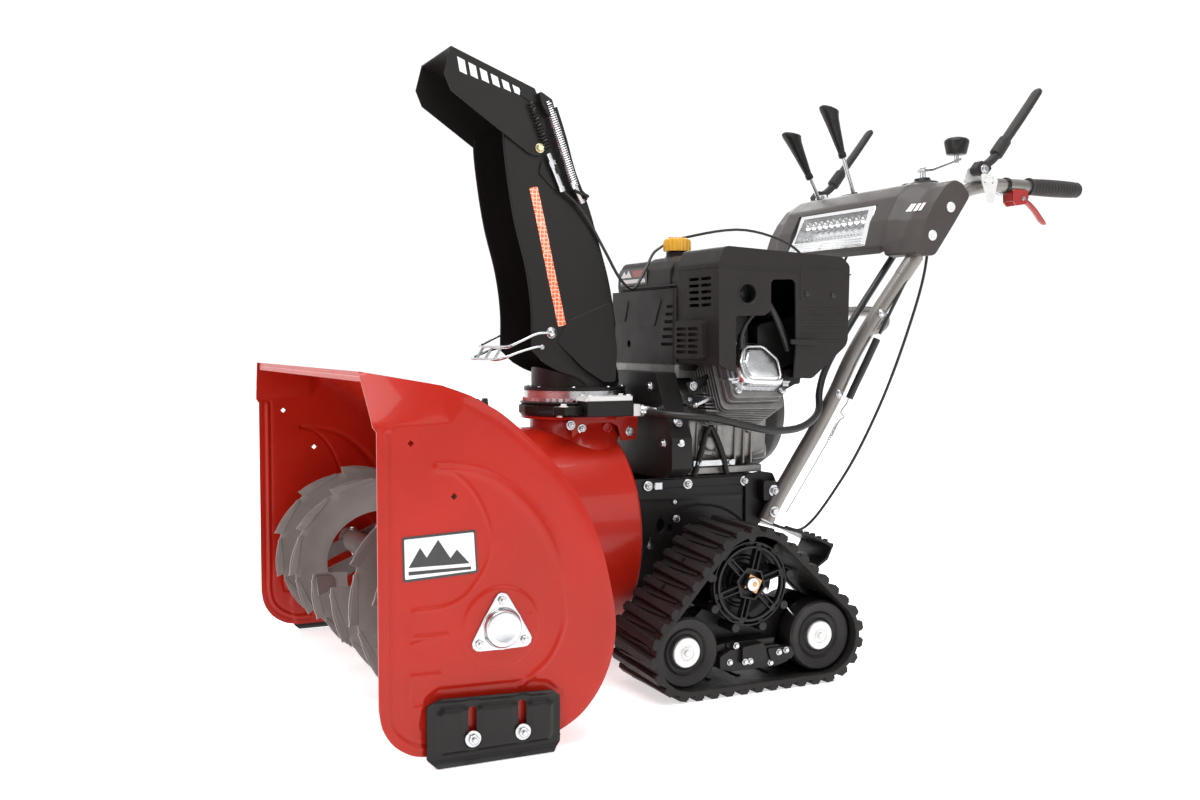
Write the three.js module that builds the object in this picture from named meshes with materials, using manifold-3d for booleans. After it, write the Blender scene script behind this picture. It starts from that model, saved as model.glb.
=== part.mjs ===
// Two-stage snow blower on rubber tracks. Millimetres, +Z up, +X the machine's left-hand side,
// the intake faces -Y and the handles are at +Y. The ground is z = 0 and x = 0 is the mid plane.
// Shapes are laid out in a bench frame whose y = 0 is a little in front of the engine; the whole
// machine is then moved by -Y_MID so that the origin is under the middle of its outer box.
import * as THREE from 'three';
import { mergeVertices } from 'three/addons/utils/BufferGeometryUtils.js';
import Module from 'manifold-3d';

const wasm = await Module();
wasm.setup();

// ---------------------------------------------------------------- driving dimensions
const Y_MID = 269.0;            // bench-frame y of the middle of the outer box
const GAP = 0.4;                // clearance between pieces that touch
// intake housing
const HALF_WIDTH = 432;         // outer face of each side plate
const PLATE_T = 4;              // side plate thickness
const SKIN_T = 4;               // curved back sheet thickness
const WING_X = 381;             // half width at the front top corners
const AUGER_Y = -261, AUGER_Z = 180.3, AUGER_R = 162, AUGER_SHAFT_R = 14;
const DRUM_Z = 240, DRUM_R = 181, DRUM_BACK = 88, DRUM_WALL = 4;
const RING_Y = 43;              // chute axis
const NECK_R = 80, FLANGE_R = 95, FLANGE_Z = 442;
// chute
const CHUTE_HALF = 75, CHUTE_T = 3;
const HOOD_HALF = 80, HINGE_Y = -56, HINGE_Z = 893;
// tracks
const TRACK_IN = 172, TRACK_OUT = 322, BELT_T = 17;
const AXLE = [223, 175.5, 97], FRONT = [103, 75, 75], REAR = [359, 77, 77];
// tractor frame and engine
const FRAME_HALF = 125, FRAME_FRONT = 92.6, FRAME_BACK = 340, FRAME_LOW = 120, DECK_Z = 335;
const CRANK_X = 0, CRANK_Z = 440;
const SHROUD_IN = 109, SHROUD_OUT = 250;
const TANK_Z0 = 664, TANK_Z1 = 716;
// controls
const TUBE_R = 14, BAR_R = 12.5, GRIP_R = 15.5, BAR_X = 250, GRIP_Z = 858;
const DASH_HALF = 252, NOSE_HALF = 182;

// ---------------------------------------------------------------- helpers
const V = (x, y, z) => new THREE.Vector3(x, y, z);

// A closed three.js geometry as a solid, turned right side out if it was inside out.
function solid(g) {
  let h = g.clone();
  for (const a of Object.keys(h.attributes)) if (a !== 'position') h.deleteAttribute(a);
  h = mergeVertices(h, 1e-4);
  const p = h.attributes.position.array, t = Array.from(h.index.array);
  let vol = 0;
  for (let i = 0; i < t.length; i += 3) {
    const a = V(...p.slice(t[i] * 3, t[i] * 3 + 3)), b = V(...p.slice(t[i + 1] * 3, t[i + 1] * 3 + 3));
    const c = V(...p.slice(t[i + 2] * 3, t[i + 2] * 3 + 3));
    vol += a.dot(b.cross(c));
  }
  if (vol < 0) for (let i = 0; i < t.length; i += 3) [t[i], t[i + 1]] = [t[i + 1], t[i]];
  const keep = [];
  for (let i = 0; i < t.length; i += 3)
    if (t[i] !== t[i + 1] && t[i + 1] !== t[i + 2] && t[i] !== t[i + 2]) keep.push(t[i], t[i + 1], t[i + 2]);
  return new wasm.Manifold(new wasm.Mesh({ numProp: 3, vertProperties: new Float32Array(p), triVerts: new Uint32Array(keep) }));
}
function shapeOf(pts) { return new THREE.Shape(pts.map(([a, b]) => new THREE.Vector2(a, b))); }
function extruded(pts, depth) { return new THREE.ExtrudeGeometry(shapeOf(pts), { depth, bevelEnabled: false, steps: 1 }); }
function mapped(g, fn) {
  const p = g.attributes.position, v = V(0, 0, 0);
  for (let i = 0; i < p.count; i++) { v.fromBufferAttribute(p, i); const r = fn(v.x, v.y, v.z); p.setXYZ(i, r[0], r[1], r[2]); }
  return g;
}
// Outline [y, z] swept from x0 to x1; [x, z] from y0 to y1; [x, y] from z0 to z1.
const plateX = (pts, x0, x1) => solid(mapped(extruded(pts, x1 - x0), (u, v, w) => [x0 + w, u, v]));
const plateY = (pts, y0, y1) => solid(mapped(extruded(pts, y1 - y0), (u, v, w) => [u, y1 - w, v]));
const plateZ = (pts, z0, z1) => solid(mapped(extruded(pts, z1 - z0), (u, v, w) => [u, v, z0 + w]));
function box(x0, x1, y0, y1, z0, z1) {
  return solid(new THREE.BoxGeometry(x1 - x0, y1 - y0, z1 - z0).translate((x0 + x1) / 2, (y0 + y1) / 2, (z0 + z1) / 2));
}
const cylX = (x0, x1, y, z, r, n = 16, r2 = r) =>
  solid(mapped(new THREE.CylinderGeometry(r2, r, x1 - x0, n), (a, b, c) => [(x0 + x1) / 2 + b, y + c, z + a]));
const cylY = (y0, y1, x, z, r, n = 16, r2 = r) =>
  solid(mapped(new THREE.CylinderGeometry(r2, r, y1 - y0, n), (a, b, c) => [x + a, (y0 + y1) / 2 + b, z - c]));
const cylZ = (z0, z1, x, y, r, n = 16, r2 = r) =>
  solid(mapped(new THREE.CylinderGeometry(r2, r, z1 - z0, n), (a, b, c) => [x + c, y + a, (z0 + z1) / 2 + b]));
// A lathe profile [radius, height] about an axis: 'x', 'y' or 'z'.
function lathe(profile, axis, at, n = 16) {
  const g = new THREE.LatheGeometry(profile.map(([r, h]) => new THREE.Vector2(r, h)), n);
  const m = { x: (a, b, c) => [at[0] + b, at[1] + c, at[2] + a], y: (a, b, c) => [at[0] + a, at[1] + b, at[2] - c], z: (a, b, c) => [at[0] + c, at[1] + a, at[2] + b] }[axis];
  return solid(mapped(g, m));
}
// A round bar of radius r along a smooth line, or along straight runs.
function bar(points, r, { sides = 8, steps = 12, straight = false } = {}) {
  let path;
  if (straight) {
    path = new THREE.CurvePath();
    for (let i = 1; i < points.length; i++) path.add(new THREE.LineCurve3(V(...points[i - 1]), V(...points[i])));
  } else path = new THREE.CatmullRomCurve3(points.map((p) => V(...p)), false, 'centripetal');
  const s = new THREE.Shape(Array.from({ length: sides }, (_, i) => {
    const t = (i * 2 * Math.PI) / sides;
    return new THREE.Vector2(r * Math.cos(t), r * Math.sin(t));
  }));
  return solid(new THREE.ExtrudeGeometry(s, { steps, bevelEnabled: false, extrudePath: path }));
}
const add = (first, ...rest) => rest.reduce((a, b) => a.add(b), first);
const cut = (first, ...rest) => rest.reduce((a, b) => a.subtract(b), first);
const mirrorX = (pts) => pts.map(([x, y]) => [-x, y]);
function toGeometry(m) {
  const mesh = m.getMesh(), g = new THREE.BufferGeometry();
  g.setAttribute('position', new THREE.BufferAttribute(new Float32Array(mesh.vertProperties), 3));
  g.setIndex(Array.from(mesh.triVerts));
  return g;
}
function flipped(m) { // the same solid on the other side of the mid plane
  return solid(mapped(toGeometry(m), (x, y, z) => [-x, y, z]));
}
const machine = new THREE.Group();
machine.position.y = -Y_MID;
const PAINT = { red: [0xb41f12, 0.32, 0.25], black: [0x17171a, 0.45, 0.2], satin: [0x232326, 0.5, 0.1], grey: [0x6c6764, 0.45, 0.5], silver: [0xb9bbbd, 0.3, 0.9],
  plastic: [0x2b2b2e, 0.6, 0], rubber: [0x161616, 0.85, 0], cast: [0x8d8a88, 0.55, 0.7], tube: [0x8f8a85, 0.38, 0.8], yellow: [0xe2a21c, 0.45, 0], lens: [0xdde3e6, 0.15, 0], trigger: [0xa32020, 0.35, 0.1] };
function node(name, m, paint, parent = machine) {
  const g = toGeometry(m);
  g.computeVertexNormals();
  const [color, roughness, metalness] = PAINT[paint];
  const mesh = new THREE.Mesh(g, new THREE.MeshStandardMaterial({ color, roughness, metalness }));
  mesh.name = name;
  parent.add(mesh);
  return mesh;
}

// ---------------------------------------------------------------- intake housing
// Rear outline of the housing [y, z], from the bottom round the back to the front top edge.
const BACK = [[-169, 25], [-138, 44], [-111, 75], [-92, 116], [-84.5, 166], [-96, 239], [-111, 290], [-142, 353], [-173, 395], [-203, 425], [-232, 452], [-261, 475], [-300, 497]];
const PLATE = [[-432, 453], [-432, 81], [-427, 60], [-418, 46], [-404, 30], [-388, 20], [-370, 14.6], [-200, 14.2], ...BACK, [-332, 462], [-437, 459]];
function sidePlate() {
  // flat plate, then the wing above its fold line, leaning inward towards the front top corner
  let m = plateX(PLATE, HALF_WIDTH - PLATE_T, HALF_WIDTH);
  const lean = { A: [-437, 459, 0], B: [-332, 462, 0], C: [-300, 497, 0], E: [-339, 512, -14], D: [-443, 531, WING_X - HALF_WIDTH] };
  for (const tri of ['ABD', 'BED', 'BCE']) {
    const c = [...tri].map((k) => lean[k]);
    const g = extruded(c.map((p) => [p[0], p[1]]), PLATE_T);
    m = m.add(solid(mapped(g, (u, v, w) => {
      const k = c.reduce((a, b) => (Math.hypot(b[0] - u, b[1] - v) < Math.hypot(a[0] - u, a[1] - v) ? b : a));
      return [HALF_WIDTH - PLATE_T + w + k[2], u, v];
    })));
  }
  m = cut(m, cylX(420, 440, AUGER_Y, AUGER_Z, AUGER_SHAFT_R + 4, 12));
  // two studs with nuts that hold the skid shoe
  for (const y of [-305.5, -233]) m = add(m, cylX(430, 447, y, 34.3, 5, 10), cylX(441.5, 448, y, 34.3, 10, 6));
  return m;
}
const plateLeft = sidePlate();
node('side_plate_left', plateLeft, 'red');
node('side_plate_right', flipped(plateLeft), 'red');

// Curved back sheet between the plates: its outside follows BACK.
const inset = (pts, d) => pts.map((p, i) => {
  const a = pts[Math.max(0, i - 1)], b = pts[Math.min(pts.length - 1, i + 1)];
  const l = Math.hypot(b[0] - a[0], b[1] - a[1]);
  return [p[0] - ((b[1] - a[1]) / l) * d, p[1] + ((b[0] - a[0]) / l) * d];
});
const SKIN = [...BACK.map((p) => [p[0], p[1]]), [-339, 511], [-440, 530]];
const SKIN_IN = inset(SKIN, SKIN_T);
const skinHalf = HALF_WIDTH - PLATE_T - GAP;
let wrapper = plateX([...SKIN, ...SKIN_IN.slice().reverse()], -skinHalf, skinHalf);
wrapper = add(wrapper, box(-skinHalf, skinHalf, -440, -436.5, 516, 529));
for (const s of [1, -1]) wrapper = cut(wrapper, plateZ([[s * 375, -460], [s * 376, -440], [s * 412, -339], [s * 427, -299], [s * 500, -299], [s * 500, -460]], 440, 600));
wrapper = cut(wrapper, cylY(-260, -40, 0, DRUM_Z, DRUM_R - DRUM_WALL, 32));
node('housing_wrapper', wrapper, 'red');

// Impeller drum: a short barrel on the back sheet, its rear wall, and the round neck for the chute.
const frontOf = plateX([...SKIN.slice(0, 13).map((p) => [p[0] + 0.5, p[1]]), [-300, 600], [-600, 600], [-600, -50], [-169, -50]], -300, 300);
let drum = add(cylY(-240, DRUM_BACK, 0, DRUM_Z, DRUM_R, 32), cylZ(388, FLANGE_Z, 0, RING_Y, NECK_R, 20), cylZ(437, FLANGE_Z, 0, RING_Y, FLANGE_R, 24));
drum = add(drum, plateX([[80, 392], [80, 438], [128, 438], [128, 430], [118, 392]], 55, 60));
drum = cut(drum, cylY(-260, DRUM_BACK - DRUM_WALL, 0, DRUM_Z, DRUM_R - DRUM_WALL, 32), cylZ(392, 460, 0, RING_Y, NECK_R - 4, 20));
drum = cut(drum, frontOf, cylY(70, 100, 0, DRUM_Z, 16, 16));
node('impeller_drum', drum, 'red');

node('scraper_bar', plateX([[-236, 4.5], [-236, 10.5], [-178, 16.5], [-172, 20.5], [-169, 17.5], [-176, 10.5]], -427, 427), 'red');

// Three-bolt bearing housings on the outside of the plates.
function bearing() {
  const lobes = [];
  for (const a of [90, 210, 330]) {
    const c = [AUGER_Y + 38 * Math.cos((a * Math.PI) / 180), AUGER_Z + 38 * Math.sin((a * Math.PI) / 180)];
    for (const k of [-60, -20, 20, 60]) lobes.push([c[0] + 10 * Math.cos(((a + k) * Math.PI) / 180), c[1] + 10 * Math.sin(((a + k) * Math.PI) / 180)]);
  }
  let m = add(plateX(lobes, HALF_WIDTH + GAP, 436), cylX(435, 447, AUGER_Y, AUGER_Z, 27, 16, 22));
  for (const a of [90, 210, 330]) m = add(m, cylX(435, 440.5, AUGER_Y + 38 * Math.cos((a * Math.PI) / 180), AUGER_Z + 38 * Math.sin((a * Math.PI) / 180), 6.5, 6));
  return cut(m, cylX(430, 442, AUGER_Y, AUGER_Z, AUGER_SHAFT_R + 0.6, 16));
}
const bearingLeft = bearing();
node('auger_bearing_left', bearingLeft, 'silver');
node('auger_bearing_right', flipped(bearingLeft), 'silver');

// Skid shoe with two upright slots; its top and bottom edges flare outward.
function skidShoe() {
  let m = plateX([[-369, 12], [-357, 0], [-188, 0], [-176, 12], [-176, 78], [-190, 89], [-352, 96], [-369, 84]], HALF_WIDTH + GAP, 440.9);
  m = add(m, plateX([[-364, 0], [-181, 0], [-178, 9], [-367, 9]], 436, 454), plateX([[-358, 92.5], [-184, 84], [-186, 90], [-352, 97.5]], 436, 450));
  for (const y of [-305.5, -233]) m = cut(m, box(430, 460, y - 6.2, y + 6.2, 28.6, 78));
  return m;
}
const shoeLeft = skidShoe();
node('skid_shoe_left', shoeLeft, 'black');
node('skid_shoe_right', flipped(shoeLeft), 'black');

// ---------------------------------------------------------------- auger and impeller
node('auger_shaft', add(cylX(-440, 440, AUGER_Y, AUGER_Z, AUGER_SHAFT_R, 12), cylX(-8, 8, AUGER_Y, AUGER_Z, 45, 20)), 'silver');

// One side's pair of toothed ribbons wound round a sleeve, carried on flat arms.
function flight() {
  const x0 = 60, x1 = 406, turns = 1.15;
  let m = cylX(46, 418, AUGER_Y, AUGER_Z, 22, 12);
  for (const phase of [0, Math.PI]) {
    const n = 22;
    const g = new THREE.BoxGeometry(1, 1, 1, n, 1, 1);
    m = m.add(solid(mapped(g, (u, v, w) => {
      const k = Math.round((u + 0.5) * n), s = k / n, th = phase + s * turns * 2 * Math.PI;
      const r = v > 0 ? (k % 2 ? AUGER_R : AUGER_R - 15) : 88;
      return [x0 + (x1 - x0) * s + w * 9 + (v > 0 ? 0 : 5), AUGER_Y + r * Math.cos(th), AUGER_Z + r * Math.sin(th)];
    })));
    for (const s of [0.08, 0.5, 0.92]) {
      const th = phase + s * turns * 2 * Math.PI, x = x0 + (x1 - x0) * s + 4;
      const arm = new THREE.BoxGeometry(8, 96, 26).translate(0, 62, 0);
      m = m.add(solid(mapped(arm, (a, b, c) => [x + a, AUGER_Y + b * Math.cos(th) - c * Math.sin(th), AUGER_Z + b * Math.sin(th) + c * Math.cos(th)])));
    }
  }
  return cut(m, cylX(0, 430, AUGER_Y, AUGER_Z, AUGER_SHAFT_R + 1, 12));
}
const flightLeft = flight();
node('auger_flight_left', flightLeft, 'grey');
node('auger_flight_right', flipped(flightLeft), 'grey');

// Worm gear case between the two auger halves, with the impeller shaft's tunnel above.
let gearbox = add(cylX(-28, 28, AUGER_Y, AUGER_Z, 54, 18), cylX(-42, 42, AUGER_Y, AUGER_Z, 26, 12), cylY(-316, -186, 0, DRUM_Z, 23, 12));
gearbox = cut(gearbox, cylX(-20, 20, AUGER_Y, AUGER_Z, 48, 16), cylX(-60, 60, AUGER_Y, AUGER_Z, AUGER_SHAFT_R + 1, 12), cylY(-308, -180, 0, DRUM_Z, 14.2, 12));
node('auger_gearbox', gearbox, 'red');

// Impeller: four blades on the hub, the worm at the front end and the pulley at the back.
let imp = add(cylY(-300, 172, 0, DRUM_Z, 12, 12), cylY(-290, -232, 0, DRUM_Z, 13.2, 12), cylY(-72, 62, 0, DRUM_Z, 28, 12));
for (let k = 0; k < 4; k++) {
  const th = ((k * 90 + 20) * Math.PI) / 180;
  const blade = add(box(20, 169, -70, 60, -3, 3), box(156, 169, -70, 60, -3, 15));
  imp = imp.add(solid(mapped(toGeometry(blade), (x, y, z) => [x * Math.cos(th) - z * Math.sin(th), y, DRUM_Z + x * Math.sin(th) + z * Math.cos(th)])));
}
const groove = (r, at, y0, y1) => lathe([[0.001, y0], [r, y0], [r, y0 + 3], [r - 9, (y0 + y1) / 2], [r, y1 - 3], [r, y1], [0.001, y1]].map(([a, b]) => [a === 0.001 ? 0 : a, b]), 'y', at, 18);
imp = imp.add(groove(78, [0, 0, DRUM_Z], 150, 172));
node('impeller', imp, 'red');
node('engine_pulley', add(groove(34, [CRANK_X, 0, CRANK_Z], 150, 172), cylY(147, 190, CRANK_X, CRANK_Z, 12.5, 12)), 'silver');

// Endless V-belt round both pulleys.
const hull2 = (circles, step) => { // outline round several circles [a, b, r]
  const pts = [];
  for (const [a, b, r] of circles) for (let d = 0; d < 360; d += step) pts.push([a + r * Math.cos((d * Math.PI) / 180), b + r * Math.sin((d * Math.PI) / 180)]);
  pts.sort((p, q) => p[0] - q[0] || p[1] - q[1]);
  const half = (list) => { const h = []; for (const p of list) { while (h.length > 1 && (h[h.length - 1][0] - h[h.length - 2][0]) * (p[1] - h[h.length - 2][1]) - (h[h.length - 1][1] - h[h.length - 2][1]) * (p[0] - h[h.length - 2][0]) <= 1e-6) h.pop(); h.push(p); } h.pop(); return h; };
  return [...half(pts), ...half(pts.slice().reverse())];
};
node('drive_belt', cut(plateY(hull2([[0, DRUM_Z, 87.5], [CRANK_X, CRANK_Z, 43.5]], 20), 156, 166), plateY(hull2([[0, DRUM_Z, 79], [CRANK_X, CRANK_Z, 35]], 20), 140, 180)), 'rubber');

// ---------------------------------------------------------------- chute
// Fixed ring with the worm drive's case and its front tab.
let ringBase = cut(add(cylZ(442.5, 466, 0, RING_Y, 97, 28), plateZ([[60, 0], [112, -48], [128, -30], [96, 40]], 446, 462), box(84, 128, 8, 98, 443, 478)),
  cylZ(430, 500, 0, RING_Y, NECK_R - 3, 28), cylZ(466.01, 500, 0, RING_Y, 94.5, 28));
ringBase = add(ringBase, cylY(96, 112, 112, 452, 9, 10));
node('chute_gear_housing', ringBase, 'black');
node('chute_ring_gear', cut(add(cylZ(470, 485.6, 0, RING_Y, 93, 28), cylZ(466.5, 470.5, 0, RING_Y, 84, 28)), cylZ(460, 500, 0, RING_Y, NECK_R - 4, 28)), 'silver');

// Chute: a U-shaped channel rising from a round base, curving forward.
const CH_BACK = [[96, 486], [95, 540], [92, 590], [77, 676], [57, 745], [38.5, 803], [14, 861], [-2, 915], [-20, 966]];
const CH_FRONT = [[-116, 925], [-118, 911], [-99, 772], [-78, 690], [-69, 623], [-69, 556], [-54.5, 538], [-20, 521], [19.5, 508], [38, 486]];
let chute = plateX([...CH_BACK, ...CH_FRONT], -CHUTE_HALF, CHUTE_HALF);
const chuteIn = plateX([[92.6, 470], [91.6, 540], [88.7, 589], [73.8, 675], [53.9, 744], [35.4, 802], [11, 860], [-5, 914], [-25, 975], [-300, 975], [-300, 470]], -CHUTE_HALF + CHUTE_T, CHUTE_HALF - CHUTE_T);
chute = add(cut(chute, chuteIn), cut(cylZ(486, 500, 0, RING_Y, 90, 28), box(-120, 120, -80, 160, 492, 510)));
const foot = plateX([[-60, 486], [-60, 545], [-20, 524], [19.5, 510], [150, 560], [150, 486]], -90, 90);
chute = add(chute, cylZ(486, 560, 0, RING_Y, 77, 28).intersect(foot));
chute = cut(chute, cylZ(470, 545, 0, RING_Y, 74, 28).intersect(plateX([[-80, 470], [-80, 560], [91.4, 560], [92, 470]], -90, 90)), cylZ(470, 493, 0, RING_Y, 74, 28));
for (const s of [1, -1]) chute = add(chute, s > 0 ? cylX(73, 84.5, HINGE_Y, HINGE_Z, 4, 8) : cylX(-84.5, -73, HINGE_Y, HINGE_Z, 4, 8),
  s > 0 ? cylX(80.6, 84.5, HINGE_Y, HINGE_Z, 8, 8) : cylX(-84.5, -80.6, HINGE_Y, HINGE_Z, 8, 8));
node('chute_body', chute, 'satin');

// Wire guard across the front of the chute's mouth.
let guard = add(bar([[78.3, -38, 585], [78.5, -60, 584], [78.5, -100, 566], [70, -112, 561], [-70, -112, 561], [-78.5, -100, 566], [-78.5, -60, 584], [-78.3, -38, 585]], 2.6, { sides: 6, steps: 7, straight: true }),
  bar([[78.3, -50, 562], [78.5, -70, 560], [76, -118, 543], [66, -128, 540], [-66, -128, 540], [-76, -118, 543], [-78.5, -70, 560], [-78.3, -50, 562]], 2.6, { sides: 6, steps: 7, straight: true }));
for (const x of [-40, 0, 40]) guard = add(guard, bar([[x, -128, 540], [x, -112, 561]], 2.6, { sides: 6, steps: 1, straight: true }));
node('chute_guard', guard, 'silver');

// Hood: top panel and two cheeks, hinged low at the back.
const HOOD = [[-222, 1002], [-210, 1047], [-64.5, 991], [-46, 944], [-43, 893], [-56, 880], [-83, 888], [-120, 913], [-211, 975.5]];
let hood = cut(plateX(HOOD, -HOOD_HALF, HOOD_HALF), plateX([[-260, 1002], [-240, 1055.6], [-211.2, 1043.8], [-62, 986.5], [0, 962], [0, 850], [-260, 850]], -HOOD_HALF + 2.7, HOOD_HALF - 2.7));
hood = cut(hood, cylX(-90, 90, HINGE_Y, HINGE_Z, 4.5, 12));
node('chute_hood', hood, 'satin');
node('hood_spring', bar([[94, -50, 978], [94, 5, 826], [94, 18, 802]], 7, { sides: 8, steps: 2, straight: true }), 'silver');

// ---------------------------------------------------------------- tractor frame
let frame = box(-FRAME_HALF, FRAME_HALF, FRAME_FRONT, FRAME_BACK, FRAME_LOW, DECK_Z);
frame = cut(frame, box(-121, 121, 96.6, 336, 100, 331), box(-121, 121, 96.6, 182, 300, 400));
for (const s of [1, -1]) frame = cut(frame, plateX([[80, 100], [80, 190], [150, 120], [150, 100]], s > 0 ? 100 : -130, s > 0 ? 130 : -100),
  s > 0 ? cylX(100, 140, AXLE[0], AXLE[1], 13.2, 20) : cylX(-140, -100, AXLE[0], AXLE[1], 13.2, 20));
frame = cut(frame, cylY(80, 100, 0, DRUM_Z, 24, 16));
// rear brackets that carry the handle tubes and the pedal
for (const s of [1, -1]) frame = add(frame, s > 0 ? plateX([[320, 240], [320, 331], [372, 331], [392, 300], [372, 262], [340, 240]], 121, 131) : plateX([[320, 240], [320, 331], [372, 331], [392, 300], [372, 262], [340, 240]], -131, -121));
// bolts along the deck edge
for (const y of [124, 202, 318]) for (const s of [1, -1]) frame = add(frame, s > 0 ? cylX(124, 131, y, 320, 7, 8) : cylX(-131, -124, y, 320, 7, 8));
node('tractor_frame', frame, 'black');

// Belt cover on the front of the deck: open below and at the crankshaft.
const COVER = [[-150, DECK_Z + GAP], [-180, 352], [-180, 406], [-119, 517], [119, 517], [180, 406], [180, 352], [150, DECK_Z + GAP]];
const COVER_IN = [[-118, 300], [-118, 340], [-176, 358], [-176, 404], [-116, 513], [116, 513], [176, 404], [176, 358], [118, 340], [118, 300]];
node('belt_cover', cut(plateY(COVER, 142, 181), plateY(COVER_IN, 146, 177.5), cylY(170, 190, CRANK_X, CRANK_Z, 20, 16)), 'black');

// ---------------------------------------------------------------- engine
// Crankcase, inclined finned cylinder and mounting feet in one casting.
const CASE = [[-90, 345], [100, 345], [122, 372], [128, 430], [112, 480], [60, 515], [-60, 515], [-118, 470], [-122, 390]];
let block = add(plateY(CASE, 184, 372), box(-104, 118, 196, 362, DECK_Z + GAP, 348));
const tilt = (25 * Math.PI) / 180, CYL_Y = 290;
const tilted = (m, ox = 70, oz = 458) => solid(mapped(toGeometry(m), (x, y, z) => [ox + x * Math.cos(tilt) - z * Math.sin(tilt), y, oz + x * Math.sin(tilt) + z * Math.cos(tilt)]));
let barrel = box(0, 128, CYL_Y - 42, CYL_Y + 42, -40, 40);
for (let k = 0; k < 7; k++) barrel = barrel.add(box(44 + k * 12, 47.5 + k * 12, CYL_Y - 66, CYL_Y + 62, -62, 58));
barrel = barrel.add(box(126, 146, CYL_Y - 56, CYL_Y + 52, -50, 50));
block = cut(add(block, tilted(barrel)), cylY(170, 204, CRANK_X, CRANK_Z, 16, 16));
node('engine_block', block, 'cast');
// Rounded rocker cover on the cylinder head.
const rc = [];
for (const [cy, cz] of [[CYL_Y + 34, 32], [CYL_Y - 34, 32], [CYL_Y - 34, -34], [CYL_Y + 34, -34]]) for (let k = 0; k < 4; k++) {
  const a = (Math.atan2(cz, cy - CYL_Y) + ((k - 1.5) * Math.PI) / 6);
  rc.push([cy + 18 * Math.cos(a), cz + 18 * Math.sin(a)]);
}
node('rocker_cover', tilted(add(plateX(rc, 146.4, 152), solid(mapped(extruded(rc, 22), (u, v, w) => { const k = w > 1 ? 0.84 : 0.93; return [151.9 + w, CYL_Y + (u - CYL_Y) * k, v * k]; })))), 'silver');

// Square plastic shroud over the cylinder: open below, with a window on its outer face.
const SHR = [[192, 530], [190, 716], [200, 728], [436, 716], [453, 706], [450, 564], [376, 505], [330, 508], [216, 521]];
let shroud = plateX(SHR, SHROUD_IN, SHROUD_OUT);
shroud = cut(shroud, plateX([[195, 480], [193.5, 714], [202, 724.5], [435, 712.5], [449.5, 703], [446.6, 566], [374, 509], [330, 480]], SHROUD_IN - 5, SHROUD_OUT - 3.5));
shroud = cut(shroud, plateX([[293, 673], [341, 674], [345, 560], [336, 500], [224, 500], [224, 612], [293, 612]], 240, 260), cylX(240, 260, 246.5, 650, 18, 20));
for (let i = 0; i < 2; i++) for (let k = 0; k < 5; k++) shroud = cut(shroud, box(132 + i * 46, 170 + i * 46, 180, 200, 628 + k * 12, 634 + k * 12));
node('engine_shroud', shroud, 'plastic');

// Front and far cowl below the tank.
let cowl = cut(box(-146, 108, 186, 384, 530, 663.4), box(-143, 115, 189, 400, 520, 660));
for (let k = 0; k < 5; k++) cowl = cut(cowl, box(40, 92, 180, 195, 566 + k * 16, 573 + k * 16));
node('front_cowl', cowl, 'plastic');

// Fuel tank with a raised middle and a filler neck.
let tank = add(plateX([[205, TANK_Z0], [201, 676], [203, 708], [216, TANK_Z1 + 6], [330, TANK_Z1 + 8], [400, TANK_Z1 - 4], [408, 700], [406, TANK_Z0]], -150, 108.4), cylZ(715, 735, 0, 250, 20, 20));
tank = cut(tank, cylZ(690, 740, 0, 250, 16, 20));
node('fuel_tank', tank, 'plastic');
let cap = cut(add(cylZ(735.4, 757, 0, 250, 26, 12), cylZ(756, 762, 0, 250, 23, 12)), cylZ(700, 750, 0, 250, 20.6, 20));
cap = cap.add(cylZ(715, 752, 0, 250, 15, 16));
node('fuel_cap', cap, 'yellow');

// Recoil starter on the back of the engine, its rope outlet and pull handle.
let recoil = lathe([[0, 372.4], [112, 372.4], [112, 402], [96, 424], [40, 432], [0, 432]], 'y', [CRANK_X, 0, CRANK_Z], 20);
recoil = add(recoil, box(52, 84, 400, 436, 484, 512));
node('recoil_starter', recoil, 'black');
node('starter_handle', add(box(44, 92, 448, 462, 489, 507), cylY(436.6, 450, 68, 498, 6, 10)), 'rubber');

// ---------------------------------------------------------------- handles and controls
const TUBE_PATH = [[146.4, 352, 250], [146.4, 366, 276], [152, 420, 361], [158, 450, 411], [168, 484, 477], [178, 515, 546], [190, 548, 606], [205, 583, 665], [222, 620, 727],
  [231, 658, 788], [233, 692, 828], [234, 724, 846], [241, 764, 856], [BAR_X, 810, GRIP_Z], [BAR_X, 852, GRIP_Z], [BAR_X, 966, GRIP_Z]];
const lower = bar(TUBE_PATH.slice(0, 9), TUBE_R, { sides: 10, steps: 12 });
const upper = bar([[219, 612, 715], ...TUBE_PATH.slice(8)], BAR_R, { sides: 10, steps: 14 });
const handleLeft = add(lower, upper);
node('handlebar_left', handleLeft, 'tube');
node('handlebar_right', flipped(handleLeft), 'tube');
const handleClear = bar(TUBE_PATH.slice(0, 9), TUBE_R + 0.6, { sides: 10, steps: 12 });
let brace = bar([[186, 542, 592], [184, 566, 594], [176, 586, 606], [154, 594, 622], [60, 594, 628], [-60, 594, 628], [-154, 594, 622], [-176, 586, 606], [-184, 566, 594], [-186, 542, 592]], 10, { sides: 8, steps: 18 });
brace = cut(brace, handleClear, flipped(handleClear));
node('handle_brace', brace, 'tube');
const gripProfile = [[BAR_R + 1.1, 0], [18, 0], [18, 5], [GRIP_R - 1, 8], [GRIP_R, 20], [GRIP_R + 1, 60], [GRIP_R, 110], [GRIP_R - 2, 124], [0, 126], [0, 112], [BAR_R + 1.1, 112], [BAR_R + 1.1, 0]];
const gripLeft = lathe(gripProfile, 'y', [BAR_X, 855, GRIP_Z], 12);
node('grip_left', gripLeft, 'rubber');
node('grip_right', flipped(gripLeft), 'rubber');

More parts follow.
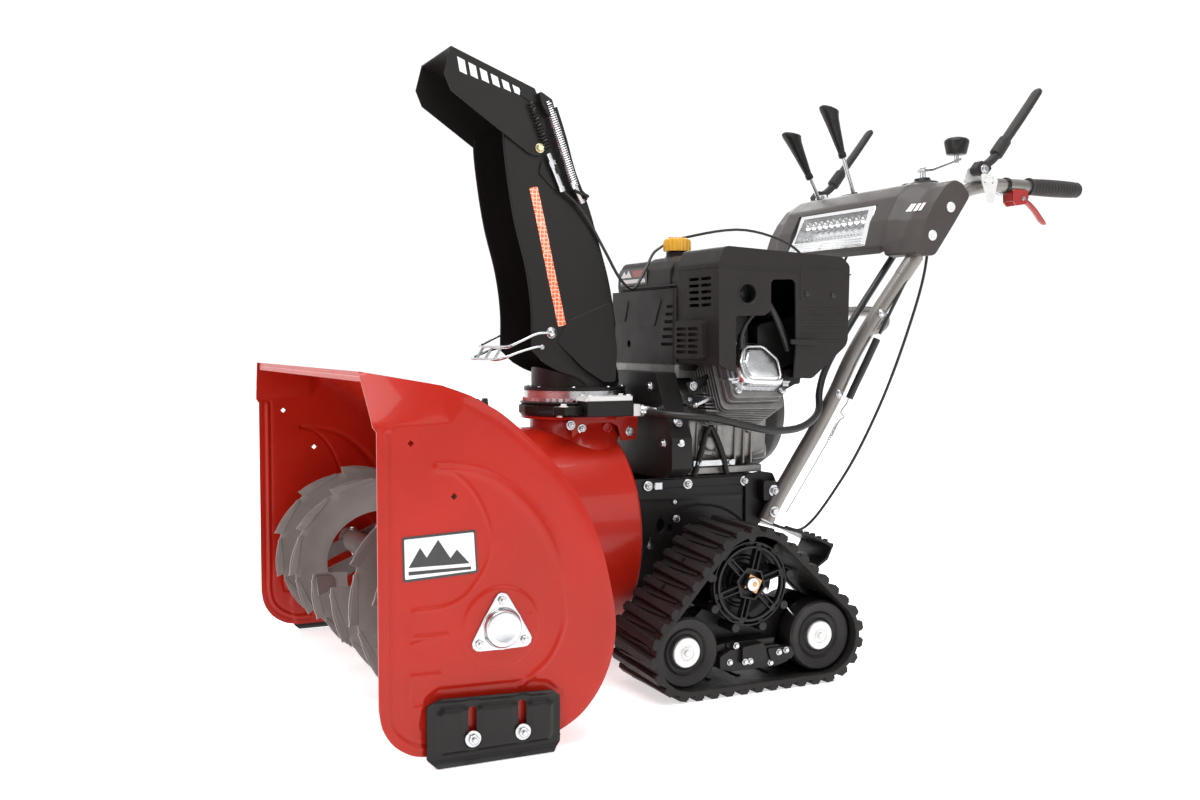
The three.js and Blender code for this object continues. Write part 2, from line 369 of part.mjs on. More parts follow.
// Dash: a moulded shell across the handle tubes, deeper in the middle, open at the back and below.
const DASH = [[594, 727], [605, 760], [616, 790], [634, 820], [658, 849], [682, 863], [700, 856], [718, 836], [680, 782], [637, 724], [610, 722]];
const DASH_IN = [[597.5, 700], [609, 761], [620, 789], [637.5, 818], [661, 846.5], [683, 859.5], [698, 853], [711, 838], [820, 836], [760, 700]];
const NOSE = [[584, 728], [576, 742], [588, 792], [612, 836], [640, 860], [682, 868], [702, 858], [718, 836], [680, 782], [637, 724]];
const NOSE_IN = [[587, 700], [579.6, 743], [591.5, 790.5], [615, 834], [642, 856.7], [682, 864.3], [699, 856], [711, 838], [820, 836], [760, 700]];
let dash = add(plateX(DASH, -DASH_HALF, DASH_HALF), plateX(NOSE, -NOSE_HALF, NOSE_HALF));
dash = cut(dash, plateX(DASH_IN, -DASH_HALF + 3.5, DASH_HALF - 3.5), plateX(NOSE_IN, -NOSE_HALF + 3.5, NOSE_HALF - 3.5));
for (const x of [-160, -50]) dash = cut(dash, box(x - 7, x + 7, 662, 740, 838, 880));
dash = cut(dash, plateX([[560, 748], [560, 826], [618, 826], [618, 748]], -128, 128), cylZ(800, 880, 160, 684, 7, 12));
const barClear = bar([[219, 612, 715], ...TUBE_PATH.slice(8)], BAR_R + 1.2, { sides: 10, steps: 14 });
dash = cut(dash, barClear, flipped(barClear));
node('dash_console', dash, 'plastic');
// Headlight: a wide lamp let into the front of the dash.
node('headlight', plateX([[576.5, 749], [588.5, 790], [606.5, 825], [617, 825], [617, 749]], -127.4, 127.4), 'lens');

// Levers: paddles above the grips, triggers below them.
const paddle = add(plateX([[728, 872], [722, 884], [736, 900], [748, 898], [872, 1045], [882, 1044], [886, 1034], [764, 886], [748, 872]], BAR_X - 11, BAR_X + 11), cylX(BAR_X - 16, BAR_X + 16, 738, 882, 9, 12));
node('drive_lever', paddle, 'rubber');
node('auger_lever', flipped(paddle), 'rubber');
const trig = add(plateX([[822, 828], [822, 838], [848, 838], [876, 820], [906, 794], [904, 786], [896, 786], [866, 812], [846, 826]], BAR_X - 7, BAR_X + 7), cylX(BAR_X - 10, BAR_X + 10, 832, 834, 6, 10));
node('trigger_left', trig, 'trigger');
node('trigger_right', flipped(trig), 'trigger');
// Two shift levers through slots in the dash, leaning forward, each on its own cross pin.
function shifter(x, lean, length) {
  const stick = add(cylZ(0, length, 0, 0, 4, 8), lathe([[0, length - 8], [8, length - 4], [14, length + 26], [16, length + 48], [12, length + 62], [0, length + 66]], 'z', [0, 0, 0], 14));
  const a = (lean * Math.PI) / 180;
  const m = solid(mapped(toGeometry(stick), (u, v, w) => [x + u, 699 + v * Math.cos(a) - w * Math.sin(a), 830 + v * Math.sin(a) + w * Math.cos(a)]));
  return add(m, cylX(x - 12, x + 12, 699, 830, 6, 10));
}
node('speed_lever', shifter(-160, 29, 142), 'rubber');
node('deflector_lever', shifter(-50, 21, 168), 'rubber');
// Chute crank: spindle, cranked arm and knob.
let crank = add(cylZ(846, 888, 160, 684, 6, 10), bar([[160, 684, 886], [160, 700, 892], [160, 764, 912]], 5, { sides: 8, steps: 2, straight: true }), cylZ(908, 926, 160, 764, 5, 8));
crank = add(crank, lathe([[0, 924], [14, 926], [21, 934], [20, 948], [10, 956], [0, 957]], 'z', [160, 764, 0], 14));
node('crank_arm', crank, 'rubber');

// Flexible shaft from the worm drive back to the dash.
node('chute_drive_shaft', bar([[112, 113.5, 452], [113, 124, 451.5], [141, 131, 449], [174, 137.5, 447], [198, 164, 445], [212, 204, 441], [222, 252, 430], [226, 308, 419], [218, 376, 422], [192, 430, 446], [164, 452, 480], [146, 478, 520], [144, 532, 600], [146, 594, 684], [150, 632, 738], [157, 666, 796], [160, 683, 828], [160, 684, 844]], 6.5, { sides: 8, steps: 34 }), 'rubber');
// Deflector cable from the chute, over the tank, to the dash.
node('deflector_cable', bar([[82, -18, 822], [82, 20, 800], [80, 62, 726], [72, 100, 676], [60, 128, 662], [42, 160, 694], [18, 190, 728], [-8, 218, 742], [-34, 246, 752], [-50, 300, 768], [-52, 430, 786], [-50, 540, 756], [-50, 596, 706], [-50, 640, 706], [-50, 672, 750], [-50, 684, 806]], 2.6, { sides: 8, steps: 34 }), 'rubber');
// Clutch cable from under the dash down to the frame.
node('drive_cable', bar([[206, 664, 790], [200, 658, 700], [194, 628, 596], [180, 574, 452], [168, 500, 320], [156, 420, 232], [140, 396, 236]], 2.6, { sides: 8, steps: 20 }), 'rubber');

// ---------------------------------------------------------------- track drive
function belt() {
  const outer = hull2([AXLE, FRONT, REAR], 15), inner = hull2([AXLE, FRONT, REAR].map(([a, b, r]) => [a, b, r - BELT_T]), 15);
  return cut(plateX(outer, TRACK_IN, TRACK_OUT), plateX(inner, TRACK_IN - 5, TRACK_OUT + 5));
}
const trackLeft = belt();
node('track_left', trackLeft, 'rubber');
node('track_right', flipped(trackLeft), 'rubber');
function wheel([y, z, r], axleR) {
  const R = r - BELT_T - 1;
  return add(cylX(182, 222, y, z, R, 20), cylX(264, 304, y, z, R, 20), cylX(180, 309, y, z, axleR, 8), cylX(303, 309, y, z, 23.5, 12));
}
const frontLeft = wheel(FRONT, 11), rearLeft = wheel(REAR, 11);
node('front_idler_left', frontLeft, 'rubber');
node('front_idler_right', flipped(frontLeft), 'rubber');
node('rear_idler_left', rearLeft, 'rubber');
node('rear_idler_right', flipped(rearLeft), 'rubber');
// Sprocket: two spoked rings on a hub, with its half of the drive axle.
function sprocket() {
  const [y, z, r] = AXLE, R = r - BELT_T - 1;
  let m = add(cylX(20, 309, y, z, 12, 12), cylX(184, 204, y, z, R, 24));
  let disc = cut(cylX(280, 302, y, z, R, 24), cylX(279, 303, y, z, 62, 24)).add(cylX(280, 302, y, z, 28, 12));
  for (let k = 0; k < 6; k++) {
    const th = ((k * 60 + 15) * Math.PI) / 180;
    const sp = new THREE.BoxGeometry(18, 50, 13).translate(291, 43, 0);
    disc = disc.add(solid(mapped(sp, (a, b, c) => [a, y + b * Math.cos(th) - c * Math.sin(th), z + b * Math.sin(th) + c * Math.cos(th)])));
  }
  return m.add(disc);
}
const sprocketLeft = sprocket();
node('sprocket_left', sprocketLeft, 'black');
node('sprocket_right', flipped(sprocketLeft), 'black');
// Track frame: a beam between the idler axles with an upright to the drive axle.
function trackFrame(withBar) {
  let m = plateX([[78, 66], [78, 88], [124, 100], [187, 160], [198, 200], [248, 200], [259, 160], [334, 102], [384, 92], [384, 64], [334, 54], [112, 54]], 225, 261);
  m = add(m, plateX([[172, 42], [172, 62], [186, 82], [276, 82], [290, 64], [290, 42], [276, 34], [186, 34]], 258, 310));
  m = cut(m, cylX(200, 270, FRONT[0], FRONT[1], 11.5, 12), cylX(200, 270, REAR[0], REAR[1], 11.5, 12), cylX(200, 270, AXLE[0], AXLE[1], 12.6, 16));
  if (withBar) m = m.add(cylX(-224.6, 226, 228, 70, 9, 10));
  return m;
}
node('track_frame_left', trackFrame(true), 'black');
node('track_frame_right', flipped(trackFrame(false)), 'black');
// Foot pedal that lets the tracks tilt.
let pedal = add(plateX([[346, 250], [346, 254], [401, 233], [466, 214], [519, 191], [509, 165], [480, 149], [478, 152], [504, 168], [513, 188], [465, 210], [400, 229]], 18, 118), cylX(14, 120.6, 352, 250, 7, 12));
node('foot_pedal', pedal, 'black');

export default machine;
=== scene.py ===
# Looks of the snow blower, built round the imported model. Metres, same frame as the model.
# Shapes are written in a bench frame in millimetres whose y is 269 mm further back.
import bpy, bmesh, math
import numpy as np
from mathutils import Vector, Matrix
from mathutils.geometry import delaunay_2d_cdt

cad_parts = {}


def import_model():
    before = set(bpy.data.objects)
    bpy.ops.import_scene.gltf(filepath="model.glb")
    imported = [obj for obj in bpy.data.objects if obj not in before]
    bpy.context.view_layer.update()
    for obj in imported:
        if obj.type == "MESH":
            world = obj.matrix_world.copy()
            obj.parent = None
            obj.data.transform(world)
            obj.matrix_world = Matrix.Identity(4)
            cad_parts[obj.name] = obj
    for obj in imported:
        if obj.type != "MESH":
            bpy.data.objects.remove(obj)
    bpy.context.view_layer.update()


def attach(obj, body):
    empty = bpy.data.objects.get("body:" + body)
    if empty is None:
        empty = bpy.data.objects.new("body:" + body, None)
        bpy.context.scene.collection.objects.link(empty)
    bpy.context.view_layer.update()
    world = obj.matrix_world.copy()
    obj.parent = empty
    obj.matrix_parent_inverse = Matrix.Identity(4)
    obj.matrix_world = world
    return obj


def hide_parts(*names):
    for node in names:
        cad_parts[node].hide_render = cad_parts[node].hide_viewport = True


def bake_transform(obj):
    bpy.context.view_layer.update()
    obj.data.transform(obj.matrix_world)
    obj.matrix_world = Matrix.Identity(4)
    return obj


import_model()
YM = 269.0
pi = math.pi


def W(p):
    return Vector((p[0] / 1000.0, (p[1] - YM) / 1000.0, p[2] / 1000.0))


# ------------------------------------------------------------------ geometry collector (bench mm)
class G:
    def __init__(s):
        s.v, s.f, s.m = [], [], []

    def put(s, verts, faces, mi=0):
        o = len(s.v)
        s.v += [tuple(map(float, p)) for p in verts]
        s.f += [tuple(i + o for i in f) for f in faces]
        s.m += [mi] * len(faces)
        return s

    def join(s, g, fn=None, mi=None):
        o = len(s.v)
        s.v += [tuple(fn(*p)) if fn else p for p in g.v]
        s.f += [tuple(i + o for i in f) for f in g.f]
        s.m += g.m if mi is None else [mi] * len(g.m)
        return s


def mir(x, y, z):
    return (-x, y, z)


def prism(g, pts, a0, a1, axis="x", mi=0):
    n = len(pts)
    mk = {"x": lambda u, v, w: (w, u, v), "y": lambda u, v, w: (u, w, v), "z": lambda u, v, w: (u, v, w)}[axis]
    vs = [mk(u, v, a0) for u, v in pts] + [mk(u, v, a1) for u, v in pts]
    fs = [tuple(range(n)), tuple(range(2 * n - 1, n - 1, -1))] + [(i, (i + 1) % n, n + (i + 1) % n, n + i) for i in range(n)]
    return g.put(vs, fs, mi)


def box(g, x0, x1, y0, y1, z0, z1, mi=0):
    return prism(g, [(y0, z0), (y1, z0), (y1, z1), (y0, z1)], x0, x1, "x", mi)


def frames(path):
    P = np.array(path, float)
    T = np.zeros_like(P)
    T[1:-1] = P[2:] - P[:-2]
    T[0], T[-1] = P[1] - P[0], P[-1] - P[-2]
    T /= np.linalg.norm(T, axis=1)[:, None] + 1e-12
    n = np.cross(T[0], [0, 0, 1.0])
    if np.linalg.norm(n) < 1e-3:
        n = np.cross(T[0], [1.0, 0, 0])
    n /= np.linalg.norm(n)
    N = []
    for t in T:
        n = n - t * (n @ t)
        n /= np.linalg.norm(n)
        N.append(n.copy())
    N = np.array(N)
    return P, T, N, np.cross(T, N)


def tube(g, path, r, n=12, mi=0, caps=True, loop=False, flat=1.0):
    P, T, N, B = frames(path)
    rr = np.full(len(P), float(r)) if np.isscalar(r) else np.array(r, float)
    vs, fs = [], []
    for i in range(len(P)):
        for k in range(n):
            a = 2 * pi * k / n
            vs.append(P[i] + rr[i] * (math.cos(a) * N[i] + flat * math.sin(a) * B[i]))
    m = len(P)
    for i in range(m if loop else m - 1):
        j = (i + 1) % m
        for k in range(n):
            fs.append((i * n + k, i * n + (k + 1) % n, j * n + (k + 1) % n, j * n + k))
    if caps and not loop:
        fs += [tuple(range(n))[::-1], tuple((m - 1) * n + k for k in range(n))]
    return g.put(vs, fs, mi)


def basis(d):
    d = np.array(d, float)
    d /= np.linalg.norm(d)
    a = np.cross(d, [0, 0, 1.0])
    if np.linalg.norm(a) < 1e-3:
        a = np.cross(d, [1.0, 0, 0])
    a /= np.linalg.norm(a)
    return d, a, np.cross(d, a)


def lathe(g, prof, at, d, n=24, mi=0, phase=0.0):
    """prof: (r, h) along direction d from at. Ends with r 0 close to a point; otherwise capped."""
    d, a, b = basis(d)
    at = np.array(at, float)
    vs, fs, rings = [], [], []
    for r, h in prof:
        if r < 1e-6:
            rings.append([len(vs)])
            vs.append(at + d * h)
        else:
            ring = []
            for k in range(n):
                t = 2 * pi * k / n + phase
                ring.append(len(vs))
                vs.append(at + d * h + r * (math.cos(t) * a + math.sin(t) * b))
            rings.append(ring)
    for p, q in zip(rings, rings[1:]):
        for k in range(n):
            k2 = (k + 1) % n
            if len(p) == 1 and len(q) == 1:
                continue
            if len(p) == 1:
                fs.append((p[0], q[k2], q[k]))
            elif len(q) == 1:
                fs.append((p[k], p[k2], q[0]))
            else:
                fs.append((p[k], p[k2], q[k2], q[k]))
    if len(rings[0]) > 1:
        fs.append(tuple(rings[0])[::-1])
    if len(rings[-1]) > 1:
        fs.append(tuple(rings[-1]))
    return g.put(vs, fs, mi)


def ringlathe(g, prof, at, d, n=32, mi=0):
    """closed profile loop (r, h) with no point on the axis"""
    d, a, b = basis(d)
    at = np.array(at, float)
    vs, fs = [], []
    m = len(prof)
    for k in range(n):
        t = 2 * pi * k / n
        for r, h in prof:
            vs.append(at + d * h + r * (math.cos(t) * a + math.sin(t) * b))
    for k in range(n):
        k2 = (k + 1) % n
        for i in range(m):
            j = (i + 1) % m
            fs.append((k * m + i, k * m + j, k2 * m + j, k2 * m + i))
    return g.put(vs, fs, mi)


def cyl(g, p0, p1, r, n=24, mi=0, r1=None):
    p0, p1 = np.array(p0, float), np.array(p1, float)
    L = np.linalg.norm(p1 - p0)
    return lathe(g, [(r, 0), (r if r1 is None else r1, L)], p0, p1 - p0, n, mi)


def bolt(g, at, d, r=6.5, h=5.0, mi=0, washer=None, stud=0.0, phase=0.3, flange=False):
    """hex head or nut with chamfers, on a washer"""
    d = np.array(d, float) / np.linalg.norm(d)
    at = np.array(at, float)
    if washer:
        lathe(g, [(washer, 0), (washer, 1.0), (washer - 0.6, 1.5), (0, 1.5)], at, d, 24, mi)
        at = at + d * 1.4
    if flange:
        lathe(g, [(r * 1.45, 0), (r * 1.45, 1.2), (r * 1.0, 2.6), (0, 2.6)], at, d, 24, mi)
    lathe(g, [(r, 0), (r, h - 1.0), (r * 0.86, h), (0, h)], at, d, 6, mi, phase)
    if stud:
        lathe(g, [(r * 0.52, 0), (r * 0.52, h + stud - 0.7), (r * 0.4, h + stud), (0, h + stud)], at, d, 12, mi)
    return g


def dome(g, at, d, r=8.0, h=4.0, mi=0, washer=None):
    d = np.array(d, float) / np.linalg.norm(d)
    at = np.array(at, float)
    if washer:
        lathe(g, [(washer, 0), (washer, 1.0), (washer - 0.6, 1.5), (0, 1.5)], at, d, 24, mi)
        at = at + d * 1.4
    lathe(g, [(r, 0)] + [(r * math.cos(t), h * math.sin(t)) for t in (0.3, 0.6, 0.9, 1.2)] + [(0, h)], at, d, 20, mi)
    return g


def spring(g, p0, p1, R, r, turns, mi=0, n=6, per=14):
    d, a, b = basis(np.array(p1, float) - np.array(p0, float))
    p0 = np.array(p0, float)
    L = np.linalg.norm(np.array(p1, float) - p0)
    path = []
    for i in range(int(turns * per) + 1):
        t = i / per * 2 * pi
        path.append(p0 + d * (L * i / (turns * per)) + R * (math.cos(t) * a + math.sin(t) * b))
    return tube(g, path, r, n, mi)


def cr(pts, per=6, loop=False):
    """centripetal Catmull-Rom through points"""
    P = [np.array(p, float) for p in pts]
    if loop:
        P = [P[-1]] + P + [P[0], P[1]]
    else:
        P = [2 * P[0] - P[1]] + P + [2 * P[-1] - P[-2]]
    out = []
    for i in range(1, len(P) - 2):
        p0, p1, p2, p3 = P[i - 1 : i + 3]
        t0 = 0.0
        t1 = t0 + max(1e-6, np.linalg.norm(p1 - p0)) ** 0.5
        t2 = t1 + max(1e-6, np.linalg.norm(p2 - p1)) ** 0.5
        t3 = t2 + max(1e-6, np.linalg.norm(p3 - p2)) ** 0.5
        for k in range(per):
            t = t1 + (t2 - t1) * k / per
            a1 = (t1 - t) / (t1 - t0) * p0 + (t - t0) / (t1 - t0) * p1
            a2 = (t2 - t) / (t2 - t1) * p1 + (t - t1) / (t2 - t1) * p2
            a3 = (t3 - t) / (t3 - t2) * p2 + (t - t2) / (t3 - t2) * p3
            b1 = (t2 - t) / (t2 - t0) * a1 + (t - t0) / (t2 - t0) * a2
            b2 = (t3 - t) / (t3 - t1) * a2 + (t - t1) / (t3 - t1) * a3
            out.append((t2 - t) / (t2 - t1) * b1 + (t - t1) / (t2 - t1) * b2)
    if not loop:
        out.append(P[-2])
    return [tuple(p) for p in out]


def resample(pts, step, loop=True):
    P = [np.array(p, float) for p in pts]
    if loop:
        P.append(P[0])
    out = []
    for a, b in zip(P, P[1:]):
        n = max(1, int(round(np.linalg.norm(b - a) / step)))
        for k in range(n):
            out.append(tuple(a + (b - a) * k / n))
    if not loop:
        out.append(tuple(P[-1]))
    return out


def rounded(pts, r, n=5):
    """polygon with each corner rounded (r a number or one per corner)"""
    out = []
    m = len(pts)
    for i in range(m):
        p, a, b = (np.array(q, float) for q in (pts[i], pts[i - 1], pts[(i + 1) % m]))
        ri = r if np.isscalar(r) else r[i]
        ua, ub = a - p, b - p
        la, lb = np.linalg.norm(ua), np.linalg.norm(ub)
        ua, ub = ua / la, ub / lb
        ang = math.acos(max(-1, min(1, ua @ ub)))
        if ri < 1e-3 or ang > pi - 0.02:
            out.append(tuple(p))
            continue
        t = min(ri / math.tan(ang / 2), la * 0.48, lb * 0.48)
        A, B = p + ua * t, p + ub * t
        for k in range(n + 1):
            s = k / n
            out.append(tuple((1 - s) ** 2 * A + 2 * s * (1 - s) * p + s * s * B))
    return out


def segdist(P, line, loop=False):
    """distance from points P (n,2) to a polyline"""
    L = [np.array(q, float) for q in line]
    if loop:
        L = L + [L[0]]
    best = np.full(len(P), 1e9)
    for a, b in zip(L, L[1:]):
        ab = b - a
        t = np.clip(((P - a) @ ab) / max(1e-9, ab @ ab), 0, 1)
        d = np.linalg.norm(P - (a + t[:, None] * ab), axis=1)
        best = np.minimum(best, d)
    return best


def inpoly(P, poly):
    x, y = P[:, 0], P[:, 1]
    ins = np.zeros(len(P), bool)
    n = len(poly)
    for i in range(n):
        x0, y0 = poly[i]
        x1, y1 = poly[(i + 1) % n]
        c = ((y0 > y) != (y1 > y)) & (x < (x1 - x0) * (y - y0) / ((y1 - y0) if abs(y1 - y0) > 1e-12 else 1e-12) + x0)
        ins ^= c
    return ins


def sheet(g, outline, holes, step, top, thick, mk, mi=0, fine=None):
    """a pressed plate: outline and holes in (u, v); top(P)->height array; mk(u, v, h)->point. fine: (polylines, radius, step) adds points there."""
    loops = [resample(outline, step)] + [resample(h, max(1.2, step * 0.5)) for h in holes]
    vs, es = [], []
    for lp in loops:
        o = len(vs)
        vs += lp
        es += [(o + i, o + (i + 1) % len(lp)) for i in range(len(lp))]
    A = np.array(loops[0])
    u0, v0 = A.min(0)
    u1, v1 = A.max(0)
    def grid(st):
        pts = []
        rows = int((v1 - v0) / (st * 0.866)) + 1
        for j in range(rows):
            off = 0.5 * st if j % 2 else 0.0
            for i in range(int((u1 - u0) / st) + 1):
                pts.append((u0 + off + i * st, v0 + j * st * 0.866))
        return np.array(pts)
    keep = grid(step)
    keep = keep[inpoly(keep, loops[0])]
    if fine:
        lines, rad, fs_ = fine
        fg = grid(fs_)
        d = np.full(len(fg), 1e9)
        dk = np.full(len(keep), 1e9)
        for ln in lines:
            d = np.minimum(d, segdist(fg, ln))
            dk = np.minimum(dk, segdist(keep, ln))
        keep = np.vstack([keep[dk >= rad], fg[(d < rad)]])
        keep = keep[inpoly(keep, loops[0])]
    for lp in loops:
        keep = keep[segdist(keep, lp, True) > step * 0.38]
    for h in loops[1:]:
        keep = keep[~inpoly(keep, h)]
    pts = [Vector(p) for p in vs] + [Vector(p) for p in keep]
    rv, re_, rf, *_ = delaunay_2d_cdt(pts, es, [], 1, 1e-5)
    R = np.array([(p.x, p.y) for p in rv])
    C = np.array([R[list(f)].mean(0) for f in rf])
    ok = inpoly(C, loops[0])
    for h in loops[1:]:
        ok &= ~inpoly(C, h)
    tris = [tuple(f) for f, k in zip(rf, ok) if k]
    used = sorted({i for f in tris for i in f})
    new = {o: i for i, o in enumerate(used)}
    R = R[used]
    tris = [tuple(new[i] for i in f) for f in tris]
    H = top(R)
    n = len(R)
    verts = [mk(u, v, h) for (u, v), h in zip(R, H)] + [mk(u, v, h - thick) for (u, v), h in zip(R, H)]
    faces = list(tris) + [tuple(i + n for i in f)[::-1] for f in tris]
    cnt = {}
    for f in tris:
        for i in range(3):
            e = (f[i], f[(i + 1) % 3])
            cnt[e] = cnt.get(e, 0) + 1
    for (a, b) in list(cnt):
        if (b, a) not in cnt:
            faces.append((b, a, a + n, b + n))
    return g.put(verts, faces, mi)


# ------------------------------------------------------------------ objects
def mesh_of(name, g):
    me = bpy.data.meshes.new(name)
    me.from_pydata([W(p) for p in g.v], [], g.f)
    me.polygons.foreach_set("material_index", g.m)
    bm = bmesh.new()
    bm.from_mesh(me)
    bmesh.ops.remove_doubles(bm, verts=bm.verts, dist=2e-6)
    bmesh.ops.dissolve_degenerate(bm, dist=1e-6, edges=bm.edges)
    bmesh.ops.recalc_face_normals(bm, faces=bm.faces)
    bm.to_mesh(me)
    bm.free()
    return me


def obj(name, g, mats, body, bevel=0.0, seg=2, sub=0, sharp=35, replaces=(), wn=False):
    me = mesh_of(name, g)
    o = bpy.data.objects.new(name, me)
    bpy.context.scene.collection.objects.link(o)
    for m in mats if isinstance(mats, (list, tuple)) else [mats]:
        me.materials.append(m)
    me.shade_smooth()
    if sub:
        s = o.modifiers.new("sub", "SUBSURF")
        s.levels = s.render_levels = sub
    else:
        me.set_sharp_from_angle(angle=math.radians(sharp))
    if bevel:
        b = o.modifiers.new("bev", "BEVEL")
        b.width = bevel / 1000.0
        b.segments = seg
        b.limit_method = "ANGLE"
        b.angle_limit = math.radians(28)
        b.use_clamp_overlap = True
        b.miter_outer = "MITER_ARC"
    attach(o, body)
    if replaces:
        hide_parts(*([replaces] if isinstance(replaces, str) else replaces))
    return o


def boolean(o, g, op="DIFFERENCE", own=False):
    """cuts geometry g out of o now; o's other modifiers stay"""
    me = mesh_of("cutter", g)
    c = bpy.data.objects.new("cutter", me)
    bpy.context.scene.collection.objects.link(c)
    keep = [(m.type, m.name) for m in o.modifiers]
    for m in o.modifiers:
        m.show_viewport = m.show_render = False
    b = o.modifiers.new("bool", "BOOLEAN")
    b.object = c
    b.operation = op
    b.solver = "EXACT"
    b.use_self = own
    bpy.context.view_layer.update()
    dg = bpy.context.evaluated_depsgraph_get()
    new = bpy.data.meshes.new_from_object(o.evaluated_get(dg), depsgraph=dg)
    o.modifiers.remove(b)
    for m in o.modifiers:
        m.show_viewport = m.show_render = True
    for mt in list(new.materials)[len(o.data.materials):]:
        pass
    o.data = new
    new.shade_smooth()
    new.set_sharp_from_angle(angle=math.radians(35))
    bpy.data.objects.remove(c)
    return o


# ------------------------------------------------------------------ materials
def mat(name, color, rough=0.5, metal=0.0, coat=0.0, coat_rough=0.06, spec=0.5, bumps=(), rvar=None, cvar=None, cvar2=None, trans=0.0, ior=1.5, edge=None, dust=None, sheen=0.0, alpha=None, emit=None):
    """bumps: [(kind, scale per m, strength, distance mm)]; rvar: (scale, amount); cvar: (scale, darker factor); edge: (colour, low, high) by pointiness"""
    m = bpy.data.materials.new(name)
    m.use_nodes = True
    nt = m.node_tree
    N, L = nt.nodes, nt.links
    bs = N["Principled BSDF"]
    bs.inputs["Metallic"].default_value = metal
    bs.inputs["Coat Weight"].default_value = coat
    bs.inputs["Coat Roughness"].default_value = coat_rough
    bs.inputs["Specular IOR Level"].default_value = spec
    bs.inputs["IOR"].default_value = ior
    bs.inputs["Transmission Weight"].default_value = trans
    bs.inputs["Sheen Weight"].default_value = sheen
    bs.inputs["Roughness"].default_value = rough
    bs.inputs["Base Color"].default_value = (*color, 1)
    if emit:
        bs.inputs["Emission Color"].default_value = (*emit[0], 1)
        bs.inputs["Emission Strength"].default_value = emit[1]
    tc = N.new("ShaderNodeTexCoord")

    def noise(scale, detail=3.0, rough_=0.55):
        t = N.new("ShaderNodeTexNoise")
        t.inputs["Scale"].default_value = scale
        t.inputs["Detail"].default_value = detail
        t.inputs["Roughness"].default_value = rough_
        L.new(tc.outputs["Object"], t.inputs["Vector"])
        return t

    def ramp(src, lo, hi, out0, out1):
        r = N.new("ShaderNodeMapRange")
        r.clamp = True
        for k, v in (("From Min", lo), ("From Max", hi), ("To Min", out0), ("To Max", out1)):
            r.inputs[k].default_value = v
        L.new(src, r.inputs["Value"])
        return r.outputs["Result"]

    def mix(fac, a, b):
        x = N.new("ShaderNodeMix")
        x.data_type = "RGBA"
        for s, v in ((x.inputs[6], a), (x.inputs[7], b)):
            if isinstance(v, tuple):
                s.default_value = (*v, 1)
            else:
                L.new(v, s)
        L.new(fac, x.inputs[0])
        return x.outputs[2]

    col = None
    if cvar:
        n = noise(cvar[0], 4)
        col = mix(ramp(n.outputs["Fac"], 0.3, 0.7, 0, 1), tuple(c * cvar[1] for c in color), color)
    if cvar2:
        n = noise(cvar2[0], 6, 0.7)
        col = mix(ramp(n.outputs["Fac"], cvar2[2], cvar2[3], 0, 1), col if col else color, cvar2[1])
    if edge:
        ge = N.new("ShaderNodeNewGeometry")
        n = noise(260, 4, 0.7)
        a = N.new("ShaderNodeMath")
        a.operation = "MULTIPLY_ADD"
        L.new(n.outputs["Fac"], a.inputs[0])
        a.inputs[1].default_value = 0.05
        L.new(ge.outputs["Pointiness"], a.inputs[2])
        col = mix(ramp(a.outputs[0], edge[1], edge[2], 0, 1), col if col else color, edge[0])
    if col:
        L.new(col, bs.inputs["Base Color"])
    if rvar:
        n = noise(rvar[0], 5, 0.65)
        L.new(ramp(n.outputs["Fac"], 0.25, 0.75, max(0.02, rough - rvar[1]), rough + rvar[1]), bs.inputs["Roughness"])
    prev = None
    for kind, scale, strength, dist in bumps:
        if kind == "noise":
            h = noise(scale, 2.0).outputs["Fac"]
        elif kind == "fine":
            h = noise(scale, 4.0, 0.7).outputs["Fac"]
        elif kind == "voronoi":
            t = N.new("ShaderNodeTexVoronoi")
            t.inputs["Scale"].default_value = scale
            L.new(tc.outputs["Object"], t.inputs["Vector"])
            h = t.outputs["Distance"]
        b = N.new("ShaderNodeBump")
        b.inputs["Strength"].default_value = strength
        b.inputs["Distance"].default_value = dist / 1000.0
        L.new(h, b.inputs["Height"])
        if prev:
            L.new(prev, b.inputs["Normal"])
        prev = b.outputs["Normal"]
    if prev:
        L.new(prev, bs.inputs["Normal"])
    return m


RED = mat("red_powder", (0.425, 0.0135, 0.0048), 0.33, spec=0.2, coat=0.24, coat_rough=0.06, bumps=[("noise", 420, 0.05, 0.4)], rvar=(14, 0.05), cvar=(7, 0.86))
BLACK = mat("black_powder", (0.0095, 0.0082, 0.0076), 0.38, spec=0.26, coat=0.05, coat_rough=0.25, bumps=[("fine", 1500, 0.12, 0.2)], rvar=(30, 0.08), cvar=(12, 0.8))
SATIN = mat("chute_paint", (0.0105, 0.0088, 0.0080), 0.42, spec=0.25, coat=0.05, coat_rough=0.2, bumps=[("fine", 1600, 0.1, 0.2)], rvar=(22, 0.06), cvar=(9, 0.85))
GREY = mat("auger_paint", (0.205, 0.182, 0.170), 0.42, coat=0.15, coat_rough=0.2, bumps=[("noise", 500, 0.08, 0.4), ("fine", 60, 0.05, 1.0)], rvar=(35, 0.09), cvar=(18, 0.8), cvar2=(90, (0.24, 0.22, 0.21), 0.62, 0.74))
ZINC = mat("zinc", (0.62, 0.63, 0.65), 0.24, metal=1.0, bumps=[("fine", 900, 0.06, 0.2)], rvar=(60, 0.09), cvar=(40, 0.82))
CAST = mat("cast_alloy", (0.30, 0.29, 0.28), 0.48, metal=0.85, bumps=[("fine", 700, 0.35, 0.5)], rvar=(45, 0.1), cvar=(30, 0.72))
BRIGHT = mat("bright_casting", (0.74, 0.75, 0.77), 0.25, metal=1.0, bumps=[("fine", 500, 0.12, 0.3)], rvar=(50, 0.08), cvar=(30, 0.86))
